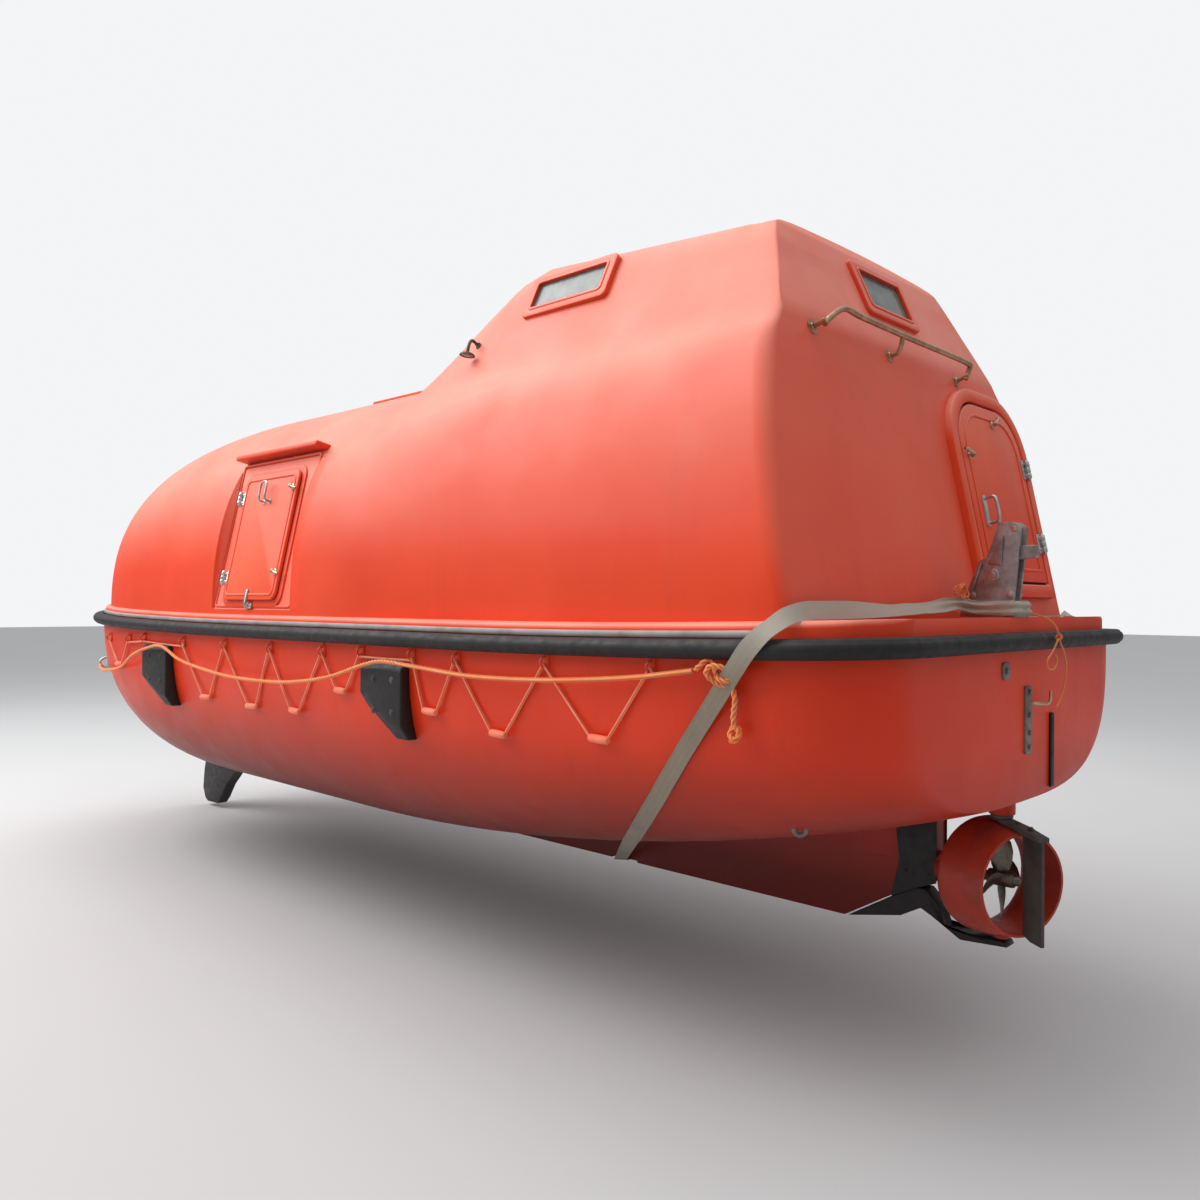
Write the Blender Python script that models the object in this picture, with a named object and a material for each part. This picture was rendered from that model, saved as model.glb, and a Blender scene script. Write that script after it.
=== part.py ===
"""Totally enclosed lifeboat, 6.5 m long, with a raised steering tower aft.

Metres, +X to the bow, +Y to port, +Z up. The origin is on the centreline amidships,
at the waterline. The hull carries a canopy moulding, a turning nozzle round the propeller,
hatches, hooks at both ends, a rubber fender, lifelines, a belly strap and a painter.
"""

import math

import bmesh
import bpy
import numpy as np
from mathutils import Matrix, Vector

TOUCH_GAP = 0.0003
RUNNING_GAP = 0.006

# Hull: plan, profile and sections.
TRANSOM_X = -3.16
BOW_X = 3.26
HALF_BEAM = 1.165
BOW_ROUND_X = 1.55
BOW_EXPONENT = 2.15
QUARTER_RADIUS = 0.30
GUNWALE_Z = 0.43
BOW_SHEER = 0.07
STERN_SHEER = 0.03
BILGE_Z = -0.53
TRANSOM_BILGE_Z = -0.09
KEEL_Z = -0.62
KEEL_SEAT_Z = -0.611
KEEL_HALF = 0.04
SKEG_AFT_X = -2.86
STEM_HALF = 0.03

# Canopy moulding and its tower.
PLATE_RISE = 0.085
CANOPY_INSET = 0.035
CANOPY_TIP_X = 3.19
CROWN_RISE = 1.24
CROWN_ROUND_X = 0.8
CANOPY_EXPONENT = 2.6
WALL = 0.045
INNER_END_X = 2.78
SLOPE_FOOT_X = -0.56
SLOPE_TOP_X = -1.42
# The tower's forward slope, as (x, share of the tower's section).
SLOPE = ((SLOPE_TOP_X, 1.0), (-1.22, 0.88), (-1.0, 0.62), (-0.78, 0.33), (SLOPE_FOOT_X, 0.0))
ROOF_PITCH = 0.07
AFT_FACE_FOOT = (-2.911, 0.56)
AFT_FACE_CREASE = (-2.705, 1.54)
AFT_FACE_TOP = (-2.535, 1.925)
# The tower's half section, as (y, z) from the deck to the middle of the roof.
TOWER_SECTION = (
    (1.085, 0.47), (1.08, 0.70), (1.055, 0.92), (1.015, 1.14), (0.96, 1.33), (0.905, 1.45),
    (0.83, 1.54), (0.72, 1.735), (0.635, 1.885), (0.57, 1.925), (0.30, 1.94), (0.0, 1.945),
)
CREASE_INDEX = 6

# Side hatches: a flat panel let into the canopy's side, leaning inwards.
HATCH_X = 0.22
HATCH_Y = 1.035
HATCH_Z = 0.94
HATCH_LEAN = math.radians(12.3)
HATCH_PANEL = (0.80, 0.82)
HATCH_LID = (0.54, 0.66)
HATCH_LID_SHIFT = -0.035
HATCH_LID_THICK = 0.028
HINGE_RADIUS = 0.011

# Aft door on the starboard side of the tower's aft face.
DOOR_INNER = 0.29
DOOR_OUTER = 0.90
DOOR_LOW = 0.12
DOOR_HIGH = 0.86
DOOR_ROUND = 0.20
DOOR_THICK = 0.028

# Steering nozzle, turned as it stands, with its exit to port.
NOZZLE_X = -3.085
NOZZLE_Z = -0.37
NOZZLE_TURN = math.radians(25.6)
NOZZLE_HALF = 0.10
NOZZLE_FRONT_RADIUS = 0.205
NOZZLE_EXIT_RADIUS = 0.178
NOZZLE_BORE = 0.162
PROPELLER_RADIUS = 0.145
STOCK_TOP_Z = -0.145

STRIP_SIZE = (0.012, 0.022)

AFT_HOOK_X = -3.035
EYE_PLACE = (2.45, 0.17)
FORE_HOOK_X = 2.95
FORE_DECK_X = 3.0
ROOF_HATCH_X = 0.21
ROOF_HATCH_Z = 1.708
ROOF_HATCH_SIZE = 0.54
AISLE_Z = -0.30
FOOT_AFT_X = 2.42
ENGINE_BED_Z = -0.14
STRAP_KEEL_X = -1.33
# Where the strap stands on the side, by share of the section from the rail down to the keel.
STRAP_SHARES = (0.0, 0.035, 0.1, 0.205, 0.359, 0.468, 0.588, 0.667, 0.7335, 1.0)
STRAP_STATIONS = (-2.76, -2.70, -2.631, -2.533, -2.376, -2.252, -2.103, -1.995, -1.89)
LAMP_FOOT = (-1.07, 0.722)

RED = (0.83, 0.13, 0.04, 1.0)
STEEL = (0.60, 0.60, 0.60, 1.0)
BLACK = (0.02, 0.02, 0.02, 1.0)
ORANGE = (0.95, 0.27, 0.04, 1.0)


def clear_scene():
    for obj in list(bpy.data.objects):
        bpy.data.objects.remove(obj, do_unlink=True)


def material(name, colour, roughness, metallic=0.0):
    mat = bpy.data.materials.new(name)
    mat.use_nodes = True
    shader = mat.node_tree.nodes["Principled BSDF"]
    shader.inputs["Base Color"].default_value = colour
    shader.inputs["Roughness"].default_value = roughness
    shader.inputs["Metallic"].default_value = metallic
    mat.diffuse_color = colour
    return mat


def add_object(name, bm, mat, matrix=None, parent=None, smooth=True):
    """An object from a bmesh, with its faces turned outwards."""
    bmesh.ops.connect_verts_nonplanar(bm, angle_limit=math.radians(0.05), faces=bm.faces)
    bm.normal_update()
    bmesh.ops.recalc_face_normals(bm, faces=bm.faces)
    mesh = bpy.data.meshes.new(name)
    bm.to_mesh(mesh)
    bm.free()
    if mat is not None:
        mesh.materials.append(mat)
    obj = bpy.data.objects.new(name, mesh)
    bpy.context.scene.collection.objects.link(obj)
    if matrix is not None:
        obj.matrix_world = matrix
    if parent is not None:
        obj.parent = parent
    if smooth:
        mesh.shade_smooth()
        mesh.set_sharp_from_angle(angle=math.radians(35))
    return obj


def boolean(obj, other, operation):
    """Joins or cuts with a helper object that neither shows nor is a piece."""
    other.hide_render = True
    other.display_type = "WIRE"
    modifier = obj.modifiers.new(operation.title() + " " + other.name, "BOOLEAN")
    modifier.operation = operation
    modifier.object = other
    modifier.solver = "EXACT"


def join(obj, other):
    boolean(obj, other, "UNION")


def cut(obj, other):
    boolean(obj, other, "DIFFERENCE")


def loft(rings):
    """A closed solid through rings of equal length, with both ends capped."""
    bm = bmesh.new()
    made = [[bm.verts.new(point) for point in ring] for ring in rings]
    for first, second in zip(made, made[1:]):
        for i in range(len(first)):
            j = (i + 1) % len(first)
            bm.faces.new((first[i], first[j], second[j], second[i]))
    bm.faces.new(made[0])
    bm.faces.new(made[-1])
    return bm


def closed_loft(rings):
    """A ring-shaped solid: the last ring joins the first."""
    bm = bmesh.new()
    made = [[bm.verts.new(point) for point in ring] for ring in rings]
    for first, second in zip(made, made[1:] + made[:1]):
        for i in range(len(first)):
            j = (i + 1) % len(first)
            bm.faces.new((first[i], first[j], second[j], second[i]))
    return bm


def prism(outline, low, high):
    """A solid from a flat outline in local X and Y, from low to high along local Z."""
    bm = bmesh.new()
    rings = [[bm.verts.new((x, y, z)) for x, y in outline] for z in (low, high)]
    count = len(outline)
    for i in range(count):
        j = (i + 1) % count
        bm.faces.new((rings[0][i], rings[0][j], rings[1][j], rings[1][i]))
    bm.faces.new(rings[0])
    bm.faces.new(rings[1])
    return bm


def box(low, high):
    return prism(((low[0], low[1]), (high[0], low[1]), (high[0], high[1]), (low[0], high[1])),
                 low[2], high[2])


def rod(start, end, radius, sides=16):
    """A straight round bar between two points."""
    start = Vector(start)
    end = Vector(end)
    bm = bmesh.new()
    bmesh.ops.create_cone(bm, cap_ends=True, segments=sides, radius1=radius, radius2=radius,
                          depth=(end - start).length)
    turn = (end - start).to_track_quat("Z", "Y").to_matrix().to_4x4()
    bm.transform(Matrix.Translation((start + end) / 2) @ turn)
    return bm


def rounded_outline(width, height, radius, steps=4, centre=(0.0, 0.0)):
    """Corner by corner round a rectangle, counter-clockwise from the lower right."""
    points = []
    corners = ((1, -1, -90), (1, 1, 0), (-1, 1, 90), (-1, -1, 180))
    for side_x, side_y, first in corners:
        for step in range(steps + 1):
            angle = math.radians(first + 90 * step / steps)
            points.append((
                centre[0] + side_x * (width / 2 - radius) + radius * math.cos(angle),
                centre[1] + side_y * (height / 2 - radius) + radius * math.sin(angle),
            ))
    return points


def spun(profile, steps=40):
    """A ring turned about local X from a closed profile of (x, radius) points."""
    rings = []
    for step in range(steps):
        angle = 2 * math.pi * step / steps
        rings.append([(x, r * math.cos(angle), r * math.sin(angle)) for x, r in profile])
    return closed_loft(rings)


def smooth_path(points, count):
    """Evenly spaced points on a smooth curve through the given ones."""
    given = np.array(points, float)
    padded = np.vstack([2 * given[0] - given[1], given, 2 * given[-1] - given[-2]])
    fine = []
    for i in range(1, len(padded) - 2):
        before, start, end, after = padded[i - 1:i + 3]
        for t in np.linspace(0, 1, 24, endpoint=False):
            fine.append(0.5 * (2 * start + (end - before) * t
                               + (2 * before - 5 * start + 4 * end - after) * t ** 2
                               + (3 * start - before - 3 * end + after) * t ** 3))
    fine = np.array(fine + [padded[-2]])
    travelled = np.concatenate([[0], np.cumsum(np.linalg.norm(np.diff(fine, axis=0), axis=1))])
    wanted = np.linspace(0, travelled[-1], count)
    return np.stack([np.interp(wanted, travelled, fine[:, axis]) for axis in range(3)], axis=1)


def rope(name, points, radius, mat, resolution=2):
    """A cord as a bevelled curve with closed ends."""
    curve = bpy.data.curves.new(name, "CURVE")
    curve.dimensions = "3D"
    curve.bevel_depth = radius
    curve.bevel_resolution = resolution
    curve.use_fill_caps = True
    spline = curve.splines.new("POLY")
    spline.points.add(len(points) - 1)
    for place, point in zip(spline.points, points):
        place.co = (*point, 1.0)
    curve.materials.append(mat)
    obj = bpy.data.objects.new(name, curve)
    bpy.context.scene.collection.objects.link(obj)
    return obj


def super_arc(exponent, share):
    """Sideways and rising shares of a quarter superellipse, at a share from 0 to 1."""
    angle = share * math.pi / 2
    side = max(math.cos(angle), 0.0) ** (2 / exponent)
    rise = math.sin(angle) ** (2 / exponent)
    return side, rise


def gunwale_z(x):
    bow = max(0.0, (x - 0.3) / 2.9)
    stern = max(0.0, (-x - 1.5) / 1.7)
    return GUNWALE_Z + BOW_SHEER * bow ** 2 + STERN_SHEER * stern ** 2


def half_beam(x):
    """The hull's half width at the gunwale."""
    width = HALF_BEAM - 0.05 * max(0.0, (-x - 1.0) / 2.1) ** 2
    corner = TRANSOM_X + QUARTER_RADIUS - x
    if corner > 0:
        width -= QUARTER_RADIUS - math.sqrt(max(QUARTER_RADIUS ** 2 - corner ** 2, 0.0))
    if x > BOW_ROUND_X:
        share = min((x - BOW_ROUND_X) / (BOW_X - BOW_ROUND_X), 1.0)
        width *= (1 - share ** BOW_EXPONENT) ** (1 / BOW_EXPONENT)
    return max(width, STEM_HALF)


def bilge_z(x):
    """The bottom of the round hull, without its keel."""
    if x < -0.2:
        return BILGE_Z + (TRANSOM_BILGE_Z - BILGE_Z) * ((-0.2 - x) / 2.96) ** 2
    if x > 0.9:
        return BILGE_Z + 0.86 * ((x - 0.9) / (BOW_X - 0.9)) ** 4.2
    return BILGE_Z


def hull_exponent(x):
    return float(np.interp(x, (TRANSOM_X, -1.5, 1.5, BOW_X), (3.3, 2.8, 2.7, 2.1)))


def hull_side(x, z):
    """Half width of the hull at a height below the gunwale."""
    top = gunwale_z(x)
    share = min(max((top - z) / (top - bilge_z(x)), 0.0), 1.0)
    n = hull_exponent(x)
    return half_beam(x) * (1 - share ** n) ** (1 / n)


def quarter_stations():
    """Stations round the hull's after corners."""
    return [TRANSOM_X + QUARTER_RADIUS * (1 - math.cos(math.radians(a))) for a in (0, 24, 45, 66, 90)]


def bow_stations(start, tip, angles):
    return [start + (tip - start) * math.sin(math.radians(a)) for a in angles]


HULL_STATIONS = (quarter_stations() + [-2.45, -2.0, -1.5, -1.0, -0.5, 0.0, 0.5, 1.0]
                 + bow_stations(BOW_ROUND_X, BOW_X, (0, 12, 24, 36, 47, 57, 66, 74, 81, 86, 90)))


def hull_ring(x, steps=11):
    top = gunwale_z(x)
    bottom = bilge_z(x)
    width = half_beam(x)
    half = []
    for k in range(steps + 1):
        side, fall = super_arc(hull_exponent(x), k / steps)
        half.append((x, width * side, top - (top - bottom) * fall))
    other = [(px, -py, pz) for px, py, pz in half[:-1]]
    return half + other[::-1]


def crown_z(x):
    share = max(0.0, (x - CROWN_ROUND_X) / (CANOPY_TIP_X - CROWN_ROUND_X))
    return gunwale_z(min(x, 1.0)) + 0.03 + CROWN_RISE * (1 - min(share, 1.0) ** 2.3) ** (1 / 2.3)


def canopy_width(x):
    width = HALF_BEAM - CANOPY_INSET
    if x > BOW_ROUND_X:
        share = min((x - BOW_ROUND_X) / (CANOPY_TIP_X - BOW_ROUND_X), 1.0)
        width *= (1 - share ** BOW_EXPONENT) ** (1 / BOW_EXPONENT)
    return max(width, STEM_HALF)


def canopy_half(x, inset=0.0):
    """Half section of the arched canopy, from its foot to the crown."""
    foot = gunwale_z(x) + 0.03
    rise = max(crown_z(x) - foot, 0.06) - inset
    steps = len(TOWER_SECTION) - 1
    half = []
    for k in range(steps + 1):
        side, up = super_arc(CANOPY_EXPONENT, k / steps)
        half.append(((canopy_width(x) - inset) * side, foot + rise * up))
    return half


def inset_half(half, inset):
    """A half section moved inwards by a wall's thickness."""
    moved = []
    for i, (y, z) in enumerate(half):
        before = half[max(i - 1, 0)]
        after = half[min(i + 1, len(half) - 1)]
        along = Vector((after[0] - before[0], after[1] - before[1])).normalized()
        moved.append((max(y - inset * along[1], 0.0), z + inset * along[0]))
    moved[0] = (moved[0][0], half[0][1])
    moved[-1] = (0.0, half[-1][1] - inset)
    return moved


def tower_half(x, inset=0.0):
    """Half section of the tower. Its roof climbs towards the bow."""
    half = []
    for y, z in TOWER_SECTION:
        climb = ROOF_PITCH * (x - AFT_FACE_TOP[0]) * min(max((z - 1.54) / 0.34, 0.0), 1.0)
        half.append((y, z + climb))
    return inset_half(half, inset) if inset else half


def blended_half(x, share, inset=0.0):
    """Between the canopy's section and the tower's, on the tower's forward slope."""
    low = canopy_half(x, inset)
    high = tower_half(x, inset)
    return [(a[0] + (b[0] - a[0]) * share, a[1] + (b[1] - a[1]) * share)
            for a, b in zip(low, high)]


def full_ring(half, place, foot_z):
    """Both sides of a half section, closed under its foot. place gives x at a height."""
    ring = [(place(foot_z), half[0][0], foot_z)]
    ring += [(place(z), y, z) for y, z in half]
    ring += [(place(z), -y, z) for y, z in half[-2::-1]]
    ring += [(place(foot_z), -half[0][0], foot_z)]
    return ring


def aft_face_x(z):
    """The tower's aft face: two flat panels that meet at a crease."""
    low, crease, top = AFT_FACE_FOOT, AFT_FACE_CREASE, AFT_FACE_TOP
    if z < crease[1]:
        return low[0] + (z - low[1]) * (crease[0] - low[0]) / (crease[1] - low[1])
    return crease[0] + (z - crease[1]) * (top[0] - crease[0]) / (top[1] - crease[1])


def canopy_rings(inset):
    """Sections of the canopy's skin, or of its inside where inset is the wall."""
    rings = []
    # Aft corners of the tower: distance from the aft face against how far the side is drawn in.
    corner = ((0.0, 0.045), (0.018, 0.014), (0.06, 0.0)) if not inset else ((inset, 0.0),)
    for ahead, drawn in corner:
        half = [(max(y - drawn * min(1.0, (z < 1.5) + 0.25), 0.0), z)
                for y, z in tower_half(AFT_FACE_TOP[0], inset)]
        foot = gunwale_z(-2.9) + (-0.06 if inset else 0.045)
        rings.append(full_ring(half, lambda z, d=ahead: aft_face_x(z) + d, foot))
    for x in (-2.30, -1.85, SLOPE_TOP_X):
        foot = gunwale_z(x) + (-0.06 if inset else 0.045)
        rings.append(full_ring(tower_half(x, inset), lambda z, d=x: d, foot))
    for x, share in SLOPE[1:]:
        foot = gunwale_z(x) + (-0.06 if inset else 0.045)
        rings.append(full_ring(blended_half(x, share, inset), lambda z, d=x: d, foot))
    ahead = [-0.1, 0.35, CROWN_ROUND_X, 1.2]
    if inset:
        ahead += [1.6, 2.0, 2.35, 2.6, INNER_END_X]
    else:
        ahead += bow_stations(BOW_ROUND_X, CANOPY_TIP_X, (0, 12, 24, 36, 47, 57, 66, 74, 81, 86, 90))
    for x in ahead:
        foot = gunwale_z(x) + (-0.06 if inset else 0.028)
        rings.append(full_ring(canopy_half(x, inset), lambda z, d=x: d, foot))
    return rings


def plate_outline():
    """The port edge of the moulding's flat rim, as (x, y)."""
    outline = []
    for x in HULL_STATIONS:
        moved = x + (0.012 if x < -3.1 else 0.0) - (0.02 if x > 3.1 else 0.0)
        outline.append((moved, max(half_beam(x) - 0.012, STEM_HALF - 0.006)))
    return outline


def plate_rings():
    """The moulding's flat rim, which makes the aft deck and the foredeck."""
    rings = []
    for x, width in plate_outline():
        low = gunwale_z(x) + TOUCH_GAP
        high = gunwale_z(x) + PLATE_RISE
        rounding = min(0.03, width / 2)
        half = [(x, width, low), (x, width, high - 0.03), (x, width - rounding / 3, high - 0.01),
                (x, width - rounding, high)]
        rings.append(half + [(px, -py, pz) for px, py, pz in half[::-1]])
    return rings


def side_frame(side):
    """A local frame on a side hatch's panel: X aft to port and ahead to starboard, Z outwards."""
    up = Vector((0.0, -side * math.sin(HATCH_LEAN), math.cos(HATCH_LEAN)))
    out = Vector((0.0, side * math.cos(HATCH_LEAN), math.sin(HATCH_LEAN)))
    matrix = Matrix((up.cross(out), up, out)).transposed().to_4x4()
    matrix.translation = (HATCH_X, side * HATCH_Y, HATCH_Z)
    return matrix


def aft_frame():
    """A local frame on the aft face's lower panel: X to starboard, Y up the panel, Z outwards."""
    low, crease = AFT_FACE_FOOT, AFT_FACE_CREASE
    up = Vector((crease[0] - low[0], 0.0, crease[1] - low[1])).normalized()
    starboard = Vector((0.0, -1.0, 0.0))
    matrix = Matrix((starboard, up, starboard.cross(up))).transposed().to_4x4()
    matrix.translation = (low[0], 0.0, low[1])
    return matrix


def plane_frame(centre, across, up):
    """A local frame at a window: X across, Y up, Z outwards."""
    across = Vector(across).normalized()
    up = Vector(up)
    up = (up - across * up.dot(across)).normalized()
    matrix = Matrix((across, up, across.cross(up))).transposed().to_4x4()
    matrix.translation = centre
    return matrix


def window_places():
    """Name, frame and clear size of each window."""
    side_up = (0.0, -0.20, 0.43)
    return (
        ("window_aft", plane_frame((-2.607, -0.02, 1.768), (0, -1, 0), (0.17, 0, 0.385)), (0.33, 0.175)),
        ("window_port", plane_frame((-1.60, 0.683, 1.86), (-1, 0, 0), side_up), (0.41, 0.14)),
        ("window_starboard", plane_frame((-1.60, -0.683, 1.86), (1, 0, 0), (0.0, 0.20, 0.43)), (0.41, 0.14)),
        ("window_front", plane_frame((-1.05, 0.0, 1.885), (0, 1, 0), (-0.86, 0, 0.33)), (0.62, 0.20)),
    )


def door_outline(grow):
    """The aft door's outline in the aft face's frame, its upper corners well rounded."""
    width = DOOR_OUTER - DOOR_INNER + 2 * grow
    middle = (DOOR_INNER + DOOR_OUTER) / 2
    high = DOOR_HIGH + grow
    low = DOOR_LOW - grow
    points = [(middle - width / 2, low), (middle + width / 2, low)]
    radius = DOOR_ROUND + grow
    for side, first in ((1, 0), (-1, 90)):
        for step in range(7):
            angle = math.radians(first + 15 * step)
            points.append((middle + side * (width / 2 - radius) + radius * math.cos(angle),
                           high - radius + radius * math.sin(angle)))
    return points


def make_hull(mat):
    hull = add_object("hull", loft([hull_ring(x) for x in HULL_STATIONS]), mat)
    upright = Matrix.Rotation(math.pi / 2, 4, "X")
    # The keel's bottom is let in for the foot under the bow and for the belly strap.
    foot_x = FOOT_AFT_X - TOUCH_GAP
    strap = (STRAP_KEEL_X - 0.08, STRAP_KEEL_X + 0.08)
    keel_outline = ((3.19, 0.24), (3.12, -0.15), (3.08, -0.45), (3.06, KEEL_SEAT_Z), (foot_x, KEEL_SEAT_Z),
                    (foot_x, KEEL_Z), (strap[1], KEEL_Z), (strap[1], KEEL_SEAT_Z), (strap[0], KEEL_SEAT_Z),
                    (strap[0], KEEL_Z), (-2.49, KEEL_Z), (-2.77, -0.455), (SKEG_AFT_X, -0.42),
                    (SKEG_AFT_X, -0.12), (-1.5, -0.30), (2.4, -0.30))
    keel = add_object("keel_form", prism(keel_outline, -KEEL_HALF, KEEL_HALF), None, upright)
    join(hull, keel)
    tube = add_object("stern_tube_form", rod((-2.55, 0, NOZZLE_Z), (-2.90, 0, NOZZLE_Z), 0.048), None)
    join(hull, tube)
    boss = add_object("stock_boss_form", rod((NOZZLE_X, 0, 0.0), (NOZZLE_X, 0, STOCK_TOP_Z), 0.045), None)
    join(hull, boss)
    # The inside: a wide space above the benches and an aisle between them.
    rings = []
    for x in (-2.62, -2.3, -1.5, -0.5, 0.5, 1.5, 2.0, 2.4, 2.62):
        width = half_beam(x) - 0.17
        high = gunwale_z(x) + 0.05
        rings.append([(x, width, high), (x, width - 0.02, 0.16), (x, width - 0.08, 0.08),
                      (x, -width + 0.08, 0.08), (x, -width + 0.02, 0.16), (x, -width, high)])
    cut(hull, add_object("well_form", loft(rings), None))
    floor = ((2.0, 0.2), (2.0, AISLE_Z), (-1.40, AISLE_Z), (-1.50, ENGINE_BED_Z),
             (-2.42, ENGINE_BED_Z), (-2.42, 0.2))
    cut(hull, add_object("aisle_form", prism(floor, -0.34, 0.34), None, upright))
    return hull


def fore_deck_z():
    """Height of the small flat deck that the forward hook stands on."""
    return gunwale_z(FORE_DECK_X) + PLATE_RISE - 0.002


def make_canopy(mat):
    canopy = add_object("canopy", loft(canopy_rings(0.0)), mat)
    join(canopy, add_object("deck_form", loft(plate_rings()), None))
    for name, frame, (width, height) in window_places():
        rim = prism(rounded_outline(width + 0.07, height + 0.07, 0.025, 3), -0.06, 0.014)
        join(canopy, add_object(name + "_rim_form", rim, None, frame))
    aft = aft_frame()
    join(canopy, add_object("door_rim_form", prism(door_outline(0.065), -0.03, 0.03), None, aft))
    inner = add_object("inner_form", loft(canopy_rings(WALL)), None)
    for side in (1, -1):
        frame = side_frame(side)
        wide, high = HATCH_PANEL
        hood = prism(((-wide / 2 - 0.01, high / 2 - 0.02), (wide / 2 + 0.01, high / 2 - 0.02),
                      (wide / 2 + 0.01, high / 2 + 0.012), (-wide / 2 - 0.01, high / 2 + 0.012)),
                     -0.05, 0.055)
        slab = box((-wide / 2 - 0.05, -high / 2 - 0.02, -0.05), (wide / 2 + 0.05, high / 2 + 0.04, 0.05))
        cut(inner, add_object(f"coaming_form_{side + 1}", slab, None, frame))
        recess = box((-wide / 2, -high / 2, 0.0), (wide / 2, high / 2 - 0.02, 0.3))
        cut(canopy, add_object(f"recess_form_{side + 1}", recess, None, frame))
        join(canopy, add_object(f"hood_form_{side + 1}", hood, None, frame))
        lid_wide, lid_high = HATCH_LID
        opening = rounded_outline(lid_wide - 0.08, lid_high - 0.08, 0.04, 3, (-side * 0.01, HATCH_LID_SHIFT))
        cut(canopy, add_object(f"opening_form_{side + 1}", prism(opening, -0.2, 0.2), None, frame))
    roof = rounded_outline(ROOF_HATCH_SIZE + 0.06, ROOF_HATCH_SIZE + 0.06, 0.06)
    place = Matrix.Translation((ROOF_HATCH_X, 0, 0))
    join(canopy, add_object("roof_rim_form", prism(roof, 1.62, ROOF_HATCH_Z), None, place))
    cut(canopy, inner)
    hatchway = rounded_outline(ROOF_HATCH_SIZE - 0.10, ROOF_HATCH_SIZE - 0.10, 0.04)
    cut(canopy, add_object("roof_opening_form", prism(hatchway, 1.5, 1.8), None, place))
    cut(canopy, add_object("door_seat_form", prism(door_outline(RUNNING_GAP), 0.0, 0.1), None, aft))
    cut(canopy, add_object("doorway_form", prism(door_outline(-0.035), -0.2, 0.1), None, aft))
    for name, frame, (width, height) in window_places():
        hole = prism(rounded_outline(width, height, 0.02, 3), -0.2, 0.2)
        cut(canopy, add_object(name + "_hole_form", hole, None, frame))
    notch = box((FORE_HOOK_X - 0.14, -0.20, fore_deck_z()), (3.4, 0.20, 1.6))
    cut(canopy, add_object("fore_recess_form", notch, None))
    return canopy


def make_windows():
    glass = material("window_glass", (0.05, 0.06, 0.07, 1.0), 0.08)
    for name, frame, (width, height) in window_places():
        gap = 2 * TOUCH_GAP
        pane = prism(rounded_outline(width - gap, height - gap, 0.02 - TOUCH_GAP, 3), -0.012, 0.002)
        add_object(name, pane, glass, frame, smooth=False)


def make_side_hatches(red):
    for side, label in ((1, "port"), (-1, "starboard")):
        frame = side_frame(side)
        wide, high = HATCH_LID
        ahead = -side
        middle = (ahead * 0.01, HATCH_LID_SHIFT)
        lid = prism(rounded_outline(wide, high, 0.045, 4, middle), TOUCH_GAP, HATCH_LID_THICK)
        hinge_x = ahead * (0.01 + wide / 2 + 0.012)
        axis = Matrix.Translation((hinge_x, HATCH_LID_SHIFT, HATCH_LID_THICK + HINGE_RADIUS))
        place_lid(f"{label}_hatch", lid, red, frame, axis)


def place_lid(name, lid, mat, frame, axis):
    """A lid whose origin is on its hinge."""
    lid.transform(axis.inverted())
    return add_object(name, lid, mat, frame @ axis)


def make_aft_door(red):
    axis = Matrix.Translation((DOOR_OUTER + 0.012, (DOOR_LOW + DOOR_HIGH) / 2, DOOR_THICK + HINGE_RADIUS))
    place_lid("aft_door", prism(door_outline(0.0), TOUCH_GAP, DOOR_THICK), red, aft_frame(), axis)


def make_roof_hatch(red):
    size, low, high = ROOF_HATCH_SIZE, ROOF_HATCH_Z + TOUCH_GAP, ROOF_HATCH_Z + 0.03
    lid = prism(rounded_outline(size, size, 0.05), low, high)
    frame = Matrix.Translation((ROOF_HATCH_X, 0, 0))
    axis = Matrix.Translation((size / 2 + 0.012, 0, high + HINGE_RADIUS))
    place_lid("roof_hatch", lid, red, frame, axis)


def with_normals(outline, closed):
    """Each point of a plan outline with its outward normal, for one drawn from port to starboard."""
    count = len(outline)
    found = []
    for i, point in enumerate(outline):
        before = Vector(outline[i - 1] if i or closed else point)
        after = Vector(outline[(i + 1) % count] if i < count - 1 or closed else point)
        along = (after - before).normalized()
        found.append((Vector(point), Vector((-along[1], along[0]))))
    return found


def both_sides(port):
    return port + [(x, -y) for x, y in port[::-1]]


def make_fender():
    rubber = material("fender_rubber", BLACK, 0.6)
    rings = []
    section = [(TOUCH_GAP, -0.026), (0.012, -0.031)]
    section += [(0.033 + 0.030 * math.cos(math.radians(a)), 0.031 * math.sin(math.radians(a)))
                for a in (-75, -45, -15, 15, 45, 75)]
    section += [(0.012, 0.031), (TOUCH_GAP, 0.026)]
    for centre, out in with_normals(both_sides([(x, half_beam(x)) for x in HULL_STATIONS]), True):
        z = gunwale_z(centre[0]) + 0.004
        rings.append([(centre[0] + out[0] * d, centre[1] + out[1] * d, z + up) for d, up in section])
    add_object("rubber_fender", closed_loft(rings), rubber)


def make_strip():
    """The pale strip above the fender, from one quarter round the bow to the other."""
    outline = [(x, y) for x, y in plate_outline() if x > -2.9]
    thick, tall = STRIP_SIZE
    rings = []
    for centre, out in with_normals(both_sides(outline), False):
        z = gunwale_z(centre[0]) + 0.037
        section = ((TOUCH_GAP, 0), (thick, 0.004), (thick, tall - 0.004), (TOUCH_GAP, tall))
        rings.append([(centre[0] + out[0] * d, centre[1] + out[1] * d, z + up) for d, up in section])
    add_object("gunwale_strip", loft(rings), material("strip_grey", (0.75, 0.74, 0.72, 1.0), 0.5))


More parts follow.
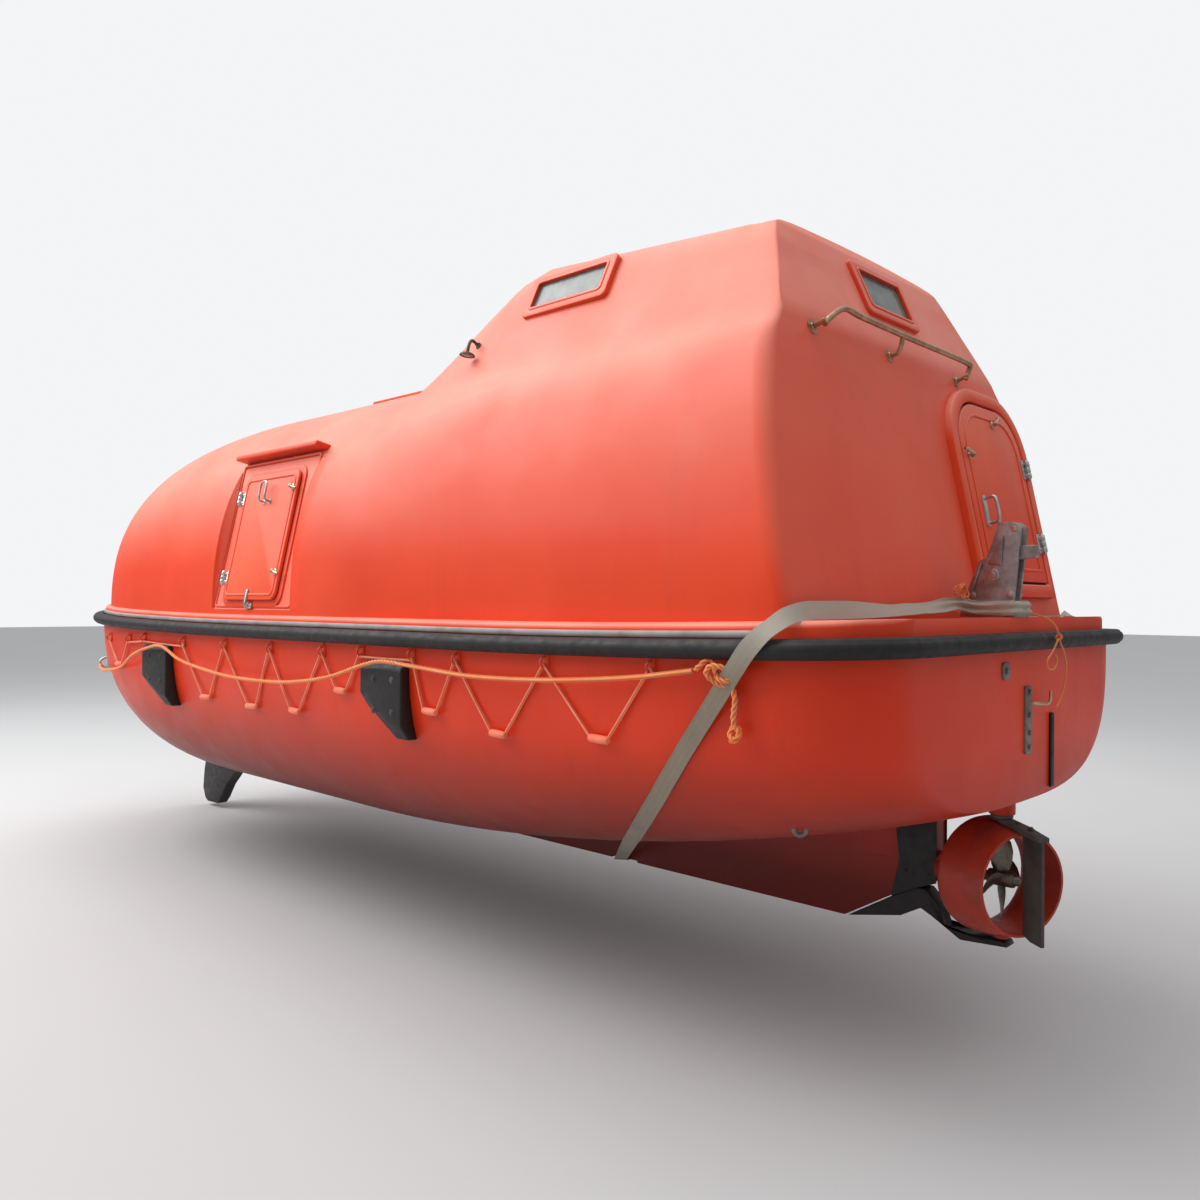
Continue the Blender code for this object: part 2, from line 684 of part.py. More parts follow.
def make_keel_foot():
    top = KEEL_SEAT_Z - TOUCH_GAP
    outline = ((FOOT_AFT_X, top), (3.06, top), (3.09, -0.72), (3.11, -0.86), (3.07, -0.94), (3.03, -0.96),
               (2.86, -0.955), (2.81, -0.91), (2.72, -0.80), (2.60, -0.70), (FOOT_AFT_X, -0.655))
    upright = Matrix.Rotation(math.pi / 2, 4, "X")
    foot = prism(outline, -0.04, 0.04)
    add_object("keel_foot", foot, material("foot_black", BLACK, 0.5), upright, smooth=False)


def steering_frame():
    frame = Matrix.Rotation(-NOZZLE_TURN, 4, "Z")
    frame.translation = (NOZZLE_X, 0, NOZZLE_Z)
    return frame


def make_steering():
    dark = material("stock_steel", (0.09, 0.08, 0.08, 1.0), 0.45, 1.0)
    upright = Matrix.Rotation(math.pi / 2, 4, "X")
    heel = ((-2.50, -0.6212), (-2.7705, -0.4566), (-2.82, -0.455), (-2.87, -0.50), (-2.895, -0.5815),
            (-3.11, -0.5815), (-3.12, -0.60), (-2.95, -0.612), (-2.85, -0.555), (-2.80, -0.53),
            (-2.72, -0.575))
    black = material("sole_black", BLACK, 0.5)
    add_object("sole_piece", prism(heel, -0.035, 0.035), black, upright, smooth=False)
    frame = steering_frame()
    front, exit_radius, bore = NOZZLE_FRONT_RADIUS, NOZZLE_EXIT_RADIUS, NOZZLE_BORE
    half = NOZZLE_HALF
    profile = ((half, bore + 0.022), (half - 0.004, front - 0.008), (half - 0.03, front),
               (0.0, front - 0.007), (-half, exit_radius), (-half, exit_radius - 0.009), (0.0, bore),
               (half - 0.04, bore + 0.003), (half - 0.012, bore + 0.011))
    nozzle = add_object("steering_nozzle", spun(profile), material("nozzle_red", RED, 0.4), frame)
    pin_low = -0.5812 - NOZZLE_Z
    pin = add_object("nozzle_pin_form", rod((0, 0, -bore - 0.015), (0, 0, pin_low), 0.02), None, frame)
    join(nozzle, pin)
    # The stock, the arm over the ring and the flap behind its exit.
    top = STOCK_TOP_Z - TOUCH_GAP - NOZZLE_Z
    arm_outline = ((0.035, 0.2022), (0.0, 0.1986), (-half, 0.1786), (-half - 0.004, 0.1786),
                   (-0.195, 0.165), (-0.195, 0.18), (-0.11, 0.20), (-0.02, 0.213), (0.035, 0.213))
    stock = add_object("steering_stock", prism(arm_outline, -0.022, 0.022), dark, frame @ upright)
    stem = rod((0, 0, 0.2015), (0, 0, top), 0.026)
    join(stock, add_object("stock_form", stem, None, frame))
    flap_outline = ((-half - 0.006, 0.185), (-half - 0.006, -0.165), (-0.14, -0.18),
                    (-0.19, -0.185), (-0.19, 0.175))
    flap = add_object("flap_form", prism(flap_outline, -0.007, 0.007), None, frame @ upright)
    join(stock, flap)


def make_propeller():
    bronze = material("propeller_bronze", (0.42, 0.33, 0.20, 1.0), 0.4, 1.0)
    hub = rod((0.045, 0, 0), (-0.045, 0, 0), 0.028)
    place = Matrix.Translation((NOZZLE_X, 0, NOZZLE_Z))
    propeller = add_object("propeller", hub, bronze, place)
    # Blade sections, as (radius, chord, pitch angle, thickness).
    sections = ((0.016, 0.045, 52, 0.010), (0.05, 0.075, 42, 0.008), (0.09, 0.095, 31, 0.006),
                (0.12, 0.085, 25, 0.005), (PROPELLER_RADIUS, 0.045, 21, 0.003))
    for number in range(4):
        rings = []
        for radius, chord, pitch, thick in sections:
            angle = math.radians(pitch)
            along = Vector((math.sin(angle), math.cos(angle), 0)) * chord / 2
            off = Vector((math.cos(angle), -math.sin(angle), 0)) * thick / 2
            middle = Vector((0, 0, radius))
            rings.append([middle - along, middle - along * 0.4 + off, middle + along * 0.4 + off,
                          middle + along, middle + along * 0.4 - off, middle - along * 0.4 - off])
        blade = loft(rings)
        blade.transform(Matrix.Rotation(math.pi / 2 * number, 4, "X"))
        join(propeller, add_object(f"blade_form_{number}", blade, None, place))
    after, fore = NOZZLE_X + 0.045 + TOUCH_GAP, SKEG_AFT_X - 0.04 - TOUCH_GAP
    shaft = rod((fore, 0, NOZZLE_Z), (after, 0, NOZZLE_Z), 0.018)
    add_object("propeller_shaft", shaft, material("shaft_steel", STEEL, 0.25, 1.0))


def make_hook(label, x, toward, deck_z, steel):
    """A release hook: a block with two cheeks and, between them, the claw on its pin."""
    frame = Matrix.Translation((x, 0, deck_z)) @ Matrix.Rotation(0.0 if toward > 0 else math.pi, 4, "Z")
    upright = frame @ Matrix.Rotation(math.pi / 2, 4, "X")
    block = add_object(f"{label}_hook_block", box((-0.075, -0.065, TOUCH_GAP), (0.115, 0.065, 0.055)),
                       steel, frame, smooth=False)
    cheek = ((-0.07, 0.05), (0.10, 0.05), (0.125, 0.31), (0.10, 0.33), (0.045, 0.33), (0.01, 0.21),
             (-0.02, 0.20), (-0.07, 0.08))
    for side in (-1, 1):
        low, high = sorted((side * 0.0215, side * 0.0325))
        join(block, add_object(f"{label}_cheek_form_{side + 1}", prism(cheek, low, high), None, upright))
    web = box((-0.07, -0.03, 0.05), (-0.05, 0.03, 0.085))
    join(block, add_object(f"{label}_web_form", web, None, frame))
    pin = rod((0.03, -0.04, 0.155), (0.03, 0.04, 0.155), 0.011)
    join(block, add_object(f"{label}_pin_form", pin, None, frame))
    outline = ((0.062, 0.128), (0.07, 0.155), (0.088, 0.185), (0.105, 0.20), (0.165, 0.205), (0.17, 0.215),
               (0.165, 0.249), (0.11, 0.249), (0.105, 0.29), (0.085, 0.31), (0.055, 0.30), (0.035, 0.255),
               (0.0, 0.205), (-0.012, 0.16), (0.0, 0.13), (0.03, 0.115))
    axis = Matrix.Translation((0.03, 0, 0.155))
    claw = prism(outline, -0.0145, 0.0145)
    claw.transform(Matrix.Rotation(math.pi / 2, 4, "X"))
    claw = place_lid(f"{label}_hook_claw", claw, steel, frame, axis)
    hole = rod((0, -0.05, 0), (0, 0.05, 0), 0.0115)
    cut(claw, add_object(f"{label}_claw_hole_form", hole, None, frame @ axis))


def hull_ring_point(x, k, steps=11):
    """The hull's own surface between two of its stations, on section line k."""
    stations = np.array(HULL_STATIONS)
    at = int(np.clip(np.searchsorted(stations, x) - 1, 0, len(stations) - 2))
    share = (x - stations[at]) / (stations[at + 1] - stations[at])
    first = np.array(hull_ring(stations[at])[k])
    second = np.array(hull_ring(stations[at + 1])[k])
    return first + (second - first) * share


def hull_clearance(label, gap):
    """The hull's form a little wider, to hollow whatever sits against its sides."""
    form = add_object(f"{label}_clearance_form", loft([hull_ring(x) for x in HULL_STATIONS]), None)
    form.data.transform(Matrix.Diagonal((1, 1 + gap / HALF_BEAM, 1, 1)))
    return form


def make_side_blocks(clearance):
    """Black blocks that take the knocks, hollowed to sit just clear of the hull's side."""
    black = material("block_black", BLACK, 0.5)
    # As (name, after end, forward end, foot aft, foot forward).
    blocks = (("fore", 1.03, 1.35, 0.0, 0.10), ("after", -1.19, -0.90, 0.03, 0.15))
    for name, aft, fore, foot_aft, foot_fore in blocks:
        for side, label in ((1, "port"), (-1, "starboard")):
            rings = []
            for x, foot in ((aft, foot_aft), (aft + 0.08, foot_aft), (fore, foot_fore)):
                section = ((1.06, foot), (1.165, foot), (1.205, foot + 0.06), (1.205, 0.31),
                           (1.185, 0.335), (1.06, 0.335))
                rings.append([(x, side * y, z) for y, z in section])
            block = add_object(f"{label}_{name}_block", loft(rings), black, smooth=False)
            cut(block, clearance)


def surface_point(x, z, side):
    """A point of the hull's side and its outward normal."""
    step = 0.01
    here = Vector((x, hull_side(x, z), z))
    ahead = Vector((x + step, hull_side(x + step, z), z)) - here
    below = Vector((x, hull_side(x, z - step), z - step)) - here
    out = below.cross(ahead).normalized()
    out *= 1.0 if out.y > 0 else -1.0
    return Vector((here.x, side * here.y, here.z)), Vector((out.x, side * out.y, out.z))


def tube(path, radius, sides=10):
    """A round bar swept along a path."""
    points = [Vector(p) for p in path]
    rings = []
    turn = None
    previous = None
    for i, point in enumerate(points):
        along = (points[min(i + 1, len(points) - 1)] - points[max(i - 1, 0)]).normalized()
        if previous is None:
            turn = along.to_track_quat("Z", "Y")
        else:
            turn = previous.rotation_difference(along) @ turn
        previous = along
        rings.append([point + turn @ Vector((radius * math.cos(a), radius * math.sin(a), 0))
                      for a in (2 * math.pi * k / sides for k in range(sides))])
    return loft(rings)


def make_bow_eyes(steel, clearance):
    for side, label in ((1, "port"), (-1, "starboard")):
        point, out = surface_point(*EYE_PLACE, side)
        frame = plane_frame(point, out.cross(Vector((0, 0, 1))), Vector((0, 0, 1)))
        if (frame.to_3x3() @ Vector((0, 0, 1))).dot(out) < 0:
            frame = plane_frame(point, -out.cross(Vector((0, 0, 1))), Vector((0, 0, 1)))
        plate = prism(rounded_outline(0.045, 0.09, 0.012), -0.01, 0.009)
        eye = add_object(f"{label}_bow_eye", plate, steel, frame)
        ring = [(0.0, 0.035 * math.cos(a), 0.006 + 0.05 * math.sin(a))
                for a in np.linspace(0.0, math.pi, 13)]
        join(eye, add_object(f"{label}_eye_form", tube(ring, 0.008), None, frame))
        cut(eye, clearance)


def make_handrail(steel):
    """The rail across the tower's aft face, on three posts."""
    rail = smooth_path([(-2.762, 0.655, 1.50), (-2.765, 0.62, 1.53), (-2.77, 0.54, 1.572),
                        (-2.77, 0.41, 1.567), (-2.77, 0.0, 1.563), (-2.77, -0.40, 1.56),
                        (-2.765, -0.44, 1.54), (-2.755, -0.43, 1.50)], 26)
    handrail = add_object("aft_handrail", tube(rail, 0.011), steel)
    for number, (y, z) in enumerate(((0.655, 1.50), (0.13, 1.50), (-0.43, 1.50))):
        foot = Vector((aft_face_x(z), y, z))
        out = (aft_frame().to_3x3() @ Vector((0, 0, 1))).normalized()
        knee, end = foot + out * 0.03, foot + out * 0.055 + Vector((0, 0, 0.004))
        if abs(y - 0.13) < 0.01:
            knee, end = foot + out * 0.04, Vector((-2.77, y, 1.563))
        post = tube([foot + out * TOUCH_GAP, knee, end], 0.009)
        join(handrail, add_object(f"rail_post_form_{number}", post, None))


def hull_round(points):
    """The convex outline of points, counter-clockwise."""
    found = sorted(set(points))
    halves = []
    for ordered in (found, found[::-1]):
        chain = []
        for p in ordered:
            while len(chain) > 1:
                a, b = chain[-2], chain[-1]
                if (b[0] - a[0]) * (p[1] - a[1]) - (b[1] - a[1]) * (p[0] - a[0]) > 0:
                    break
                chain.pop()
            chain.append(p)
        halves.append(chain[:-1])
    return halves[0] + halves[1]


def ribbon(path, across, width, thick):
    """A closed flat band along a path, each place with its own direction across."""
    rings = []
    count = len(path)
    for i, point in enumerate(path):
        along = (path[(i + 1) % count] - path[i - 1]).normalized()
        side = (across[i] - along * across[i].dot(along)).normalized()
        up = side.cross(along).normalized()
        rings.append([point + side * a * width / 2 + up * b * thick / 2
                      for a, b in ((-1, -1), (1, -1), (1, 1), (-1, 1))])
    return closed_loft(rings)


def make_ropes():
    orange = material("rope_orange", ORANGE, 0.8)
    # Tops and bottoms of the lifeline's loops on the hull's side, as (x, z).
    loops = ((2.0, 0.345), (1.80, 0.20), (1.62, 0.35), (1.40, 0.36), (0.88, 0.35), (0.64, 0.08),
             (0.39, 0.35), (0.14, 0.07), (-0.08, 0.35), (-0.28, 0.08), (-0.55, 0.355), (-0.70, 0.20),
             (-0.86, 0.365), (-1.22, 0.365), (-1.33, 0.16), (-1.50, 0.36), (-1.72, 0.11),
             (-1.98, 0.37), (-2.22, 0.14), (-2.45, 0.375))
    for side, label in ((1, "port"), (-1, "starboard")):
        path = []
        for x, z in loops:
            point, out = surface_point(x, z, side)
            path.append(point + out * 0.014)
        line = smooth_path([tuple(p) for p in path], 78)
        rope(f"{label}_lifeline", line, 0.006, orange)
    painter = ((2.1, 0.155), (1.7, 0.19), (1.42, 0.27), (1.23, 0.315), (1.02, 0.335),
               (0.77, 0.27), (0.36, 0.225), (0.04, 0.213), (-0.34, 0.221), (-0.68, 0.26),
               (-0.92, 0.315), (-1.09, 0.345), (-1.33, 0.33), (-1.63, 0.315), (-2.0, 0.322),
               (-2.38, 0.35), (-2.64, 0.385))
    eye, out = surface_point(*EYE_PLACE, 1)
    aft = Vector((0, 0, 1)).cross(out).normalized()
    path = [tuple(eye + out * 0.048 + aft * d - Vector((0, 0, drop)))
            for d, drop in ((0.0089, 0.0), (0.03, 0.0), (0.1, 0.006))]
    for x, z in painter:
        point, out = surface_point(x, z, 1)
        point = point + out * 0.045
        if -1.3 < x < 1.5:
            point.y = max(point.y, 1.232)
        path.append(tuple(point))
    rope("painter_rope", smooth_path(path, 60), 0.009, orange, 3)


def make_strap():
    """The belly strap: from the aft hook over each quarter, down the side and under the keel."""
    top_x, count = -2.85, 30
    placed = {(half_beam(top_x) + 0.074, gunwale_z(top_x) + 0.004): top_x,
              (KEEL_HALF + 0.028, KEEL_SEAT_Z - 0.0035): STRAP_KEEL_X}
    for i in range(1, count):
        x = float(np.interp(i / count, STRAP_SHARES, (*STRAP_STATIONS, STRAP_KEEL_X)))
        skin = hull_ring_point(x, 11 * i // count) * (1 - 11 * i / count % 1)
        skin += hull_ring_point(x, 11 * i // count + 1) * (11 * i / count % 1)
        placed[(skin[1] + 0.0085, skin[2] - 0.0085)] = x
    taut = hull_round(list(placed) + [(-y, z) for y, z in placed])
    half = sorted([p for p in taut if p in placed], key=lambda p: placed[p])
    deck = gunwale_z(-2.95) + PLATE_RISE
    # From the middle of the hook's after face to the rail, as (x, y, z) and the band's direction across.
    route = [((-3.15165, 0.0, deck + 0.038), (0, 0, 1))]
    for degrees in (0, 30, 60, 90):
        angle = math.radians(degrees)
        route.append(((-3.15 - 0.00165 * math.cos(angle), 0.065 + 0.00165 * math.sin(angle), deck + 0.038),
                      (0, 0, 1)))
    route += [((-3.03, 0.06665, deck + 0.038), (0, 0, 1)), ((-2.99, 0.075, deck + 0.038), (0.05, 0, 1)),
              ((-2.97, 0.12, deck + 0.037), (0.2, 0, 1)), ((-2.965, 0.30, deck + 0.030), (0.6, 0, 0.7)),
              ((-2.96, 0.60, deck + 0.016), (1, 0, 0.15)), ((-2.955, 0.85, deck + 0.009), (1, 0, 0)),
              ((-2.945, half_beam(-2.945) - 0.05, deck + 0.006), (1, 0.1, 0)),
              ((-2.935, half_beam(-2.935) - 0.008, deck - 0.004), (1, 0.15, 0)),
              ((-2.90, half_beam(-2.90) + 0.068, gunwale_z(-2.90) + 0.048), (1, 0.1, 0))]
    path = [Vector(point) for point, _ in route]
    across = [Vector(way) for _, way in route]
    path += [Vector((placed[place], *place)) for place in half]
    for i in range(len(route), len(path)):
        along = path[min(i + 1, len(path) - 1)] - path[i - 1]
        across.append(along.cross(Vector((0, -along.z, along.y))).normalized())
    across[-1] = Vector((-along.y, along.x, 0)).normalized()
    mirror = Matrix.Diagonal((1, -1, 1))
    path += [mirror @ point for point in path[:0:-1]]
    across += [mirror @ way for way in across[:0:-1]]
    webbing = material("strap_webbing", (0.42, 0.37, 0.30, 1.0), 0.9)
    add_object("belly_strap", ribbon(path, across, 0.058, 0.0025), webbing, smooth=False)


def make_transom_fittings(steel):
    back = Matrix(((0, 0, -1, TRANSOM_X), (-1, 0, 0, 0), (0, 1, 0, 0), (0, 0, 0, 1)))
    plate = prism(rounded_outline(0.045, 0.23, 0.006, 2, (0.02, 0.19)), TOUCH_GAP, 0.008)
    add_object("transom_plate", plate, steel, back, smooth=False)
    strip = prism(rounded_outline(0.036, 0.27, 0.006, 2, (0.245, 0.065)), TOUCH_GAP, 0.010)
    dark = material("strip_dark", (0.05, 0.03, 0.03, 1.0), 0.5)
    add_object("transom_strip", strip, dark, back, smooth=False)


def make_inside():
    paint = material("engine_grey", (0.25, 0.30, 0.30, 1.0), 0.5)
    engine = box((-2.36, -0.27, ENGINE_BED_Z + TOUCH_GAP), (-1.56, 0.27, 0.30))
    add_object("engine_block", engine, paint, smooth=False)
    cloth = material("seat_vinyl", (0.06, 0.06, 0.07, 1.0), 0.6)
    stool = box((-2.02, -0.16, 0.30 + TOUCH_GAP), (-1.72, 0.16, 0.96))
    seat = add_object("helm_seat", stool, cloth, smooth=False)
    join(seat, add_object("seat_pan_form", box((-2.08, -0.22, 0.94), (-1.64, 0.22, 1.02)), None))
    join(seat, add_object("seat_back_form", box((-2.14, -0.21, 0.95), (-2.07, 0.21, 1.40)), None))
    grey = material("console_grey", (0.55, 0.56, 0.55, 1.0), 0.5)
    upright = Matrix.Rotation(math.pi / 2, 4, "X")
    outline = ((-1.36, AISLE_Z + TOUCH_GAP), (-1.08, AISLE_Z + TOUCH_GAP), (-1.08, 1.30), (-1.14, 1.33),
               (-1.36, 1.12))
    add_object("helm_console", prism(outline, -0.24, 0.24), grey, upright, smooth=False)
    wheel_frame = Matrix.Translation((-1.36 - 0.07, 0, 1.0)) @ Matrix.Rotation(math.pi, 4, "Z")
    profile = [(0.011 * math.cos(math.radians(a)), 0.165 + 0.011 * math.sin(math.radians(a)))
               for a in range(0, 360, 45)]
    wheel = add_object("steering_wheel", spun(profile, 32), cloth, wheel_frame)
    hub = rod((-0.0697, 0, 0), (0.015, 0, 0), 0.024)
    join(wheel, add_object("wheel_hub_form", hub, None, wheel_frame))
    for number in range(3):
        angle = 2 * math.pi * number / 3
        end = (0.0, 0.162 * math.sin(angle), 0.162 * math.cos(angle))
        spoke = rod((0, 0, 0), end, 0.008, 8)
        join(wheel, add_object(f"spoke_form_{number}", spoke, None, wheel_frame))


def canopy_top(x, y):
    """Height of the canopy's outside on the tower's forward slope or ahead of it."""
    share = float(np.interp(x, [place for place, _ in SLOPE], [part for _, part in SLOPE]))
    half = blended_half(x, share)
    return float(np.interp(y, [p[0] for p in half][::-1], [p[1] for p in half][::-1]))


def make_lamp(steel):
    """The lamp on the tower's forward slope: a saucer shade hung from a swan neck."""
    x, y = LAMP_FOOT
    here = Vector((x, y, canopy_top(x, y)))
    ahead = Vector((x + 0.02, y, canopy_top(x + 0.02, y))) - here
    beside = Vector((x, y + 0.02, canopy_top(x, y + 0.02))) - here
    out = ahead.cross(beside).normalized()
    lamp = add_object("tower_lamp", rod(here + out * 0.0011, here + out * 0.010, 0.017), steel)
    bend = [here + out * 0.006]
    for step in ((0.003, 0.022, 0.014), (0.001, 0.036, 0.018), (-0.005, 0.053, 0.008), (-0.011, 0.067, -0.014),
                 (-0.014, 0.074, -0.036), (-0.015, 0.075, -0.050)):
        bend.append(here + Vector(step))
    join(lamp, add_object("stem_form", tube(bend, 0.007), None))
    shade = rod(here + Vector((-0.015, 0.075, -0.045)), here + Vector((-0.0145, 0.077, -0.0585)), 0.034, 24)
    join(lamp, add_object("shade_form", shade, None))


def main():
    clear_scene()
    red = material("hull_red", RED, 0.25)
    steel = material("fitting_steel", STEEL, 0.3, 1.0)
    make_hull(red)
    make_canopy(material("canopy_red", RED, 0.22))
    make_windows()
    make_side_hatches(material("hatch_red", RED, 0.25))
    make_aft_door(material("door_red", RED, 0.25))
    make_roof_hatch(material("roof_hatch_red", RED, 0.25))
    make_fender()
    make_strip()
    make_keel_foot()
    make_steering()
    make_propeller()
    make_hook("aft", AFT_HOOK_X, -1, gunwale_z(AFT_HOOK_X - 0.12) + PLATE_RISE, steel)
    make_hook("fore", FORE_HOOK_X, 1, fore_deck_z(), steel)
    make_side_blocks(hull_clearance("block", 1.3 * TOUCH_GAP))
    make_bow_eyes(steel, hull_clearance("eye", 0.0007))
    make_handrail(steel)
    make_ropes()
    make_strap()
    make_lamp(steel)
    make_transom_fittings(steel)
    make_inside()


main()
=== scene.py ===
"""A totally enclosed lifeboat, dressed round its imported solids.

Metres, +X to the bow, +Y to port, +Z up, with the origin on the waterline amidships. Each class
builds and finishes one sub-assembly of the boat, and main() builds them in order.
"""

import logging
import math
from dataclasses import dataclass, field
from enum import Enum
from typing import Iterable, Sequence

import bmesh
import bpy
import numpy as np
from mathutils import Matrix, Vector
from mathutils.bvhtree import BVHTree
from mathutils.interpolate import poly_3d_calc


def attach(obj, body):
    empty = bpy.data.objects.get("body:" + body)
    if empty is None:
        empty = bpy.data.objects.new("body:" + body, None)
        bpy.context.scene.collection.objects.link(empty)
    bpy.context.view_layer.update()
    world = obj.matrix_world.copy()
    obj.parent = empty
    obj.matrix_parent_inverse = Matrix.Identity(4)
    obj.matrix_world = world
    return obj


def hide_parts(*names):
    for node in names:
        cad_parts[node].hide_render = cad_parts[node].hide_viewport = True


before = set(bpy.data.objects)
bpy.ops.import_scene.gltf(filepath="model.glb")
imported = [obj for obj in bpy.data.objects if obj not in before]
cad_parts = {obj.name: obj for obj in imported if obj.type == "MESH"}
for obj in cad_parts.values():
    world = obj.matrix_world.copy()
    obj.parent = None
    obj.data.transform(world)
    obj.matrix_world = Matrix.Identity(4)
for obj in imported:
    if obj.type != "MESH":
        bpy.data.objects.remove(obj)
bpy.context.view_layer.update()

LOG = logging.getLogger("lifeboat")

Colour = tuple[float, float, float]
Point = tuple[float, float, float]
Flat = tuple[float, float]
Shape = bmesh.types.BMesh
Mesh = bpy.types.Mesh
Piece = bpy.types.Object
Material = bpy.types.Material

Z_AXIS = Vector((0, 0, 1))
GAP = 0.0003  # between a piece and what it rests on


class Side(Enum):
    """The boat's two sides, as the sign of Y."""

    PORT = 1
    STARBOARD = -1

    @property
    def label(self) -> str:
        """The side's name in piece and node names."""
        return self.name.lower()


# Finishes


class Shades:
    """The node tree of one material, with the patterns that the finishes share."""

    def __init__(self, name: str) -> None:
        """Starts a material.

        Args:
            name: The material's name.
        """
        self.mat = bpy.data.materials.new(name)
        self.mat.use_nodes = True
        self.tree = self.mat.node_tree
        self.shader = self.tree.nodes["Principled BSDF"]
        self.coords = self.tree.nodes.new("ShaderNodeTexCoord")

    def node(self, kind: str, **values: object) -> bpy.types.Node:
        """Adds a node and fills its named settings.

        Args:
            kind: The node's type.
            values: Its settings by name.

        Returns:
            The node.
        """
        made = self.tree.nodes.new(kind)
        for key, value in values.items():
            setattr(made, key, value)
        return made

    def link(self, source: object, target: object) -> None:
        """Joins an output to an input, or sets a plain value on the input.

        Args:
            source: An output, a colour or a number.
            target: The input.
        """
        if isinstance(source, bpy.types.NodeSocket):
            self.tree.links.new(source, target)
        elif isinstance(source, tuple):
            target.default_value = (*source, 1.0)
        else:
            target.default_value = source

    def place(self, stretch: Point = (1, 1, 1), turn: Point = (0, 0, 0), uv: bool = False) -> object:
        """Pattern coordinates on the piece.

        Args:
            stretch: How much finer the pattern gets along each axis.
            turn: The pattern's turn, in radians.
            uv: Follow the surface's own map instead of the piece's space.

        Returns:
            The vector output.
        """
        mapping = self.node("ShaderNodeMapping")
        mapping.inputs["Scale"].default_value = stretch
        mapping.inputs["Rotation"].default_value = turn
        self.link(self.coords.outputs["UV" if uv else "Object"], mapping.inputs["Vector"])
        return mapping.outputs["Vector"]

    def noise(self, scale: float, detail: float = 4.0, rough: float = 0.55,
              stretch: Point = (1, 1, 1), uv: bool = False) -> object:
        """A cloudy pattern from 0 to 1.

        Args:
            scale: Clouds to the metre.
            detail: How many finer layers it has.
            rough: How strong those are.
            stretch: How much finer it gets along each axis.
            uv: Follow the surface's own map.

        Returns:
            The pattern.
        """
        noise = self.node("ShaderNodeTexNoise")
        noise.inputs["Scale"].default_value = scale
        noise.inputs["Detail"].default_value = detail
        noise.inputs["Roughness"].default_value = rough
        self.link(self.place(stretch, uv=uv), noise.inputs["Vector"])
        return noise.outputs["Fac"]

    def span(self, value: object, low: float, high: float, first: float = 0.0, last: float = 1.0) -> object:
        """Stretches a part of a pattern's range to another range, and clamps it.

        Args:
            value: The pattern.
            low: The range's start.
            high: The range's end.
            first: What its start becomes.
            last: What its end becomes.

        Returns:
            The stretched pattern.
        """
        span = self.node("ShaderNodeMapRange")
        self.link(value, span.inputs["Value"])
        for key, number in (("From Min", low), ("From Max", high), ("To Min", first), ("To Max", last)):
            span.inputs[key].default_value = number
        return span.outputs["Result"]

    def maths(self, kind: str, first: object, second: object) -> object:
        """One sum of two values.

        Args:
            kind: The operation.
            first: One value.
            second: The other.

        Returns:
            The result.
        """
        made = self.node("ShaderNodeMath", operation=kind)
        self.link(first, made.inputs[0])
        self.link(second, made.inputs[1])
        return made.outputs["Value"]

    def blend(self, share: object, first: object, second: object, kind: str = "MIX") -> object:
        """Mixes two colours by a share.

        Args:
            share: How much of the second shows.
            first: The first colour.
            second: The second colour.
            kind: How they mix.

        Returns:
            The mixed colour.
        """
        mix = self.node("ShaderNodeMix", data_type="RGBA", blend_type=kind)
        self.link(share, mix.inputs["Factor"])
        self.link(first, mix.inputs[6])
        self.link(second, mix.inputs[7])
        return mix.outputs[2]

    def axis(self, name: str, uv: bool = False) -> object:
        """One coordinate of the piece's space, or of its surface map.

        Args:
            name: X, Y or Z.
            uv: Read the surface's own map.

        Returns:
            The coordinate.
        """
        split = self.node("ShaderNodeSeparateXYZ")
        self.link(self.coords.outputs["UV" if uv else "Object"], split.inputs["Vector"])
        return split.outputs[name]

    def slope(self, name: str) -> object:
        """One part of the surface's own direction.

        Args:
            name: X, Y or Z.

        Returns:
            That part of the direction.
        """
        split = self.node("ShaderNodeSeparateXYZ")
        geometry = self.node("ShaderNodeNewGeometry")
        self.link(geometry.outputs["Normal"], split.inputs["Vector"])
        return split.outputs[name]

    def bump(self, height: object, distance: float, strength: float = 1.0) -> None:
        """Raises the surface by a pattern, over any earlier one.

        Args:
            height: The pattern.
            distance: Its height in metres.
            strength: How much of it shows.
        """
        bump = self.node("ShaderNodeBump")
        bump.inputs["Distance"].default_value = distance
        bump.inputs["Strength"].default_value = strength
        self.link(height, bump.inputs["Height"])
        earlier = self.shader.inputs["Normal"].links
        if earlier:
            self.link(earlier[0].from_socket, bump.inputs["Normal"])
        self.link(bump.outputs["Normal"], self.shader.inputs["Normal"])

    def give(self, **inputs: object) -> Material:
        """Fills the shader's inputs and returns the material.

        Args:
            inputs: What each input gets, by name.

        Returns:
            The material.
        """
        for key, value in inputs.items():
            self.link(value, self.shader.inputs[key.replace("_", " ")])
        return self.mat


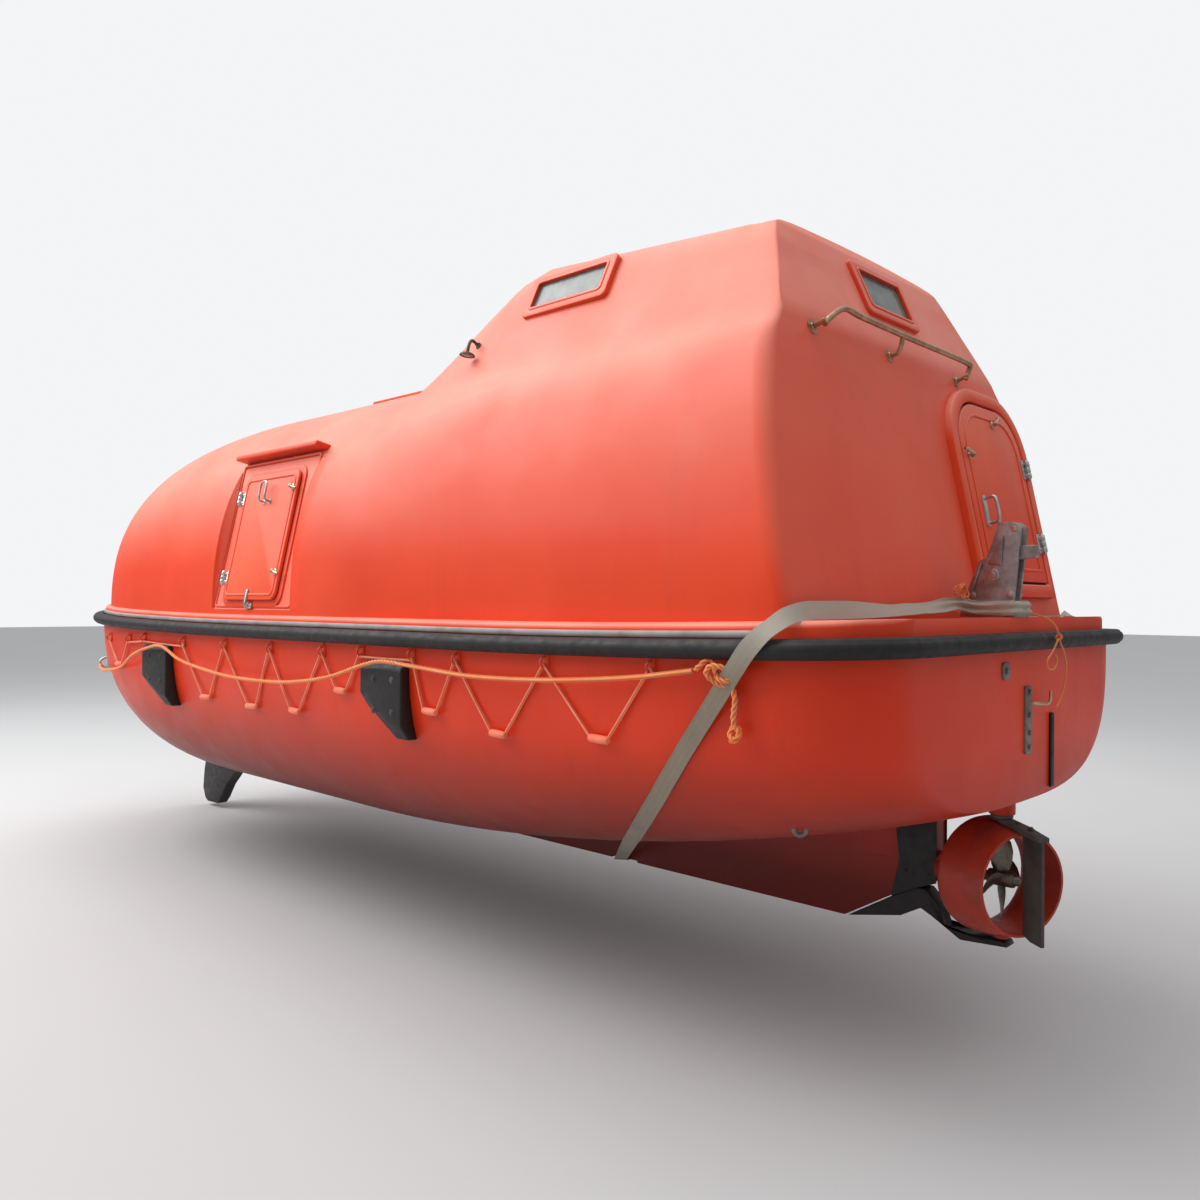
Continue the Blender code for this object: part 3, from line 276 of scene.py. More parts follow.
@dataclass(frozen=True)
class Gelcoat:
    """Glossy coloured gelcoat over laminate, weathered by sun and spray, with painted shade below and a
    painted highlight on top.
    """

    name: str
    bright: Colour = (0.82, 0.062, 0.014)
    deep: Colour = (0.72, 0.046, 0.010)
    chalk: Colour = (0.84, 0.17, 0.09)
    grime: Colour = (0.20, 0.030, 0.018)
    # Painted shade: the near-black that the hull darkens to towards the keel.
    keel: Colour = (0.10, 0.006, 0.004)
    # Painted highlight on upward faces: its colour, how much of it, and the slope it starts at.
    pale: Colour = (0.96, 0.40, 0.30)
    lightened: float = 0.66
    highlight_from: float = 0.10
    chalking: float = 0.10
    grimy: float = 0.30
    gloss: float = 0.40
    waves: float = 0.0025

    def make(self) -> Material:
        """Builds the material.

        Returns:
            The material.
        """
        s = Shades(self.name)
        body = s.blend(s.span(s.noise(0.9, 3.0), 0.35, 0.65), self.deep, self.bright)
        fade = s.span(s.noise(2.3, 6.0, 0.6, (1.0, 1.0, 0.35)), 0.50, 0.80, 0.0, self.chalking)
        body = s.blend(fade, body, self.chalk)
        streaks = s.span(s.noise(7.0, 6.0, 0.62, (1.0, 1.0, 0.07)), 0.56, 0.80, 0.0, self.grimy)
        low = s.span(s.axis("Z"), 0.35, -0.75, 0.35, 1.0)
        body = s.blend(s.maths("MULTIPLY", streaks, low), body, self.grime)
        # Painted shade: faces that point down are darkened towards the grime colour.
        under = s.span(s.slope("Z"), -0.25, -0.95, 0.0, 0.45)
        body = s.blend(s.maths("MULTIPLY", under, s.span(s.noise(3.0, 5.0), 0.3, 0.7, 0.35, 1.0)),
                       body, self.grime)
        # Painted shade: darker towards the keel, from z = 0.12 down to z = -0.50.
        body = s.blend(s.span(s.axis("Z"), 0.12, -0.50, 0.0, 0.93), body, self.keel)
        # Painted highlight: upward faces are paled, standing in for the sky's sheen on the gloss.
        above = s.span(s.slope("Z"), self.highlight_from, self.highlight_from + 0.45, 0.0, self.lightened)
        body = s.blend(s.maths("MULTIPLY", above, s.span(s.noise(2.1, 5.0), 0.25, 0.7, 0.6, 1.0)), body,
                       self.pale)
        scuffs = s.span(s.noise(38.0, 8.0, 0.7), 0.60, 0.72, 0.0, 0.07)
        body = s.blend(scuffs, body, self.chalk)
        rough = s.span(s.noise(4.5, 6.0, 0.6), 0.3, 0.75, self.gloss, self.gloss + 0.16)
        s.bump(s.noise(1.7, 2.0, 0.4), 0.02, self.waves * 60)
        s.bump(s.noise(420.0, 2.0, 0.5), 0.0004, 0.25)
        return s.give(Base_Color=body, Roughness=rough, Coat_Weight=0.06, Coat_Roughness=0.15,
                      Specular_IOR_Level=0.24)


@dataclass(frozen=True)
class Rubber:
    """Moulded rubber with dust in its pores."""

    name: str
    base: Colour = (0.010, 0.008, 0.008)
    dust: Colour = (0.045, 0.034, 0.030)
    dusty: float = 0.25
    rough: float = 0.52

    def make(self) -> Material:
        """Builds the material.

        Returns:
            The material.
        """
        s = Shades(self.name)
        dust = s.span(s.noise(14.0, 7.0, 0.65), 0.45, 0.75, 0.0, self.dusty)
        above = s.span(s.slope("Z"), -0.1, 0.9, 0.35, 1.0)
        body = s.blend(s.maths("MULTIPLY", dust, above), self.base, self.dust)
        rough = s.span(s.noise(30.0, 5.0), 0.3, 0.7, self.rough, self.rough + 0.22)
        s.bump(s.noise(160.0, 5.0, 0.6), 0.0006, 0.5)
        return s.give(Base_Color=body, Roughness=rough, Specular_IOR_Level=0.42)


@dataclass(frozen=True)
class Metal:
    """Bare or plated metal, dulled and stained in places."""

    name: str
    base: Colour = (0.62, 0.62, 0.61)
    dark: Colour = (0.36, 0.35, 0.34)
    stain: Colour = (0.22, 0.10, 0.045)
    stained: float = 0.3
    gloss: float = 0.26
    spread: float = 0.25
    brushed: bool = True

    def make(self) -> Material:
        """Builds the material.

        Returns:
            The material.
        """
        s = Shades(self.name)
        body = s.blend(s.span(s.noise(22.0, 6.0), 0.35, 0.7), self.base, self.dark)
        rust = s.span(s.noise(34.0, 8.0, 0.68), 0.58, 0.74, 0.0, self.stained)
        body = s.blend(rust, body, self.stain)
        rough = s.span(s.noise(55.0, 6.0), 0.3, 0.75, self.gloss, self.gloss + self.spread)
        if self.brushed:
            s.bump(s.noise(240.0, 4.0, 0.6, (0.08, 1.0, 1.0)), 0.0003, 0.35)
        s.bump(s.noise(70.0, 5.0, 0.6), 0.0010, 0.25)
        metal = s.span(rust, 0.0, 1.0, 1.0, 0.25)
        return s.give(Base_Color=body, Roughness=rough, Metallic=metal)


@dataclass(frozen=True)
class Paint:
    """Brushed or sprayed paint, chipped and dirty in patches."""

    name: str
    base: Colour
    worn: Colour
    grime: Colour = (0.05, 0.035, 0.03)
    wear: float = 0.25
    grimy: float = 0.5
    rough: float = 0.42

    def make(self) -> Material:
        """Builds the material.

        Returns:
            The material.
        """
        s = Shades(self.name)
        body = s.blend(s.span(s.noise(6.0, 5.0), 0.4, 0.7, 0.0, 0.6), self.base, self.worn)
        body = s.blend(s.span(s.noise(42.0, 8.0, 0.7), 0.62, 0.70, 0.0, self.wear), body, self.worn)
        body = s.blend(s.span(s.noise(9.0, 7.0, 0.62), 0.50, 0.78, 0.0, self.grimy), body, self.grime)
        rough = s.span(s.noise(26.0, 6.0), 0.3, 0.7, self.rough, self.rough + 0.25)
        s.bump(s.noise(120.0, 4.0, 0.55), 0.0006, 0.4)
        return s.give(Base_Color=body, Roughness=rough)


@dataclass(frozen=True)
class Webbing:
    """Woven webbing, read from the band's own map: U across it, V along it, in metres."""

    name: str
    warp: Colour = (0.33, 0.27, 0.19)
    weft: Colour = (0.19, 0.15, 0.105)
    soil: Colour = (0.11, 0.085, 0.06)
    lightened: Colour = (0.56, 0.50, 0.43)
    pitch: float = 0.0042

    def make(self) -> Material:
        """Builds the material.

        Returns:
            The material.
        """
        s = Shades(self.name)
        turns = 2 * math.pi / self.pitch
        across = s.maths("SINE", s.maths("MULTIPLY", s.axis("X", True), turns), 0.0)
        along = s.maths("SINE", s.maths("MULTIPLY", s.axis("Y", True), turns * 0.7), 0.0)
        weave = s.span(s.maths("MULTIPLY", across, along), -1.0, 1.0)
        body = s.blend(weave, self.weft, self.warp)
        lanes = s.span(s.maths("SINE", s.maths("MULTIPLY", s.axis("X", True), 2 * math.pi / 0.0195), 0.0),
                       0.55, 0.95, 0.0, 0.35)
        body = s.blend(lanes, body, self.weft)
        body = s.blend(s.span(s.noise(5.0, 7.0, 0.62), 0.45, 0.8, 0.0, 0.6), body, self.soil)
        body = s.blend(s.span(s.axis("Z"), 0.36, 0.50, 0.0, 0.55), body, self.lightened)
        fray = s.noise(300.0, 5.0, 0.7)
        s.bump(weave, 0.0009, 0.9)
        s.bump(fray, 0.0006, 0.4)
        return s.give(Base_Color=body, Roughness=0.86, Sheen_Weight=0.25, Sheen_Roughness=0.5)


@dataclass(frozen=True)
class Yarn:
    """Laid fibre rope, with painted shade in its strands' hollows."""

    name: str
    fibre: Colour
    faded: Colour
    hollow_shade: Colour

    def make(self) -> Material:
        """Builds the material.

        Returns:
            The material.
        """
        s = Shades(self.name)
        body = s.blend(s.span(s.noise(11.0, 6.0), 0.35, 0.7), self.fibre, self.faded)
        strand = s.node("ShaderNodeAttribute", attribute_name="strand")
        # Painted shade: darker where the strand attribute marks a hollow between strands.
        deep = s.span(strand.outputs["Fac"], 0.0, 0.75, 0.75, 0.0)
        body = s.blend(deep, body, self.hollow_shade)
        hair = s.noise(520.0, 6.0, 0.7)
        body = s.blend(s.span(hair, 0.45, 0.75, 0.0, 0.3), body, self.faded)
        s.bump(hair, 0.0010, 0.6)
        return s.give(Base_Color=body, Roughness=0.78, Sheen_Weight=0.3)


@dataclass(frozen=True)
class Pane:
    """A thick clear tinted pane with a film of dust."""

    name: str
    tint: Colour = (0.10, 0.120, 0.11)
    film: Colour = (0.36, 0.40, 0.37)
    clear: float = 0.25

    def make(self) -> Material:
        """Builds the material.

        Returns:
            The material.
        """
        s = Shades(self.name)
        film = s.span(s.noise(9.0, 7.0, 0.62), 0.3, 0.8, 0.0, 0.8)
        body = s.blend(film, self.tint, self.film)
        rough = s.span(s.noise(16.0, 6.0), 0.3, 0.8, 0.16, 0.34)
        return s.give(Base_Color=body, Roughness=rough, Transmission_Weight=self.clear, IOR=1.45)


class Finishes:
    """Every finish on the boat, made once."""

    def __init__(self) -> None:
        """Makes the materials."""
        self.canopy = Gelcoat("canopy_gelcoat").make()
        self.hull = Gelcoat("hull_gelcoat", bright=(0.78, 0.046, 0.008), deep=(0.66, 0.034, 0.006),
                            highlight_from=0.5, chalking=0.05, grimy=0.40, gloss=0.36).make()
        self.lid = Gelcoat("lid_gelcoat", bright=(0.84, 0.085, 0.022), chalking=0.28).make()
        self.rubber = Rubber("fender_rubber").make()
        self.black = Rubber("block_black", dusty=0.28, rough=0.42).make()
        self.gasket = Rubber("gasket_rubber", dusty=0.3, rough=0.6).make()
        self.steel = Metal("fitting_steel").make()
        self.chrome = Metal("hinge_chrome", base=(0.86, 0.86, 0.86), dark=(0.62, 0.61, 0.60),
                            stained=0.12, gloss=0.12, spread=0.14, brushed=False).make()
        self.hook = Metal("hook_steel", base=(0.44, 0.37, 0.365), dark=(0.24, 0.195, 0.19),
                          stain=(0.20, 0.075, 0.04), stained=0.6, gloss=0.40, brushed=False).make()
        self.brass = Metal("dog_brass", base=(0.66, 0.52, 0.34), dark=(0.40, 0.32, 0.24),
                           stained=0.15, gloss=0.3, brushed=False).make()
        self.rail = Metal("rail_bronze", base=(0.56, 0.36, 0.22), dark=(0.30, 0.17, 0.11),
                          stain=(0.30, 0.06, 0.03), stained=0.35, gloss=0.34, brushed=False).make()
        self.worn = Metal("worn_steel", base=(0.30, 0.29, 0.26), dark=(0.17, 0.155, 0.14),
                          stained=0.5, gloss=0.42).make()
        self.bronze = Metal("propeller_bronze", base=(0.24, 0.21, 0.16), dark=(0.11, 0.10, 0.08),
                            stain=(0.10, 0.13, 0.10), stained=0.6, gloss=0.34, brushed=False).make()
        self.dark_steel = Paint("dark_steel", (0.040, 0.034, 0.034), (0.16, 0.12, 0.10), rough=0.5).make()
        self.lamp = Paint("lamp_enamel", (0.035, 0.026, 0.026), (0.20, 0.17, 0.16), wear=0.25,
                          rough=0.4).make()
        self.nozzle = Paint("nozzle_paint", (0.46, 0.034, 0.014), (0.34, 0.05, 0.03), rough=0.36).make()
        self.strip = Paint("strip_vinyl", (0.40, 0.37, 0.36), (0.28, 0.25, 0.24), wear=0.2,
                           grimy=0.45, rough=0.5).make()
        self.pad = Paint("deck_pad", (0.30, 0.30, 0.30), (0.20, 0.20, 0.20), wear=0.3, grimy=0.4,
                         rough=0.8).make()
        self.engine = Paint("engine_enamel", (0.16, 0.21, 0.20), (0.25, 0.26, 0.24)).make()
        self.console = Paint("console_gelcoat", (0.56, 0.57, 0.55), (0.44, 0.45, 0.43), rough=0.3).make()
        self.vinyl = Rubber("seat_vinyl", base=(0.03, 0.03, 0.034), dusty=0.25, rough=0.45).make()
        self.webbing = Webbing("strap_webbing").make()
        self.painter = Yarn("painter_yarn", (0.98, 0.24, 0.030), (1.0, 0.36, 0.11),
                            (0.45, 0.06, 0.01)).make()
        self.lifeline = Yarn("lifeline_yarn", (1.0, 0.22, 0.085), (1.0, 0.40, 0.24),
                             (0.72, 0.10, 0.035)).make()
        self.float = Paint("float_foam", (0.96, 0.19, 0.09), (0.98, 0.36, 0.24), grimy=0.25,
                           rough=0.5).make()
        self.pane = Pane("window_pane").make()
        self.lens = Pane("lamp_lens", tint=(0.75, 0.75, 0.72), clear=0.7).make()


# Shaping


def frame_at(place: Sequence[float], across: Sequence[float], up: Sequence[float]) -> Matrix:
    """A local frame: X across, Y up, Z out of the surface.

    Args:
        place: The frame's origin.
        across: Its X direction.
        up: Roughly its Y direction.

    Returns:
        The matrix from the frame to the boat.
    """
    x = Vector(across).normalized()
    y = Vector(up)
    y = (y - x * y.dot(x)).normalized()
    matrix = Matrix((x, y, x.cross(y))).transposed().to_4x4()
    matrix.translation = place
    return matrix


def on_skin(point: Vector, out: Vector) -> Matrix:
    """A local frame on a skin: Z out of it and Y upwards.

    Args:
        point: The place.
        out: The skin's outward direction.

    Returns:
        The frame.
    """
    at = frame_at(point, out.cross(Z_AXIS), Z_AXIS)
    return at @ turn(180, "Y") if at.to_3x3().col[2].dot(out) < 0 else at


def shift(x: float = 0.0, y: float = 0.0, z: float = 0.0) -> Matrix:
    """A move."""
    return Matrix.Translation((x, y, z))


def turn(degrees: float, axis: str) -> Matrix:
    """A turn about one axis."""
    return Matrix.Rotation(math.radians(degrees), 4, axis)


def corners(geom: Iterable[object]) -> list[bmesh.types.BMVert]:
    """The vertices among what an operator made."""
    return [g for g in geom if isinstance(g, bmesh.types.BMVert)]


def show(obj: Piece) -> Piece:
    """Adds an object to the scene."""
    bpy.context.scene.collection.objects.link(obj)
    return obj


def evaluated(obj: Piece) -> Mesh:
    """An object's mesh with its modifiers applied."""
    return bpy.data.meshes.new_from_object(obj.evaluated_get(bpy.context.evaluated_depsgraph_get()))


def rounded(bm: Shape, edges: Iterable[bmesh.types.BMEdge], radius: float, segments: int) -> None:
    """Rounds edges with the bevel operator.

    Args:
        bm: The shape.
        edges: Its edges to round.
        radius: Their radius.
        segments: Steps across each.
    """
    edges = list(edges)
    if radius > 0 and edges:
        bmesh.ops.bevel(bm, geom=edges, offset=radius, offset_type="OFFSET", affect="EDGES",
                        segments=segments, profile=0.5, material=-1, clamp_overlap=True)


def block(size: Sequence[float], edge: float = 0.0, segments: int = 2) -> Shape:
    """A block about its middle, with rounded edges.

    Args:
        size: Its three sizes.
        edge: The edges' radius.
        segments: Steps across each edge.

    Returns:
        The block.
    """
    bm = bmesh.new()
    made = bmesh.ops.create_cube(bm, size=1.0)["verts"]
    bmesh.ops.scale(bm, vec=size, verts=made)
    rounded(bm, bm.edges, edge, segments)
    return bm


def slab(width: float, height: float, thick: float, corner: float, edge: float = 0.002,
         segments: int = 5) -> Shape:
    """A plate with rounded corners, from z = 0 up to its rounded outer face.

    Args:
        width: Size along X.
        height: Size along Y.
        thick: Size along Z.
        corner: Radius of the four corners.
        edge: Radius of the outer face's edge.
        segments: Steps round each corner.

    Returns:
        The plate.
    """
    bm = bmesh.new()
    made = bmesh.ops.create_cube(bm, size=1.0)["verts"]
    bmesh.ops.scale(bm, vec=(width, height, thick), verts=made)
    bmesh.ops.translate(bm, vec=(0, 0, thick / 2), verts=made)
    upright = [e for e in bm.edges if abs(e.verts[0].co.z - e.verts[1].co.z) > thick / 2]
    rounded(bm, upright, corner, segments)
    top = [e for e in bm.edges if all(v.co.z > thick - 1e-6 for v in e.verts) and len(e.link_faces) == 2
           and any(f.normal.z < 0.5 for f in e.link_faces)]
    rounded(bm, top, edge, 2)
    return bm


def drum(radius: float, length: float, edge: float = 0.0, sides: int = 32,
         tip: float | None = None) -> Shape:
    """A round bar or cone from z = 0, its ends rounded.

    Args:
        radius: Its radius.
        length: Its length.
        edge: The radius at its ends.
        sides: Steps round it.
        tip: The far end's radius, where it is a cone.

    Returns:
        The bar.
    """
    bm = bmesh.new()
    bmesh.ops.create_cone(bm, cap_ends=True, segments=sides, radius1=radius,
                          radius2=radius if tip is None else tip, depth=length)
    bmesh.ops.translate(bm, vec=(0, 0, length / 2), verts=bm.verts)
    ends = [e for e in bm.edges if abs(e.verts[0].co.z - e.verts[1].co.z) < 1e-7]
    rounded(bm, ends, edge, 2)
    return bm


def spun(bm: Shape, angle: float, steps: int, whole: bool = True) -> None:
    """Turns all of an outline about Z.

    Args:
        bm: The outline.
        angle: How far it turns, in radians.
        steps: In how many steps.
        whole: Join the last step to the first.
    """
    bmesh.ops.spin(bm, geom=list(bm.verts) + list(bm.edges) + list(bm.faces), cent=(0, 0, 0), axis=(0, 0, 1),
                   dvec=(0, 0, 0), angle=angle, steps=steps, use_merge=whole, use_normal_flip=False,
                   use_duplicate=False)


def spindle(profile: Sequence[Flat], steps: int = 32) -> Shape:
    """A turned shape about Z from a closed or axis-to-axis profile of (radius, z).

    Args:
        profile: Radius and height of each point.
        steps: Steps round it.

    Returns:
        The turned shape.
    """
    bm = bmesh.new()
    verts = [bm.verts.new((r, 0.0, z)) for r, z in profile]
    for first, second in zip(verts, verts[1:]):
        bm.edges.new((first, second))
    if profile[0][0] > 1e-6 or profile[-1][0] > 1e-6:
        bm.edges.new((verts[-1], verts[0]))
    spun(bm, 2 * math.pi, steps)
    bmesh.ops.remove_doubles(bm, verts=bm.verts, dist=1e-6)
    bmesh.ops.recalc_face_normals(bm, faces=bm.faces)
    return bm


def hoop(radius: float, bar: float, steps: int = 32, sides: int = 10, arc: float = 360.0) -> Shape:
    """A round bar bent to a ring about Z, or to part of one that starts on X.

    Args:
        radius: The ring's radius.
        bar: The bar's radius.
        steps: Steps round the ring.
        sides: Steps round the bar.
        arc: How much of a ring it is, in degrees.

    Returns:
        The hoop.
    """
    bm = bmesh.new()
    bmesh.ops.create_circle(bm, segments=sides, radius=bar, matrix=shift(radius) @ turn(90, "X"))
    whole = arc > 359.9
    if not whole:
        bmesh.ops.contextual_create(bm, geom=list(bm.edges))
    spun(bm, math.radians(arc), steps, whole)
    if not whole:
        first = [v for v in bm.verts if abs(v.co.y) < 1e-6 and v.co.x > 0]
        if not any(all(v in first for v in f.verts) for f in bm.faces):
            ring = [e for e in bm.edges if all(v in first for v in e.verts)]
            bmesh.ops.contextual_create(bm, geom=ring)
    bmesh.ops.recalc_face_normals(bm, faces=bm.faces)
    return bm


def loft(rings: Sequence[Sequence[Point]], ends: bool = True, closed: bool = False) -> Shape:
    """A skin through closed sections, extruded from each to the next.

    Args:
        rings: The sections, each with as many points.
        ends: Close both ends with a face.
        closed: Join the last section to the first.

    Returns:
        The skin.
    """
    bm = bmesh.new()
    verts = [bm.verts.new(p) for p in rings[0]]
    edges = [bm.edges.new((verts[i - 1], verts[i])) for i in range(len(verts))]
    first = list(edges)
    for ring in rings[1:]:
        made = bmesh.ops.extrude_edge_only(bm, edges=edges)["geom"]
        new = set(corners(made))
        after = [next(e.other_vert(v) for e in v.link_edges if e.other_vert(v) in new) for v in verts]
        for vert, place in zip(after, ring):
            vert.co = place
        edges = [bm.edges.get((after[i - 1], after[i])) for i in range(len(after))]
        verts = after
    if closed:
        bmesh.ops.bridge_loops(bm, edges=edges + first)
    elif ends:
        bmesh.ops.contextual_create(bm, geom=first)
        bmesh.ops.contextual_create(bm, geom=edges)
    bmesh.ops.remove_doubles(bm, verts=bm.verts, dist=1e-6)
    bmesh.ops.recalc_face_normals(bm, faces=bm.faces)
    return bm


def outline_plate(points: Sequence[Flat], low: float, high: float, edge: float = 0.0,
                  segments: int = 2) -> Shape:
    """A plate of any outline in X and Y, extruded from low to high in Z, its edges rounded.

    Args:
        points: The outline.
        low: The underside's height.
        high: The top's height.
        edge: The edges' radius.
        segments: Steps across each edge.

    Returns:
        The plate.
    """
    bm = bmesh.new()
    verts = [bm.verts.new((x, y, low)) for x, y in points]
    face = bm.faces.new(verts)
    made = bmesh.ops.extrude_face_region(bm, geom=[face])["geom"]
    bmesh.ops.translate(bm, vec=(0, 0, high - low), verts=corners(made))
    bmesh.ops.recalc_face_normals(bm, faces=bm.faces)
    sharp = [e for e in bm.edges if e.calc_face_angle(0.0) > 0.5]
    rounded(bm, sharp, edge, segments)
    return bm


def rounded_points(width: float, height: float, radius: float, steps: int = 5,
                   centre: Flat = (0.0, 0.0)) -> list[Flat]:
    """The outline of a rectangle with rounded corners.

    Args:
        width: Size along X.
        height: Size along Y.
        radius: The corners' radius.
        steps: Steps round each corner.
        centre: Its middle.

    Returns:
        The outline's points.
    """
    points = []
    for quadrant, (sx, sy) in enumerate(((1, 1), (-1, 1), (-1, -1), (1, -1))):
        for step in range(steps + 1):
            angle = math.pi / 2 * (quadrant + step / steps)
            points.append((centre[0] + sx * (width / 2 - radius) + radius * math.cos(angle),
                           centre[1] + sy * (height / 2 - radius) + radius * math.sin(angle)))
    return points


def rounded_pair(width: float, height: float, radius: float, band: float, steps: int = 5,
                 centre: Flat = (0.0, 0.0)) -> tuple[list, list]:
    """The outer and inner outlines of a rounded rectangle's border."""
    return (rounded_points(width, height, radius, steps, centre),
            rounded_points(width - 2 * band, height - 2 * band, max(radius - band, 0.006), steps, centre))


def border(outlines: tuple[Sequence, Sequence], low: float, high: float, edge: float = 0.0) -> Shape:
    """A flat border between two outlines of as many points, with rounded edges.

    Args:
        outlines: The outer and the inner outline in X and Y.
        low: Its underside's height.
        high: Its top's height.
        edge: The radius of its edges.

    Returns:
        The border.
    """
    bm = bmesh.new()
    loops = []
    for outline in outlines:
        verts = [bm.verts.new((x, y, low)) for x, y in outline]
        loops.append(verts)
        for first, second in zip(verts, verts[1:] + verts[:1]):
            bm.edges.new((first, second))
    bmesh.ops.bridge_loops(bm, edges=list(bm.edges))
    made = bmesh.ops.extrude_face_region(bm, geom=list(bm.faces))["geom"]
    bmesh.ops.translate(bm, vec=(0, 0, high - low), verts=corners(made))
    bmesh.ops.recalc_face_normals(bm, faces=bm.faces)
    sharp = [e for e in bm.edges if e.calc_face_angle(0.0) > 0.9]
    rounded(bm, sharp, edge, 2)
    return bm


def to_mesh(bm: Shape, name: str = "form") -> Mesh:
    """Turns a shape into a mesh and uses it up.

    Args:
        bm: The shape.
        name: The mesh's name.

    Returns:
        The mesh.
    """
    mesh = bpy.data.meshes.new(name)
    bm.to_mesh(mesh)
    bm.free()
    return mesh


def carve(mesh: Mesh, cutters: Sequence[Shape]) -> Mesh:
    """Cuts shapes out of a mesh.

    Args:
        mesh: What is cut.
        cutters: The shapes, which may meet one another.

    Returns:
        The cut mesh.
    """
    gathered = Work()
    for cutter in cutters:
        gathered.take(cutter)
    tool = show(bpy.data.objects.new("cutter", to_mesh(gathered.bm)))
    target = show(bpy.data.objects.new("target", mesh))
    cut = target.modifiers.new("cut", "BOOLEAN")
    cut.operation = "DIFFERENCE"
    cut.solver = "EXACT"
    cut.object = tool
    bpy.context.view_layer.update()
    made = evaluated(target)
    bpy.data.objects.remove(target)
    bpy.data.objects.remove(tool)
    return made


def lend_normals(mesh: Mesh, smooth: Mesh, reach: float = 0.0008) -> None:
    """Shades a cut mesh with the directions of the uncut, smooth form it came from.

    Args:
        mesh: The cut mesh.
        smooth: The uncut one.
        reach: How far apart the two may be.
    """
    bm = bmesh.new()
    bm.from_mesh(smooth)
    bmesh.ops.triangulate(bm, faces=bm.faces)
    bm.normal_update()
    bm.faces.ensure_lookup_table()
    tree = BVHTree.FromBMesh(bm)
    normals = [Vector(n.vector) for n in mesh.corner_normals]
    for face in mesh.polygons:
        for i in face.loop_indices:
            place = mesh.vertices[mesh.loops[i].vertex_index].co
            point, normal, at, away = tree.find_nearest(place)
            if away > reach or normal.dot(face.normal) < 0.94:
                continue
            corners = bm.faces[at].verts
            if max(c.normal.angle(normal, 9.0) for c in corners) > 0.45:
                continue
            weights = poly_3d_calc([c.co for c in corners], point)
            normals[i] = sum((c.normal * w for c, w in zip(corners, weights)), Vector()).normalized()
    bm.free()
    mesh.normals_split_custom_set(normals)


def between(given: np.ndarray, i: int, t: float) -> np.ndarray:
    """A place on the smooth curve through some points, by a share of the way on from one of them.

    Args:
        given: The points.
        i: The point before it.
        t: The share of the way to the next one.

    Returns:
        The place.
    """
    before, start, end, after = given[i - 1:i + 3]
    return 0.5 * (2 * start + (end - before) * t + (2 * before - 5 * start + 4 * end - after) * t ** 2
                  + (3 * start - before - 3 * end + after) * t ** 3)


def travelled(points: np.ndarray) -> np.ndarray:
    """How far along a line of points each of them is."""
    return np.concatenate([[0], np.cumsum(np.linalg.norm(np.diff(points, axis=0), axis=1))])


def spaced(points: np.ndarray, at: np.ndarray, wanted: np.ndarray) -> np.ndarray:
    """Points at the wanted distances, from points whose distances are known.

    Args:
        points: The points.
        at: How far along the line each is.
        wanted: The wanted distances.

    Returns:
        The new points.
    """
    return np.stack([np.interp(wanted, at, points[:, axis]) for axis in range(3)], axis=1)


def smooth_path(points: Sequence[Sequence[float]], count: int) -> np.ndarray:
    """Evenly spaced points on a smooth curve through the given ones.

    Args:
        points: The given points.
        count: How many are wanted.

    Returns:
        The points, one to a row.
    """
    given = np.array(points, float)
    padded = np.vstack([2 * given[0] - given[1], given, 2 * given[-1] - given[-2]])
    fine = []
    for i in range(1, len(padded) - 2):
        fine += [between(padded, i, t) for t in np.linspace(0, 1, 24, endpoint=False)]
    fine = np.array(fine + [padded[-2]])
    at = travelled(fine)
    return spaced(fine, at, np.linspace(0, at[-1], count))


def path_length(path: np.ndarray) -> float:
    """How long a line of points is."""
    return float(np.linalg.norm(np.diff(path, axis=0), axis=1).sum())


def bent_bar(points: Sequence[Sequence[float]], radius: float, sides: int = 12, count: int = 0) -> Shape:
    """A round bar along a line of points.

    Args:
        points: The line's corners.
        radius: The bar's radius.
        sides: Steps round the bar.
        count: Points to smooth the line to, or 0 to keep its corners.

    Returns:
        The bar, with closed ends.
    """
    line = [Vector(p) for p in (smooth_path(points, count) if count else points)]
    bm = bmesh.new()
    along = (line[1] - line[0]).normalized()
    facing = along.to_track_quat("Z", "Y")
    ring = bmesh.ops.create_circle(bm, segments=sides, radius=radius,
                                   matrix=Matrix.Translation(line[0]) @ facing.to_matrix().to_4x4())["verts"]
    bmesh.ops.contextual_create(bm, geom=ring)
    edges = list(bm.edges)
    for i in range(1, len(line)):
        made = bmesh.ops.extrude_edge_only(bm, edges=edges)["geom"]
        verts = corners(made)
        edges = [g for g in made if isinstance(g, bmesh.types.BMEdge) and all(v in verts for v in g.verts)]
        after = (line[min(i + 1, len(line) - 1)] - line[i - 1]).normalized()
        swing = along.rotation_difference(after)
        matrix = Matrix.Translation(line[i]) @ swing.to_matrix().to_4x4() @ Matrix.Translation(-line[i - 1])
        bmesh.ops.transform(bm, matrix=matrix, verts=verts)
        along = after
    bmesh.ops.contextual_create(bm, geom=edges)
    bmesh.ops.recalc_face_normals(bm, faces=bm.faces)
    return bm


def bolt(radius: float = 0.008, height: float = 0.006) -> Shape:
    """A hexagonal bolt head on its washer, from z = 0.

    Args:
        radius: The head's radius.
        height: The head's height.

    Returns:
        The bolt head.
    """
    work = Work()
    work.take(drum(radius * 1.55, height * 0.3, height * 0.08, 24))
    work.take(drum(radius, height, height * 0.12, 6), shift(0, 0, height * 0.28))
    return work.bm


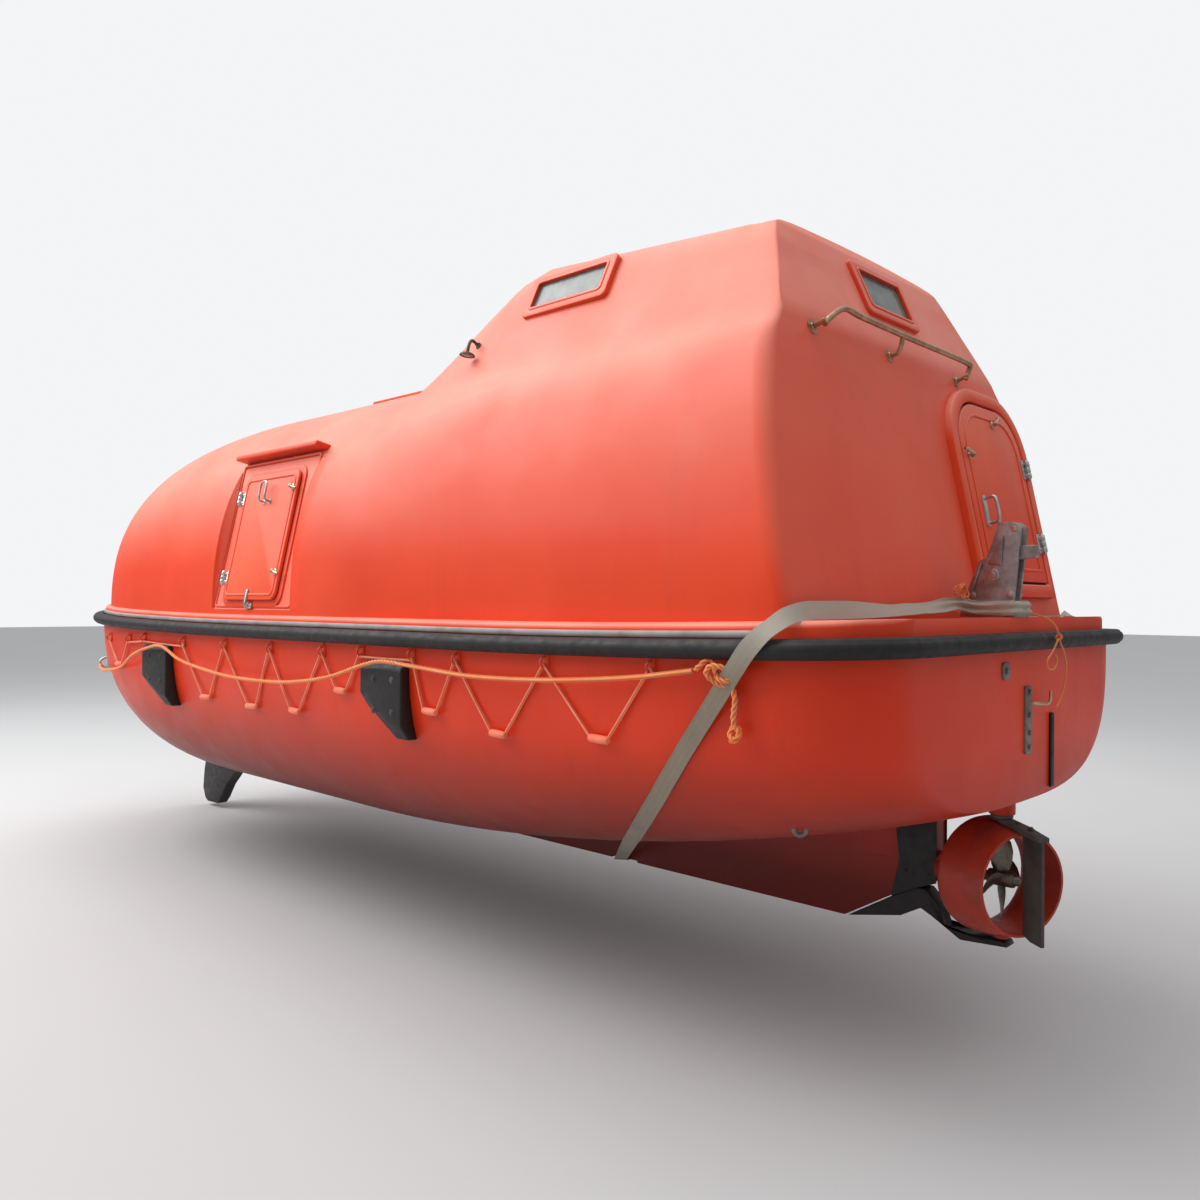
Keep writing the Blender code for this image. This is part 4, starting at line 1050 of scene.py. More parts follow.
class Work:
    """Gathers the shaped parts of one piece."""

    def __init__(self) -> None:
        """Starts empty."""
        self.bm = bmesh.new()

    def take(self, part: Shape, where: Matrix = Matrix.Identity(4)) -> "Work":
        """Adds a part at a place, and uses it up.

        Args:
            part: The part.
            where: Its place.

        Returns:
            The same work, to go on with.
        """
        part.transform(where)
        mesh = bpy.data.meshes.new("part")
        part.to_mesh(mesh)
        part.free()
        self.bm.from_mesh(mesh)
        bpy.data.meshes.remove(mesh)
        return self

    def piece(self, name: str, finish: Material, body: str, slot: str,
              replaces: Sequence[str] = (), crease: float = 32.0) -> Piece:
        """Turns the gathered parts into a piece of the boat.

        Args:
            name: The piece's name.
            finish: Its material.
            body: The body that it rides on.
            slot: Not used.
            replaces: Solids that it stands for.
            crease: Edges sharper than this stay sharp, in degrees.

        Returns:
            The finished object.
        """
        mesh = bpy.data.meshes.new(name)
        bmesh.ops.recalc_face_normals(self.bm, faces=self.bm.faces)
        self.bm.to_mesh(mesh)
        self.bm.free()
        return dress(mesh, name, finish, body, replaces, crease)


def dress(mesh: Mesh, name: str, finish: Material, body: str,
          replaces: Sequence[str] = (), crease: float = 32.0) -> Piece:
    """Makes a mesh a piece of the boat, as Work.piece says.

    Args:
        mesh: The mesh.
        name: The piece's name.
        finish: Its material.
        body: The body that it rides on.
        replaces: Solids that it stands for.
        crease: Edges sharper than this stay sharp, in degrees.

    Returns:
        The finished object.
    """
    mesh.name = name
    mesh.shade_smooth()
    mesh.set_sharp_from_angle(angle=math.radians(crease))
    mesh.materials.clear()
    mesh.materials.append(finish)
    obj = bpy.data.objects.new(name, mesh)
    show(obj)
    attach(obj, body)
    if replaces:
        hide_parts(*replaces)
    LOG.info("%s: %d faces on %s", name, len(mesh.polygons), body)
    return obj


# The boat's form


@dataclass(frozen=True)
class HullForm:
    """The hull's plan, profile and sections, as its solid has them."""

    transom_x: float = -3.16
    bow_x: float = 3.26
    half_width: float = 1.165
    bow_round_x: float = 1.55
    bow_exponent: float = 2.15
    quarter: float = 0.30
    stem_half: float = 0.03

    def gunwale(self, x: float) -> float:
        """Height of the gunwale.

        Args:
            x: A place along the boat.

        Returns:
            The height.
        """
        bow = max(0.0, (x - 0.3) / 2.9)
        stern = max(0.0, (-x - 1.5) / 1.7)
        return 0.43 + 0.07 * bow ** 2 + 0.03 * stern ** 2

    def beam(self, x: float) -> float:
        """Half width at the gunwale.

        Args:
            x: A place along the boat.

        Returns:
            The half width.
        """
        width = self.half_width - 0.05 * max(0.0, (-x - 1.0) / 2.1) ** 2
        corner = self.transom_x + self.quarter - x
        if corner > 0:
            width -= self.quarter - math.sqrt(max(self.quarter ** 2 - corner ** 2, 0.0))
        if x > self.bow_round_x:
            share = min((x - self.bow_round_x) / (self.bow_x - self.bow_round_x), 1.0)
            width *= (1 - share ** self.bow_exponent) ** (1 / self.bow_exponent)
        return max(width, self.stem_half)

    def bilge(self, x: float) -> float:
        """Height of the round hull's bottom.

        Args:
            x: A place along the boat.

        Returns:
            The height.
        """
        if x < -0.2:
            return -0.53 + 0.44 * ((-0.2 - x) / 2.96) ** 2
        if x > 0.9:
            return -0.53 + 0.86 * ((x - 0.9) / (self.bow_x - 0.9)) ** 4.2
        return -0.53

    def fullness(self, x: float) -> float:
        """Exponent of the section's curve."""
        return float(np.interp(x, (self.transom_x, -1.5, 1.5, self.bow_x), (3.3, 2.8, 2.7, 2.1)))

    def side(self, x: float, z: float) -> float:
        """Half width at a height below the gunwale.

        Args:
            x: A place along the boat.
            z: A height.

        Returns:
            The half width.
        """
        top = self.gunwale(x)
        share = min(max((top - z) / (top - self.bilge(x)), 0.0), 1.0)
        n = self.fullness(x)
        return self.beam(x) * (1 - share ** n) ** (1 / n)

    def skin(self, x: float, z: float, side: Side) -> tuple[Vector, Vector]:
        """A point on the hull's side and its outward direction.

        Args:
            x: A place along the boat.
            z: A height.
            side: Which side.

        Returns:
            The point, and the direction.
        """
        step = 0.01
        here = Vector((x, self.side(x, z), z))
        ahead = Vector((x + step, self.side(x + step, z), z)) - here
        below = Vector((x, self.side(x, z - step), z - step)) - here
        out = below.cross(ahead).normalized()
        out *= 1.0 if out.y > 0 else -1.0
        sign = side.value
        return Vector((here.x, sign * here.y, here.z)), Vector((out.x, sign * out.y, out.z))

    def ring(self, x: float, steps: int = 32) -> list[Point]:
        """A whole section, from the port gunwale under the bottom to the starboard one.

        Args:
            x: A place along the boat.
            steps: Steps to each half.

        Returns:
            The section's points.
        """
        top, low, width, n = self.gunwale(x), self.bilge(x), self.beam(x), self.fullness(x)
        half = []
        for k in range(steps + 1):
            angle = k / steps * math.pi / 2
            half.append((x, width * max(math.cos(angle), 0.0) ** (2 / n),
                         top - (top - low) * math.sin(angle) ** (2 / n)))
        return half + [(px, -py, pz) for px, py, pz in half[-2::-1]]

    def stations(self) -> list[float]:
        """Where the sections stand, close together at the quarters and round the bow.

        Returns:
            Their places along the boat.
        """
        found = [self.transom_x + self.quarter * (1 - math.cos(math.radians(a))) for a in range(0, 91, 9)]
        found += list(np.linspace(-2.75, 1.40, 25))
        found += [self.bow_round_x + (self.bow_x - self.bow_round_x) * math.sin(math.radians(a))
                  for a in (*range(0, 84, 4), 85, 87, 88.5, 90)]
        return [float(x) for x in found]


HULL = HullForm()


@dataclass(frozen=True)
class CanopyForm:
    """The canopy's arched bow and the steering tower aft, as their solid has them."""

    rise: float = 1.24
    round_x: float = 0.8
    tip_x: float = 3.19
    inset: float = 0.035
    exponent: float = 2.6
    wall: float = 0.045
    inner_end: float = 2.78
    foot: float = 0.03
    sunk: float = 0.028
    sunk_aft: float = 0.045
    plate_rise: float = 0.085
    plate_inset: float = 0.012
    plate_round: float = 0.022
    slope: tuple[Flat, ...] = (
        (-0.56, 0.0), (-0.78, 0.33), (-1.0, 0.62), (-1.22, 0.88), (-1.42, 1.0))
    roof_pitch: float = 0.07
    face_foot: Flat = (-2.911, 0.56)
    face_crease: Flat = (-2.705, 1.54)
    face_top: Flat = (-2.535, 1.925)
    tower: tuple[Flat, ...] = (
        (1.085, 0.47), (1.08, 0.70), (1.055, 0.92), (1.015, 1.14), (0.96, 1.33), (0.905, 1.45),
        (0.83, 1.54), (0.72, 1.735), (0.635, 1.885), (0.57, 1.925), (0.30, 1.94), (0.0, 1.945))

    def crown(self, x: float) -> float:
        """Height of the canopy's middle, ahead of the tower."""
        share = min(max(0.0, (x - self.round_x) / (self.tip_x - self.round_x)), 1.0)
        return HULL.gunwale(min(x, 1.0)) + self.foot + self.rise * (1 - share ** 2.3) ** (1 / 2.3)

    def width(self, x: float) -> float:
        """Half width at the canopy's foot.

        Args:
            x: A place along the boat.

        Returns:
            The half width.
        """
        width = HULL.half_width - self.inset
        if x > HULL.bow_round_x:
            share = min((x - HULL.bow_round_x) / (self.tip_x - HULL.bow_round_x), 1.0)
            width *= (1 - share ** HULL.bow_exponent) ** (1 / HULL.bow_exponent)
        return max(width, HULL.stem_half)

    def arch(self, x: float, fine: int, inset: float) -> list[Flat]:
        """The arched half section, from its foot to the crown, with some points to each step.

        Args:
            x: A place along the boat.
            fine: Points to each step of the tower's section.
            inset: How far in it lies.

        Returns:
            Half width and height of each point.
        """
        foot = HULL.gunwale(x) + self.foot
        high = max(self.crown(x) - foot, 0.06) - inset
        steps = (len(self.tower) - 1) * fine
        half = []
        for k in range(steps + 1):
            angle = k / steps * math.pi / 2
            half.append(((self.width(x) - inset) * max(math.cos(angle), 0.0) ** (2 / self.exponent),
                         foot + high * math.sin(angle) ** (2 / self.exponent)))
        return half

    def tower_half(self, x: float, fine: int, inset: float) -> list[Flat]:
        """The tower's half section. Its roof climbs towards the bow.

        Args:
            x: A place along the boat.
            fine: Points to each of its steps.
            inset: How far in it lies.

        Returns:
            Half width and height of each point.
        """
        half = []
        for y, z in self.tower:
            climb = self.roof_pitch * (x - self.face_top[0]) * min(max((z - 1.54) / 0.34, 0.0), 1.0)
            half.append((y, z + climb))
        if inset:
            half = self.inwards(half, inset)
        given = np.array([(2 * half[0][0] - half[1][0], 2 * half[0][1] - half[1][1]), *half,
                          (-half[-2][0], half[-2][1])])
        found = []
        for i in range(1, len(given) - 2):
            found += [between(given, i, t) for t in np.linspace(0, 1, fine, endpoint=False)]
        return [(max(float(y), 0.0), float(z)) for y, z in found] + [half[-1]]

    def inwards(self, half: list[Flat], inset: float) -> list[Flat]:
        """A half section moved in by the wall's thickness.

        Args:
            half: The half section.
            inset: The wall's thickness.

        Returns:
            The moved half section.
        """
        moved = []
        for i, (y, z) in enumerate(half):
            before, after = half[max(i - 1, 0)], half[min(i + 1, len(half) - 1)]
            along = Vector((after[0] - before[0], after[1] - before[1])).normalized()
            moved.append((max(y - inset * along[1], 0.0), z + inset * along[0]))
        moved[0] = (moved[0][0], half[0][1])
        moved[-1] = (0.0, half[-1][1] - inset)
        return moved

    def share(self, x: float) -> float:
        """How much of the tower's section there is at a place along the boat."""
        xs, shares = zip(*self.slope[::-1])
        return float(np.interp(x, xs, shares))

    def half(self, x: float, fine: int = 4, inset: float = 0.0) -> list[Flat]:
        """The half section anywhere along the boat.

        Args:
            x: A place along the boat.
            fine: Points to each step.
            inset: How far in it lies.

        Returns:
            Half width and height of each point.
        """
        share = self.share(x)
        if share <= 0:
            return self.arch(x, fine, inset)
        high = self.tower_half(x, fine, inset)
        if share >= 1:
            return high
        return [(a[0] + (b[0] - a[0]) * share, a[1] + (b[1] - a[1]) * share)
                for a, b in zip(self.arch(x, fine, inset), high)]

    def face_x(self, z: float) -> float:
        """The tower's aft face: two flat panels that meet at a soft crease.

        Args:
            z: A height.

        Returns:
            How far along the boat the face is there.
        """
        low, crease, top = self.face_foot, self.face_crease, self.face_top
        lower = low[0] + (z - low[1]) * (crease[0] - low[0]) / (crease[1] - low[1])
        upper = crease[0] + (z - crease[1]) * (top[0] - crease[0]) / (top[1] - crease[1])
        return max(lower, upper)

    def ring(self, half: list[Flat], foot: float, x: float | None = None,
             ahead: float = 0.0) -> list[Point]:
        """Both sides of a section, closed under its foot, at x or a little ahead of the aft face.

        Args:
            half: The half section.
            foot: The height it is closed at.
            x: Its place along the boat, or None to follow the aft face.
            ahead: How far ahead of that face.

        Returns:
            The section's points.
        """
        side = [(half[0][0], foot), *half]
        whole = side + [(-y, z) for y, z in side[-2::-1]]
        return [((self.face_x(z) + ahead) if x is None else x, y, z) for y, z in whole]

    def outer_rings(self) -> list[list[Point]]:
        """Sections of the outer skin, from the aft face to the bow.

        Returns:
            The sections.
        """
        rings = []
        for degrees in (0, 12, 25, 40, 57, 74, 90):
            angle = math.radians(degrees)
            ahead, drawn = 0.06 * (1 - math.cos(angle)), 0.045 * (1 - math.sin(angle))
            half = [(max(y - drawn * float(np.interp(z, (1.42, 1.6), (1.0, 0.3))), 0.0), z)
                    for y, z in self.tower_half(self.face_top[0], 4, 0.0)]
            rings.append(self.ring(half, HULL.gunwale(-2.9) + self.sunk_aft, None, ahead))
        for x in (-2.42, -2.2, -2.0, -1.8, -1.6, *np.linspace(-1.42, -0.56, 15),
                  *np.linspace(-0.47, 1.45, 20)):
            foot = HULL.gunwale(x) + (self.sunk_aft if x < -0.5 else self.sunk)
            rings.append(self.ring(self.half(float(x)), foot, float(x)))
        for a in (*range(0, 84, 4), 85, 87, 88.5, 90):
            x = HULL.bow_round_x + (self.tip_x - HULL.bow_round_x) * math.sin(math.radians(a))
            rings.append(self.ring(self.half(x), HULL.gunwale(x) + self.sunk, x))
        return rings

    def inner_rings(self) -> list[list[Point]]:
        """Sections of the inside.

        Returns:
            The sections.
        """
        rings = [self.ring(self.tower_half(self.face_top[0], 1, self.wall), HULL.gunwale(-2.9) - 0.06, None,
                           self.wall)]
        for x in (-2.30, -1.85, -1.42, -1.22, -1.0, -0.78, -0.56, -0.1, 0.35, 0.8, 1.2, 1.6, 2.0, 2.35, 2.6,
                  self.inner_end):
            rings.append(self.ring(self.half(x, 1, self.wall), HULL.gunwale(x) - 0.06, x))
        return rings

    def plate_rings(self) -> list[list[Point]]:
        """Sections of the flat rim that makes the aft deck and the foredeck.

        Returns:
            The sections.
        """
        rings = []
        for x in HULL.stations():
            moved = x + (0.012 if x < -3.1 else 0.0) - (0.02 if x > 3.1 else 0.0)
            width = max(HULL.beam(x) - self.plate_inset, HULL.stem_half - self.plate_inset / 2)
            low, high = HULL.gunwale(x) + GAP, self.deck(x)
            radius = min(self.plate_round, width / 2)
            half = [(moved, width, low)]
            for degrees in (0, 22, 45, 68, 90):
                angle = math.radians(degrees)
                half.append((moved, width - radius * (1 - math.cos(angle)),
                             high - radius * (1 - math.sin(angle))))
            rings.append(half + [(px, -py, pz) for px, py, pz in half[::-1]])
        return rings

    def deck(self, x: float) -> float:
        """Height of the flat rim's top."""
        return HULL.gunwale(x) + self.plate_rise

    def top(self, x: float, y: float) -> float:
        """Height of the outside above a place."""
        half = self.half(x)[::-1]
        return float(np.interp(abs(y), [p[0] for p in half], [p[1] for p in half]))

    def skin(self, x: float, y: float) -> tuple[Vector, Vector]:
        """A point on the outside and its outward direction.

        Args:
            x: A place along the boat.
            y: A place across it.

        Returns:
            The point, and the direction.
        """
        here = Vector((x, y, self.top(x, y)))
        ahead = Vector((x + 0.02, y, self.top(x + 0.02, y))) - here
        beside = Vector((x, y + 0.02, self.top(x, y + 0.02))) - here
        return here, ahead.cross(beside).normalized()

    def aft_frame(self) -> Matrix:
        """On the aft face's lower panel: X to starboard, Y up the panel, Z out of it."""
        low, crease = self.face_foot, self.face_crease
        return frame_at((low[0], 0, low[1]), (0, -1, 0), (crease[0] - low[0], 0, crease[1] - low[1]))


CANOPY = CanopyForm()


# Camera and light


@dataclass(frozen=True)
class PhotoView:
    """The camera at the photograph's angle, and soft studio light on a pale floor."""

    eye: Point = (-4.50, 3.5075, 0.58)
    yaw: float = math.radians(-46.08)
    pitch: float = math.radians(0.23)
    roll: float = math.radians(0.39)
    focal: float = 1000 / 1200
    sensor: float = 36.0
    floor_z: float = -0.99
    horizon: float = 0.17
    zenith: float = 1.0
    backdrop: float = 0.93
    lamps: tuple[tuple[str, Point, float, float], ...] = (
        ("key", (6.0, 7.0, 8.0), 10.0, 1080.0), ("top", (3.0, 1.5, 10.0), 12.0, 560.0),
        ("back", (2.0, -7.0, 5.0), 5.0, 110.0))
    aim: Point = (0, 0, 0.4)

    def camera(self) -> None:
        """Sets the scene's camera."""
        ahead = Vector((math.cos(self.yaw) * math.cos(self.pitch), math.sin(self.yaw) * math.cos(self.pitch),
                        math.sin(self.pitch)))
        right = Vector((math.sin(self.yaw), -math.cos(self.yaw), 0.0))
        up = right.cross(ahead)
        across = math.cos(self.roll) * right + math.sin(self.roll) * up
        rise = -math.sin(self.roll) * right + math.cos(self.roll) * up
        data = bpy.data.cameras.new("camera")
        data.sensor_width = self.sensor
        data.lens = self.sensor * self.focal
        data.clip_start, data.clip_end = 0.05, 200.0
        camera = bpy.data.objects.new("camera", data)
        matrix = Matrix((across, rise, -ahead)).transposed().to_4x4()
        matrix.translation = self.eye
        camera.matrix_world = matrix
        bpy.context.scene.camera = show(camera)
        bpy.context.scene.view_settings.view_transform = "Standard"

    def light(self) -> None:
        """Adds the lamps, the sky and the floor."""
        for name, place, size, power in self.lamps:
            data = bpy.data.lights.new(name, "AREA")
            data.shape = "DISK"
            data.size = size
            data.energy = power
            lamp = show(bpy.data.objects.new(name, data))
            lamp.location = place
            lamp.rotation_euler = (Vector(self.aim) - Vector(place)).to_track_quat("-Z", "Y").to_euler()
        world = bpy.data.worlds.new("sky")
        world.use_nodes = True
        tree = world.node_tree
        split = tree.nodes.new("ShaderNodeSeparateXYZ")
        rising = tree.nodes.new("ShaderNodeMapRange")
        seen = tree.nodes.new("ShaderNodeLightPath")
        choice = tree.nodes.new("ShaderNodeMix")
        tree.links.new(tree.nodes.new("ShaderNodeTexCoord").outputs["Generated"], split.inputs["Vector"])
        tree.links.new(split.outputs["Z"], rising.inputs["Value"])
        for key, number in (("From Min", 0.0), ("From Max", 0.9), ("To Min", self.horizon),
                            ("To Max", self.zenith)):
            rising.inputs[key].default_value = number
        tree.links.new(seen.outputs["Is Camera Ray"], choice.inputs["Factor"])
        tree.links.new(rising.outputs["Result"], choice.inputs["A"])
        choice.inputs["B"].default_value = self.backdrop
        background = tree.nodes["Background"]
        background.inputs["Color"].default_value = (0.97, 0.98, 1.0, 1.0)
        tree.links.new(choice.outputs["Result"], background.inputs["Strength"])
        bpy.context.scene.world = world
        bm = bmesh.new()
        bmesh.ops.create_grid(bm, x_segments=2, y_segments=2, size=60.0)
        bmesh.ops.translate(bm, vec=(0, 0, self.floor_z), verts=bm.verts)
        mesh = to_mesh(bm, "floor")
        shades = Shades("floor_pale")
        mesh.materials.append(shades.give(
            Base_Color=shades.blend(shades.noise(0.6, 2.0), (0.50, 0.50, 0.50), (0.53, 0.53, 0.53)),
            Roughness=0.9))
        show(bpy.data.objects.new("floor", mesh))


# Ropes


@dataclass(frozen=True)
class LaidRope:
    """Three-strand rope of one diameter."""

    diameter: float
    lay: float
    steps: int = 12
    round_steps: int = 15
    depth: float = 0.13

    def line(self, points: Sequence[Sequence[float]]) -> np.ndarray:
        """The rope's centreline through some points, with a ring for each step of its lay."""
        return smooth_path(points, max(12, int(path_length(np.array(points)) / self.lay * self.steps)))

    def mesh(self, line: np.ndarray) -> Mesh:
        """A twisted tube along a line, its strands' hollows kept in an attribute.

        Args:
            line: The rope's centreline.

        Returns:
            The rope's mesh.
        """
        long = path_length(line)
        radius = self.diameter / 2
        outline = bpy.data.curves.new("rope_outline", "CURVE")
        spline = outline.splines.new("POLY")
        spline.points.add(self.round_steps - 1)
        for i, point in enumerate(spline.points):
            angle = 2 * math.pi * i / self.round_steps
            reach = radius * (1 - self.depth + self.depth * math.cos(3 * angle))
            point.co = (reach * math.cos(angle), reach * math.sin(angle), 0.0, 1.0)
        spline.use_cyclic_u = True
        section = bpy.data.objects.new("rope_section", outline)
        curve = bpy.data.curves.new("rope_line", "CURVE")
        curve.dimensions = "3D"
        curve.bevel_mode = "OBJECT"
        curve.bevel_object = section
        curve.use_fill_caps = True
        spline = curve.splines.new("POLY")
        spline.points.add(len(line) - 1)
        for i, (point, place) in enumerate(zip(spline.points, line)):
            point.co = (*place, 1.0)
            point.tilt = 2 * math.pi * i * long / self.lay / len(line)
        show(section)
        holder = show(bpy.data.objects.new("rope_holder", curve))
        bpy.context.view_layer.update()
        mesh = evaluated(holder)
        for obj, data in ((holder, curve), (section, outline)):
            bpy.data.objects.remove(obj)
            bpy.data.curves.remove(data)
        places = np.array([v.co for v in mesh.vertices])
        rows = len(places) // self.round_steps
        centres = places[:rows * self.round_steps].reshape(rows, self.round_steps, 3).mean(axis=1)
        reach = np.linalg.norm(places - np.repeat(centres, self.round_steps, axis=0)[:len(places)], axis=1)
        high = (reach - reach.min()) / max(float(np.ptp(reach)), 1e-9)
        strand = mesh.attributes.new("strand", "FLOAT", "POINT")
        strand.data.foreach_set("value", high.astype(np.float32))
        return mesh


@dataclass
class Ropes:
    """The painter, the lifelines with their floats and eyes, and the hook's lanyard."""

    finishes: Finishes
    painter_rope: LaidRope = LaidRope(0.018, 0.062)
    life_rope: LaidRope = LaidRope(0.012, 0.044, 10)
    cord_rope: LaidRope = LaidRope(0.007, 0.028, 8)
    eye_place: Flat = (2.45, 0.17)
    off_skin: float = 0.045
    over_blocks: float = 1.232
    floats_below: float = 0.3
    painter_route: tuple[Flat, ...] = (
        (2.1, 0.155), (1.7, 0.19), (1.42, 0.27), (1.23, 0.315), (1.02, 0.335), (0.77, 0.27), (0.36, 0.225),
        (0.04, 0.213), (-0.34, 0.221), (-0.68, 0.26), (-0.92, 0.315), (-1.09, 0.345), (-1.33, 0.33),
        (-1.63, 0.315), (-2.0, 0.322), (-2.38, 0.35), (-2.64, 0.385))
    loops: tuple[Flat, ...] = (
        (2.0, 0.345), (1.80, 0.20), (1.62, 0.35), (1.40, 0.36), (0.88, 0.35), (0.64, 0.08), (0.39, 0.35),
        (0.14, 0.07), (-0.08, 0.35), (-0.28, 0.08), (-0.55, 0.355), (-0.70, 0.20), (-0.86, 0.365),
        (-1.22, 0.365), (-1.33, 0.16), (-1.50, 0.36), (-1.72, 0.11), (-1.98, 0.37), (-2.22, 0.14),
        (-2.45, 0.375))

    def dressed(self, kind: LaidRope, line: np.ndarray, name: str, finish: Material,
                replaces: Sequence[str] = ()) -> Piece:
        """Makes a rope along a line a piece of the boat.

        Args:
            kind: The rope.
            line: Its centreline.
            name: The piece's name.
            finish: Its material.
            replaces: Solids that it stands for.

        Returns:
            The piece.
        """
        return dress(kind.mesh(line), name, finish, "boat", replaces, 60)

    def painter(self) -> None:
        """The orange painter, from the port bow eye aft along the side."""
        eye, out = HULL.skin(*self.eye_place, Side.PORT)
        aft = Z_AXIS.cross(out).normalized()
        path = [tuple(eye + out * 0.048 + aft * d - Vector((0, 0, drop)))
                for d, drop in ((0.0089, 0.0), (0.03, 0.0), (0.1, 0.006))]
        for x, z in self.painter_route:
            point, out = HULL.skin(x, z, Side.PORT)
            point = point + out * self.off_skin
            if -1.3 < x < 1.5:
                point.y = max(point.y, self.over_blocks)
            path.append(tuple(point))
        kind = self.painter_rope
        line = kind.line(smooth_path(path, 60))
        rope = self.dressed(kind, line, "painter", self.finishes.painter, ("painter_rope",))
        self.hitch()

    def beside(self, places: Sequence[tuple[float, float, float]]) -> list[Point]:
        """Places off the port side, from each one's x, height and distance off the skin.

        Args:
            places: Each one's x, height and distance off the skin.

        Returns:
            The places.
        """
        found = []
        for x, z, off in places:
            point, out = HULL.skin(x, z, Side.PORT)
            found.append(tuple(point + out * off))
        return found

    def hitch(self) -> Piece:
        """The hitch that makes the painter fast to the strap, and its tail with a stopper knot.

        Returns:
            The hitch.
        """
        turns = self.beside(((-2.650, 0.388, 0.045), (-2.672, 0.404, 0.047), (-2.690, 0.420, 0.040),
                             (-2.706, 0.412, 0.032), (-2.716, 0.385, 0.036), (-2.740, 0.365, 0.052),
                             (-2.766, 0.362, 0.044), (-2.772, 0.382, 0.034), (-2.748, 0.400, 0.052),
                             (-2.715, 0.402, 0.062), (-2.700, 0.380, 0.060), (-2.716, 0.358, 0.044),
                             (-2.745, 0.345, 0.036), (-2.768, 0.350, 0.034)))
        kind, orange = self.painter_rope, self.finishes.painter
        hitch = self.dressed(kind, kind.line(smooth_path(turns, 90)), "painter_hitch", orange)
        tail = self.beside(((-2.768, 0.350, 0.034), (-2.776, 0.332, 0.034), (-2.779, 0.305, 0.032),
                            (-2.774, 0.278, 0.032), (-2.770, 0.250, 0.032), (-2.774, 0.226, 0.032)))
        stopper = self.beside(((-2.774, 0.232, 0.030), (-2.788, 0.216, 0.036), (-2.776, 0.200, 0.046),
                               (-2.758, 0.212, 0.038), (-2.766, 0.230, 0.028), (-2.784, 0.222, 0.026),
                               (-2.772, 0.196, 0.028), (-2.750, 0.192, 0.034)))
        knot = self.dressed(kind, kind.line(smooth_path(stopper, 60)), "painter_stopper", orange)
        line = kind.line(smooth_path(tail, 30))
        end = self.dressed(kind, line, "painter_tail", orange)
        return hitch

    def small_cord(self, name: str, points: Sequence[Point], steps: int) -> None:
        """One thin orange cord at the hook.

        Args:
            name: The piece's name.
            points: Its route.
            steps: Points to smooth its route to.
        """
        kind = self.cord_rope
        line = kind.line(smooth_path(points, steps))
        rope = self.dressed(kind, line, name, self.finishes.painter)

    def lanyard(self) -> None:
        """The hook's thin lanyard over the transom, its bight, and the turns left on the hook."""
        knot = Work().take(bent_bar(((-3.236, -0.105, 0.489), (-3.243, -0.120, 0.478),
                                     (-3.236, -0.113, 0.466), (-3.229, -0.100, 0.474),
                                     (-3.236, -0.112, 0.487), (-3.244, -0.108, 0.472),
                                     (-3.236, -0.098, 0.464)), 0.0036, 10, 40))
        knot = knot.piece("lanyard_knot", self.finishes.painter, "boat", "orange_rope", (), 60)
        over_transom = (
            (-3.152, -0.060, 0.556), (-3.172, -0.070, 0.553), (-3.200, -0.076, 0.544),
            (-3.222, -0.084, 0.528), (-3.233, -0.096, 0.506), (-3.236, -0.108, 0.482),
            (-3.236, -0.128, 0.452), (-3.236, -0.158, 0.424), (-3.236, -0.180, 0.386),
            (-3.236, -0.181, 0.350), (-3.236, -0.171, 0.320), (-3.236, -0.150, 0.285),
            (-3.236, -0.120, 0.255), (-3.236, -0.085, 0.232))
        self.small_cord("hook_lanyard", over_transom, 90)
        bight = (
            (-3.238, -0.098, 0.470), (-3.239, -0.075, 0.452), (-3.240, -0.050, 0.434),
            (-3.241, -0.022, 0.419), (-3.241, 0.006, 0.404), (-3.241, 0.014, 0.385),
            (-3.241, -0.004, 0.370), (-3.241, -0.036, 0.366), (-3.241, -0.066, 0.376),
            (-3.241, -0.076, 0.396), (-3.243, -0.062, 0.415))
        self.small_cord("lanyard_bight", bight, 80)
        turns = [(-3.005, 0.045, 0.575), (-3.000, 0.058, 0.590)]
        for i in range(40):
            angle = 2 * math.pi * i / 13 - 1.9
            reach = 0.030 + 0.003 * math.sin(1.7 * i)
            turns.append((-2.992 + 0.0006 * i + 0.006 * math.sin(0.9 * i),
                          0.098 + 1.25 * reach * math.cos(angle), 0.634 + 0.75 * reach * math.sin(angle)))
        turns += [(-2.975, 0.060, 0.600), (-2.990, 0.045, 0.590)]
        self.small_cord("lanyard_turns", turns, 220)

    def route(self) -> list[Flat]:
        """The lifeline's places: round the eyes at the tops, and straight down to the floats.

        Returns:
            Each place's x and height.
        """
        found = []
        for x, z in self.loops:
            if z < self.floats_below:
                found += [(x + 0.045, z + 0.012), (x + 0.018, z), (x - 0.018, z), (x - 0.045, z + 0.012)]
            else:
                found += [(x + 0.012, z - 0.012), (x, z), (x - 0.012, z - 0.012)]
        return found

    def lifeline(self, side: Side) -> None:
        """One side's lifeline, in loops from its eyes, with a float in each loop.

        Args:
            side: Which side.
        """
        path = []
        for x, z in self.route():
            point, out = HULL.skin(x, z, side)
            path.append(tuple(point + out * 0.014))
        line = self.life_rope.line(smooth_path(path, 240))
        rope = self.dressed(self.life_rope, line, f"{side.label}_grab_line", self.finishes.lifeline,
                            (f"{side.label}_lifeline",))
        self.floats(side)
        self.eyes(side)

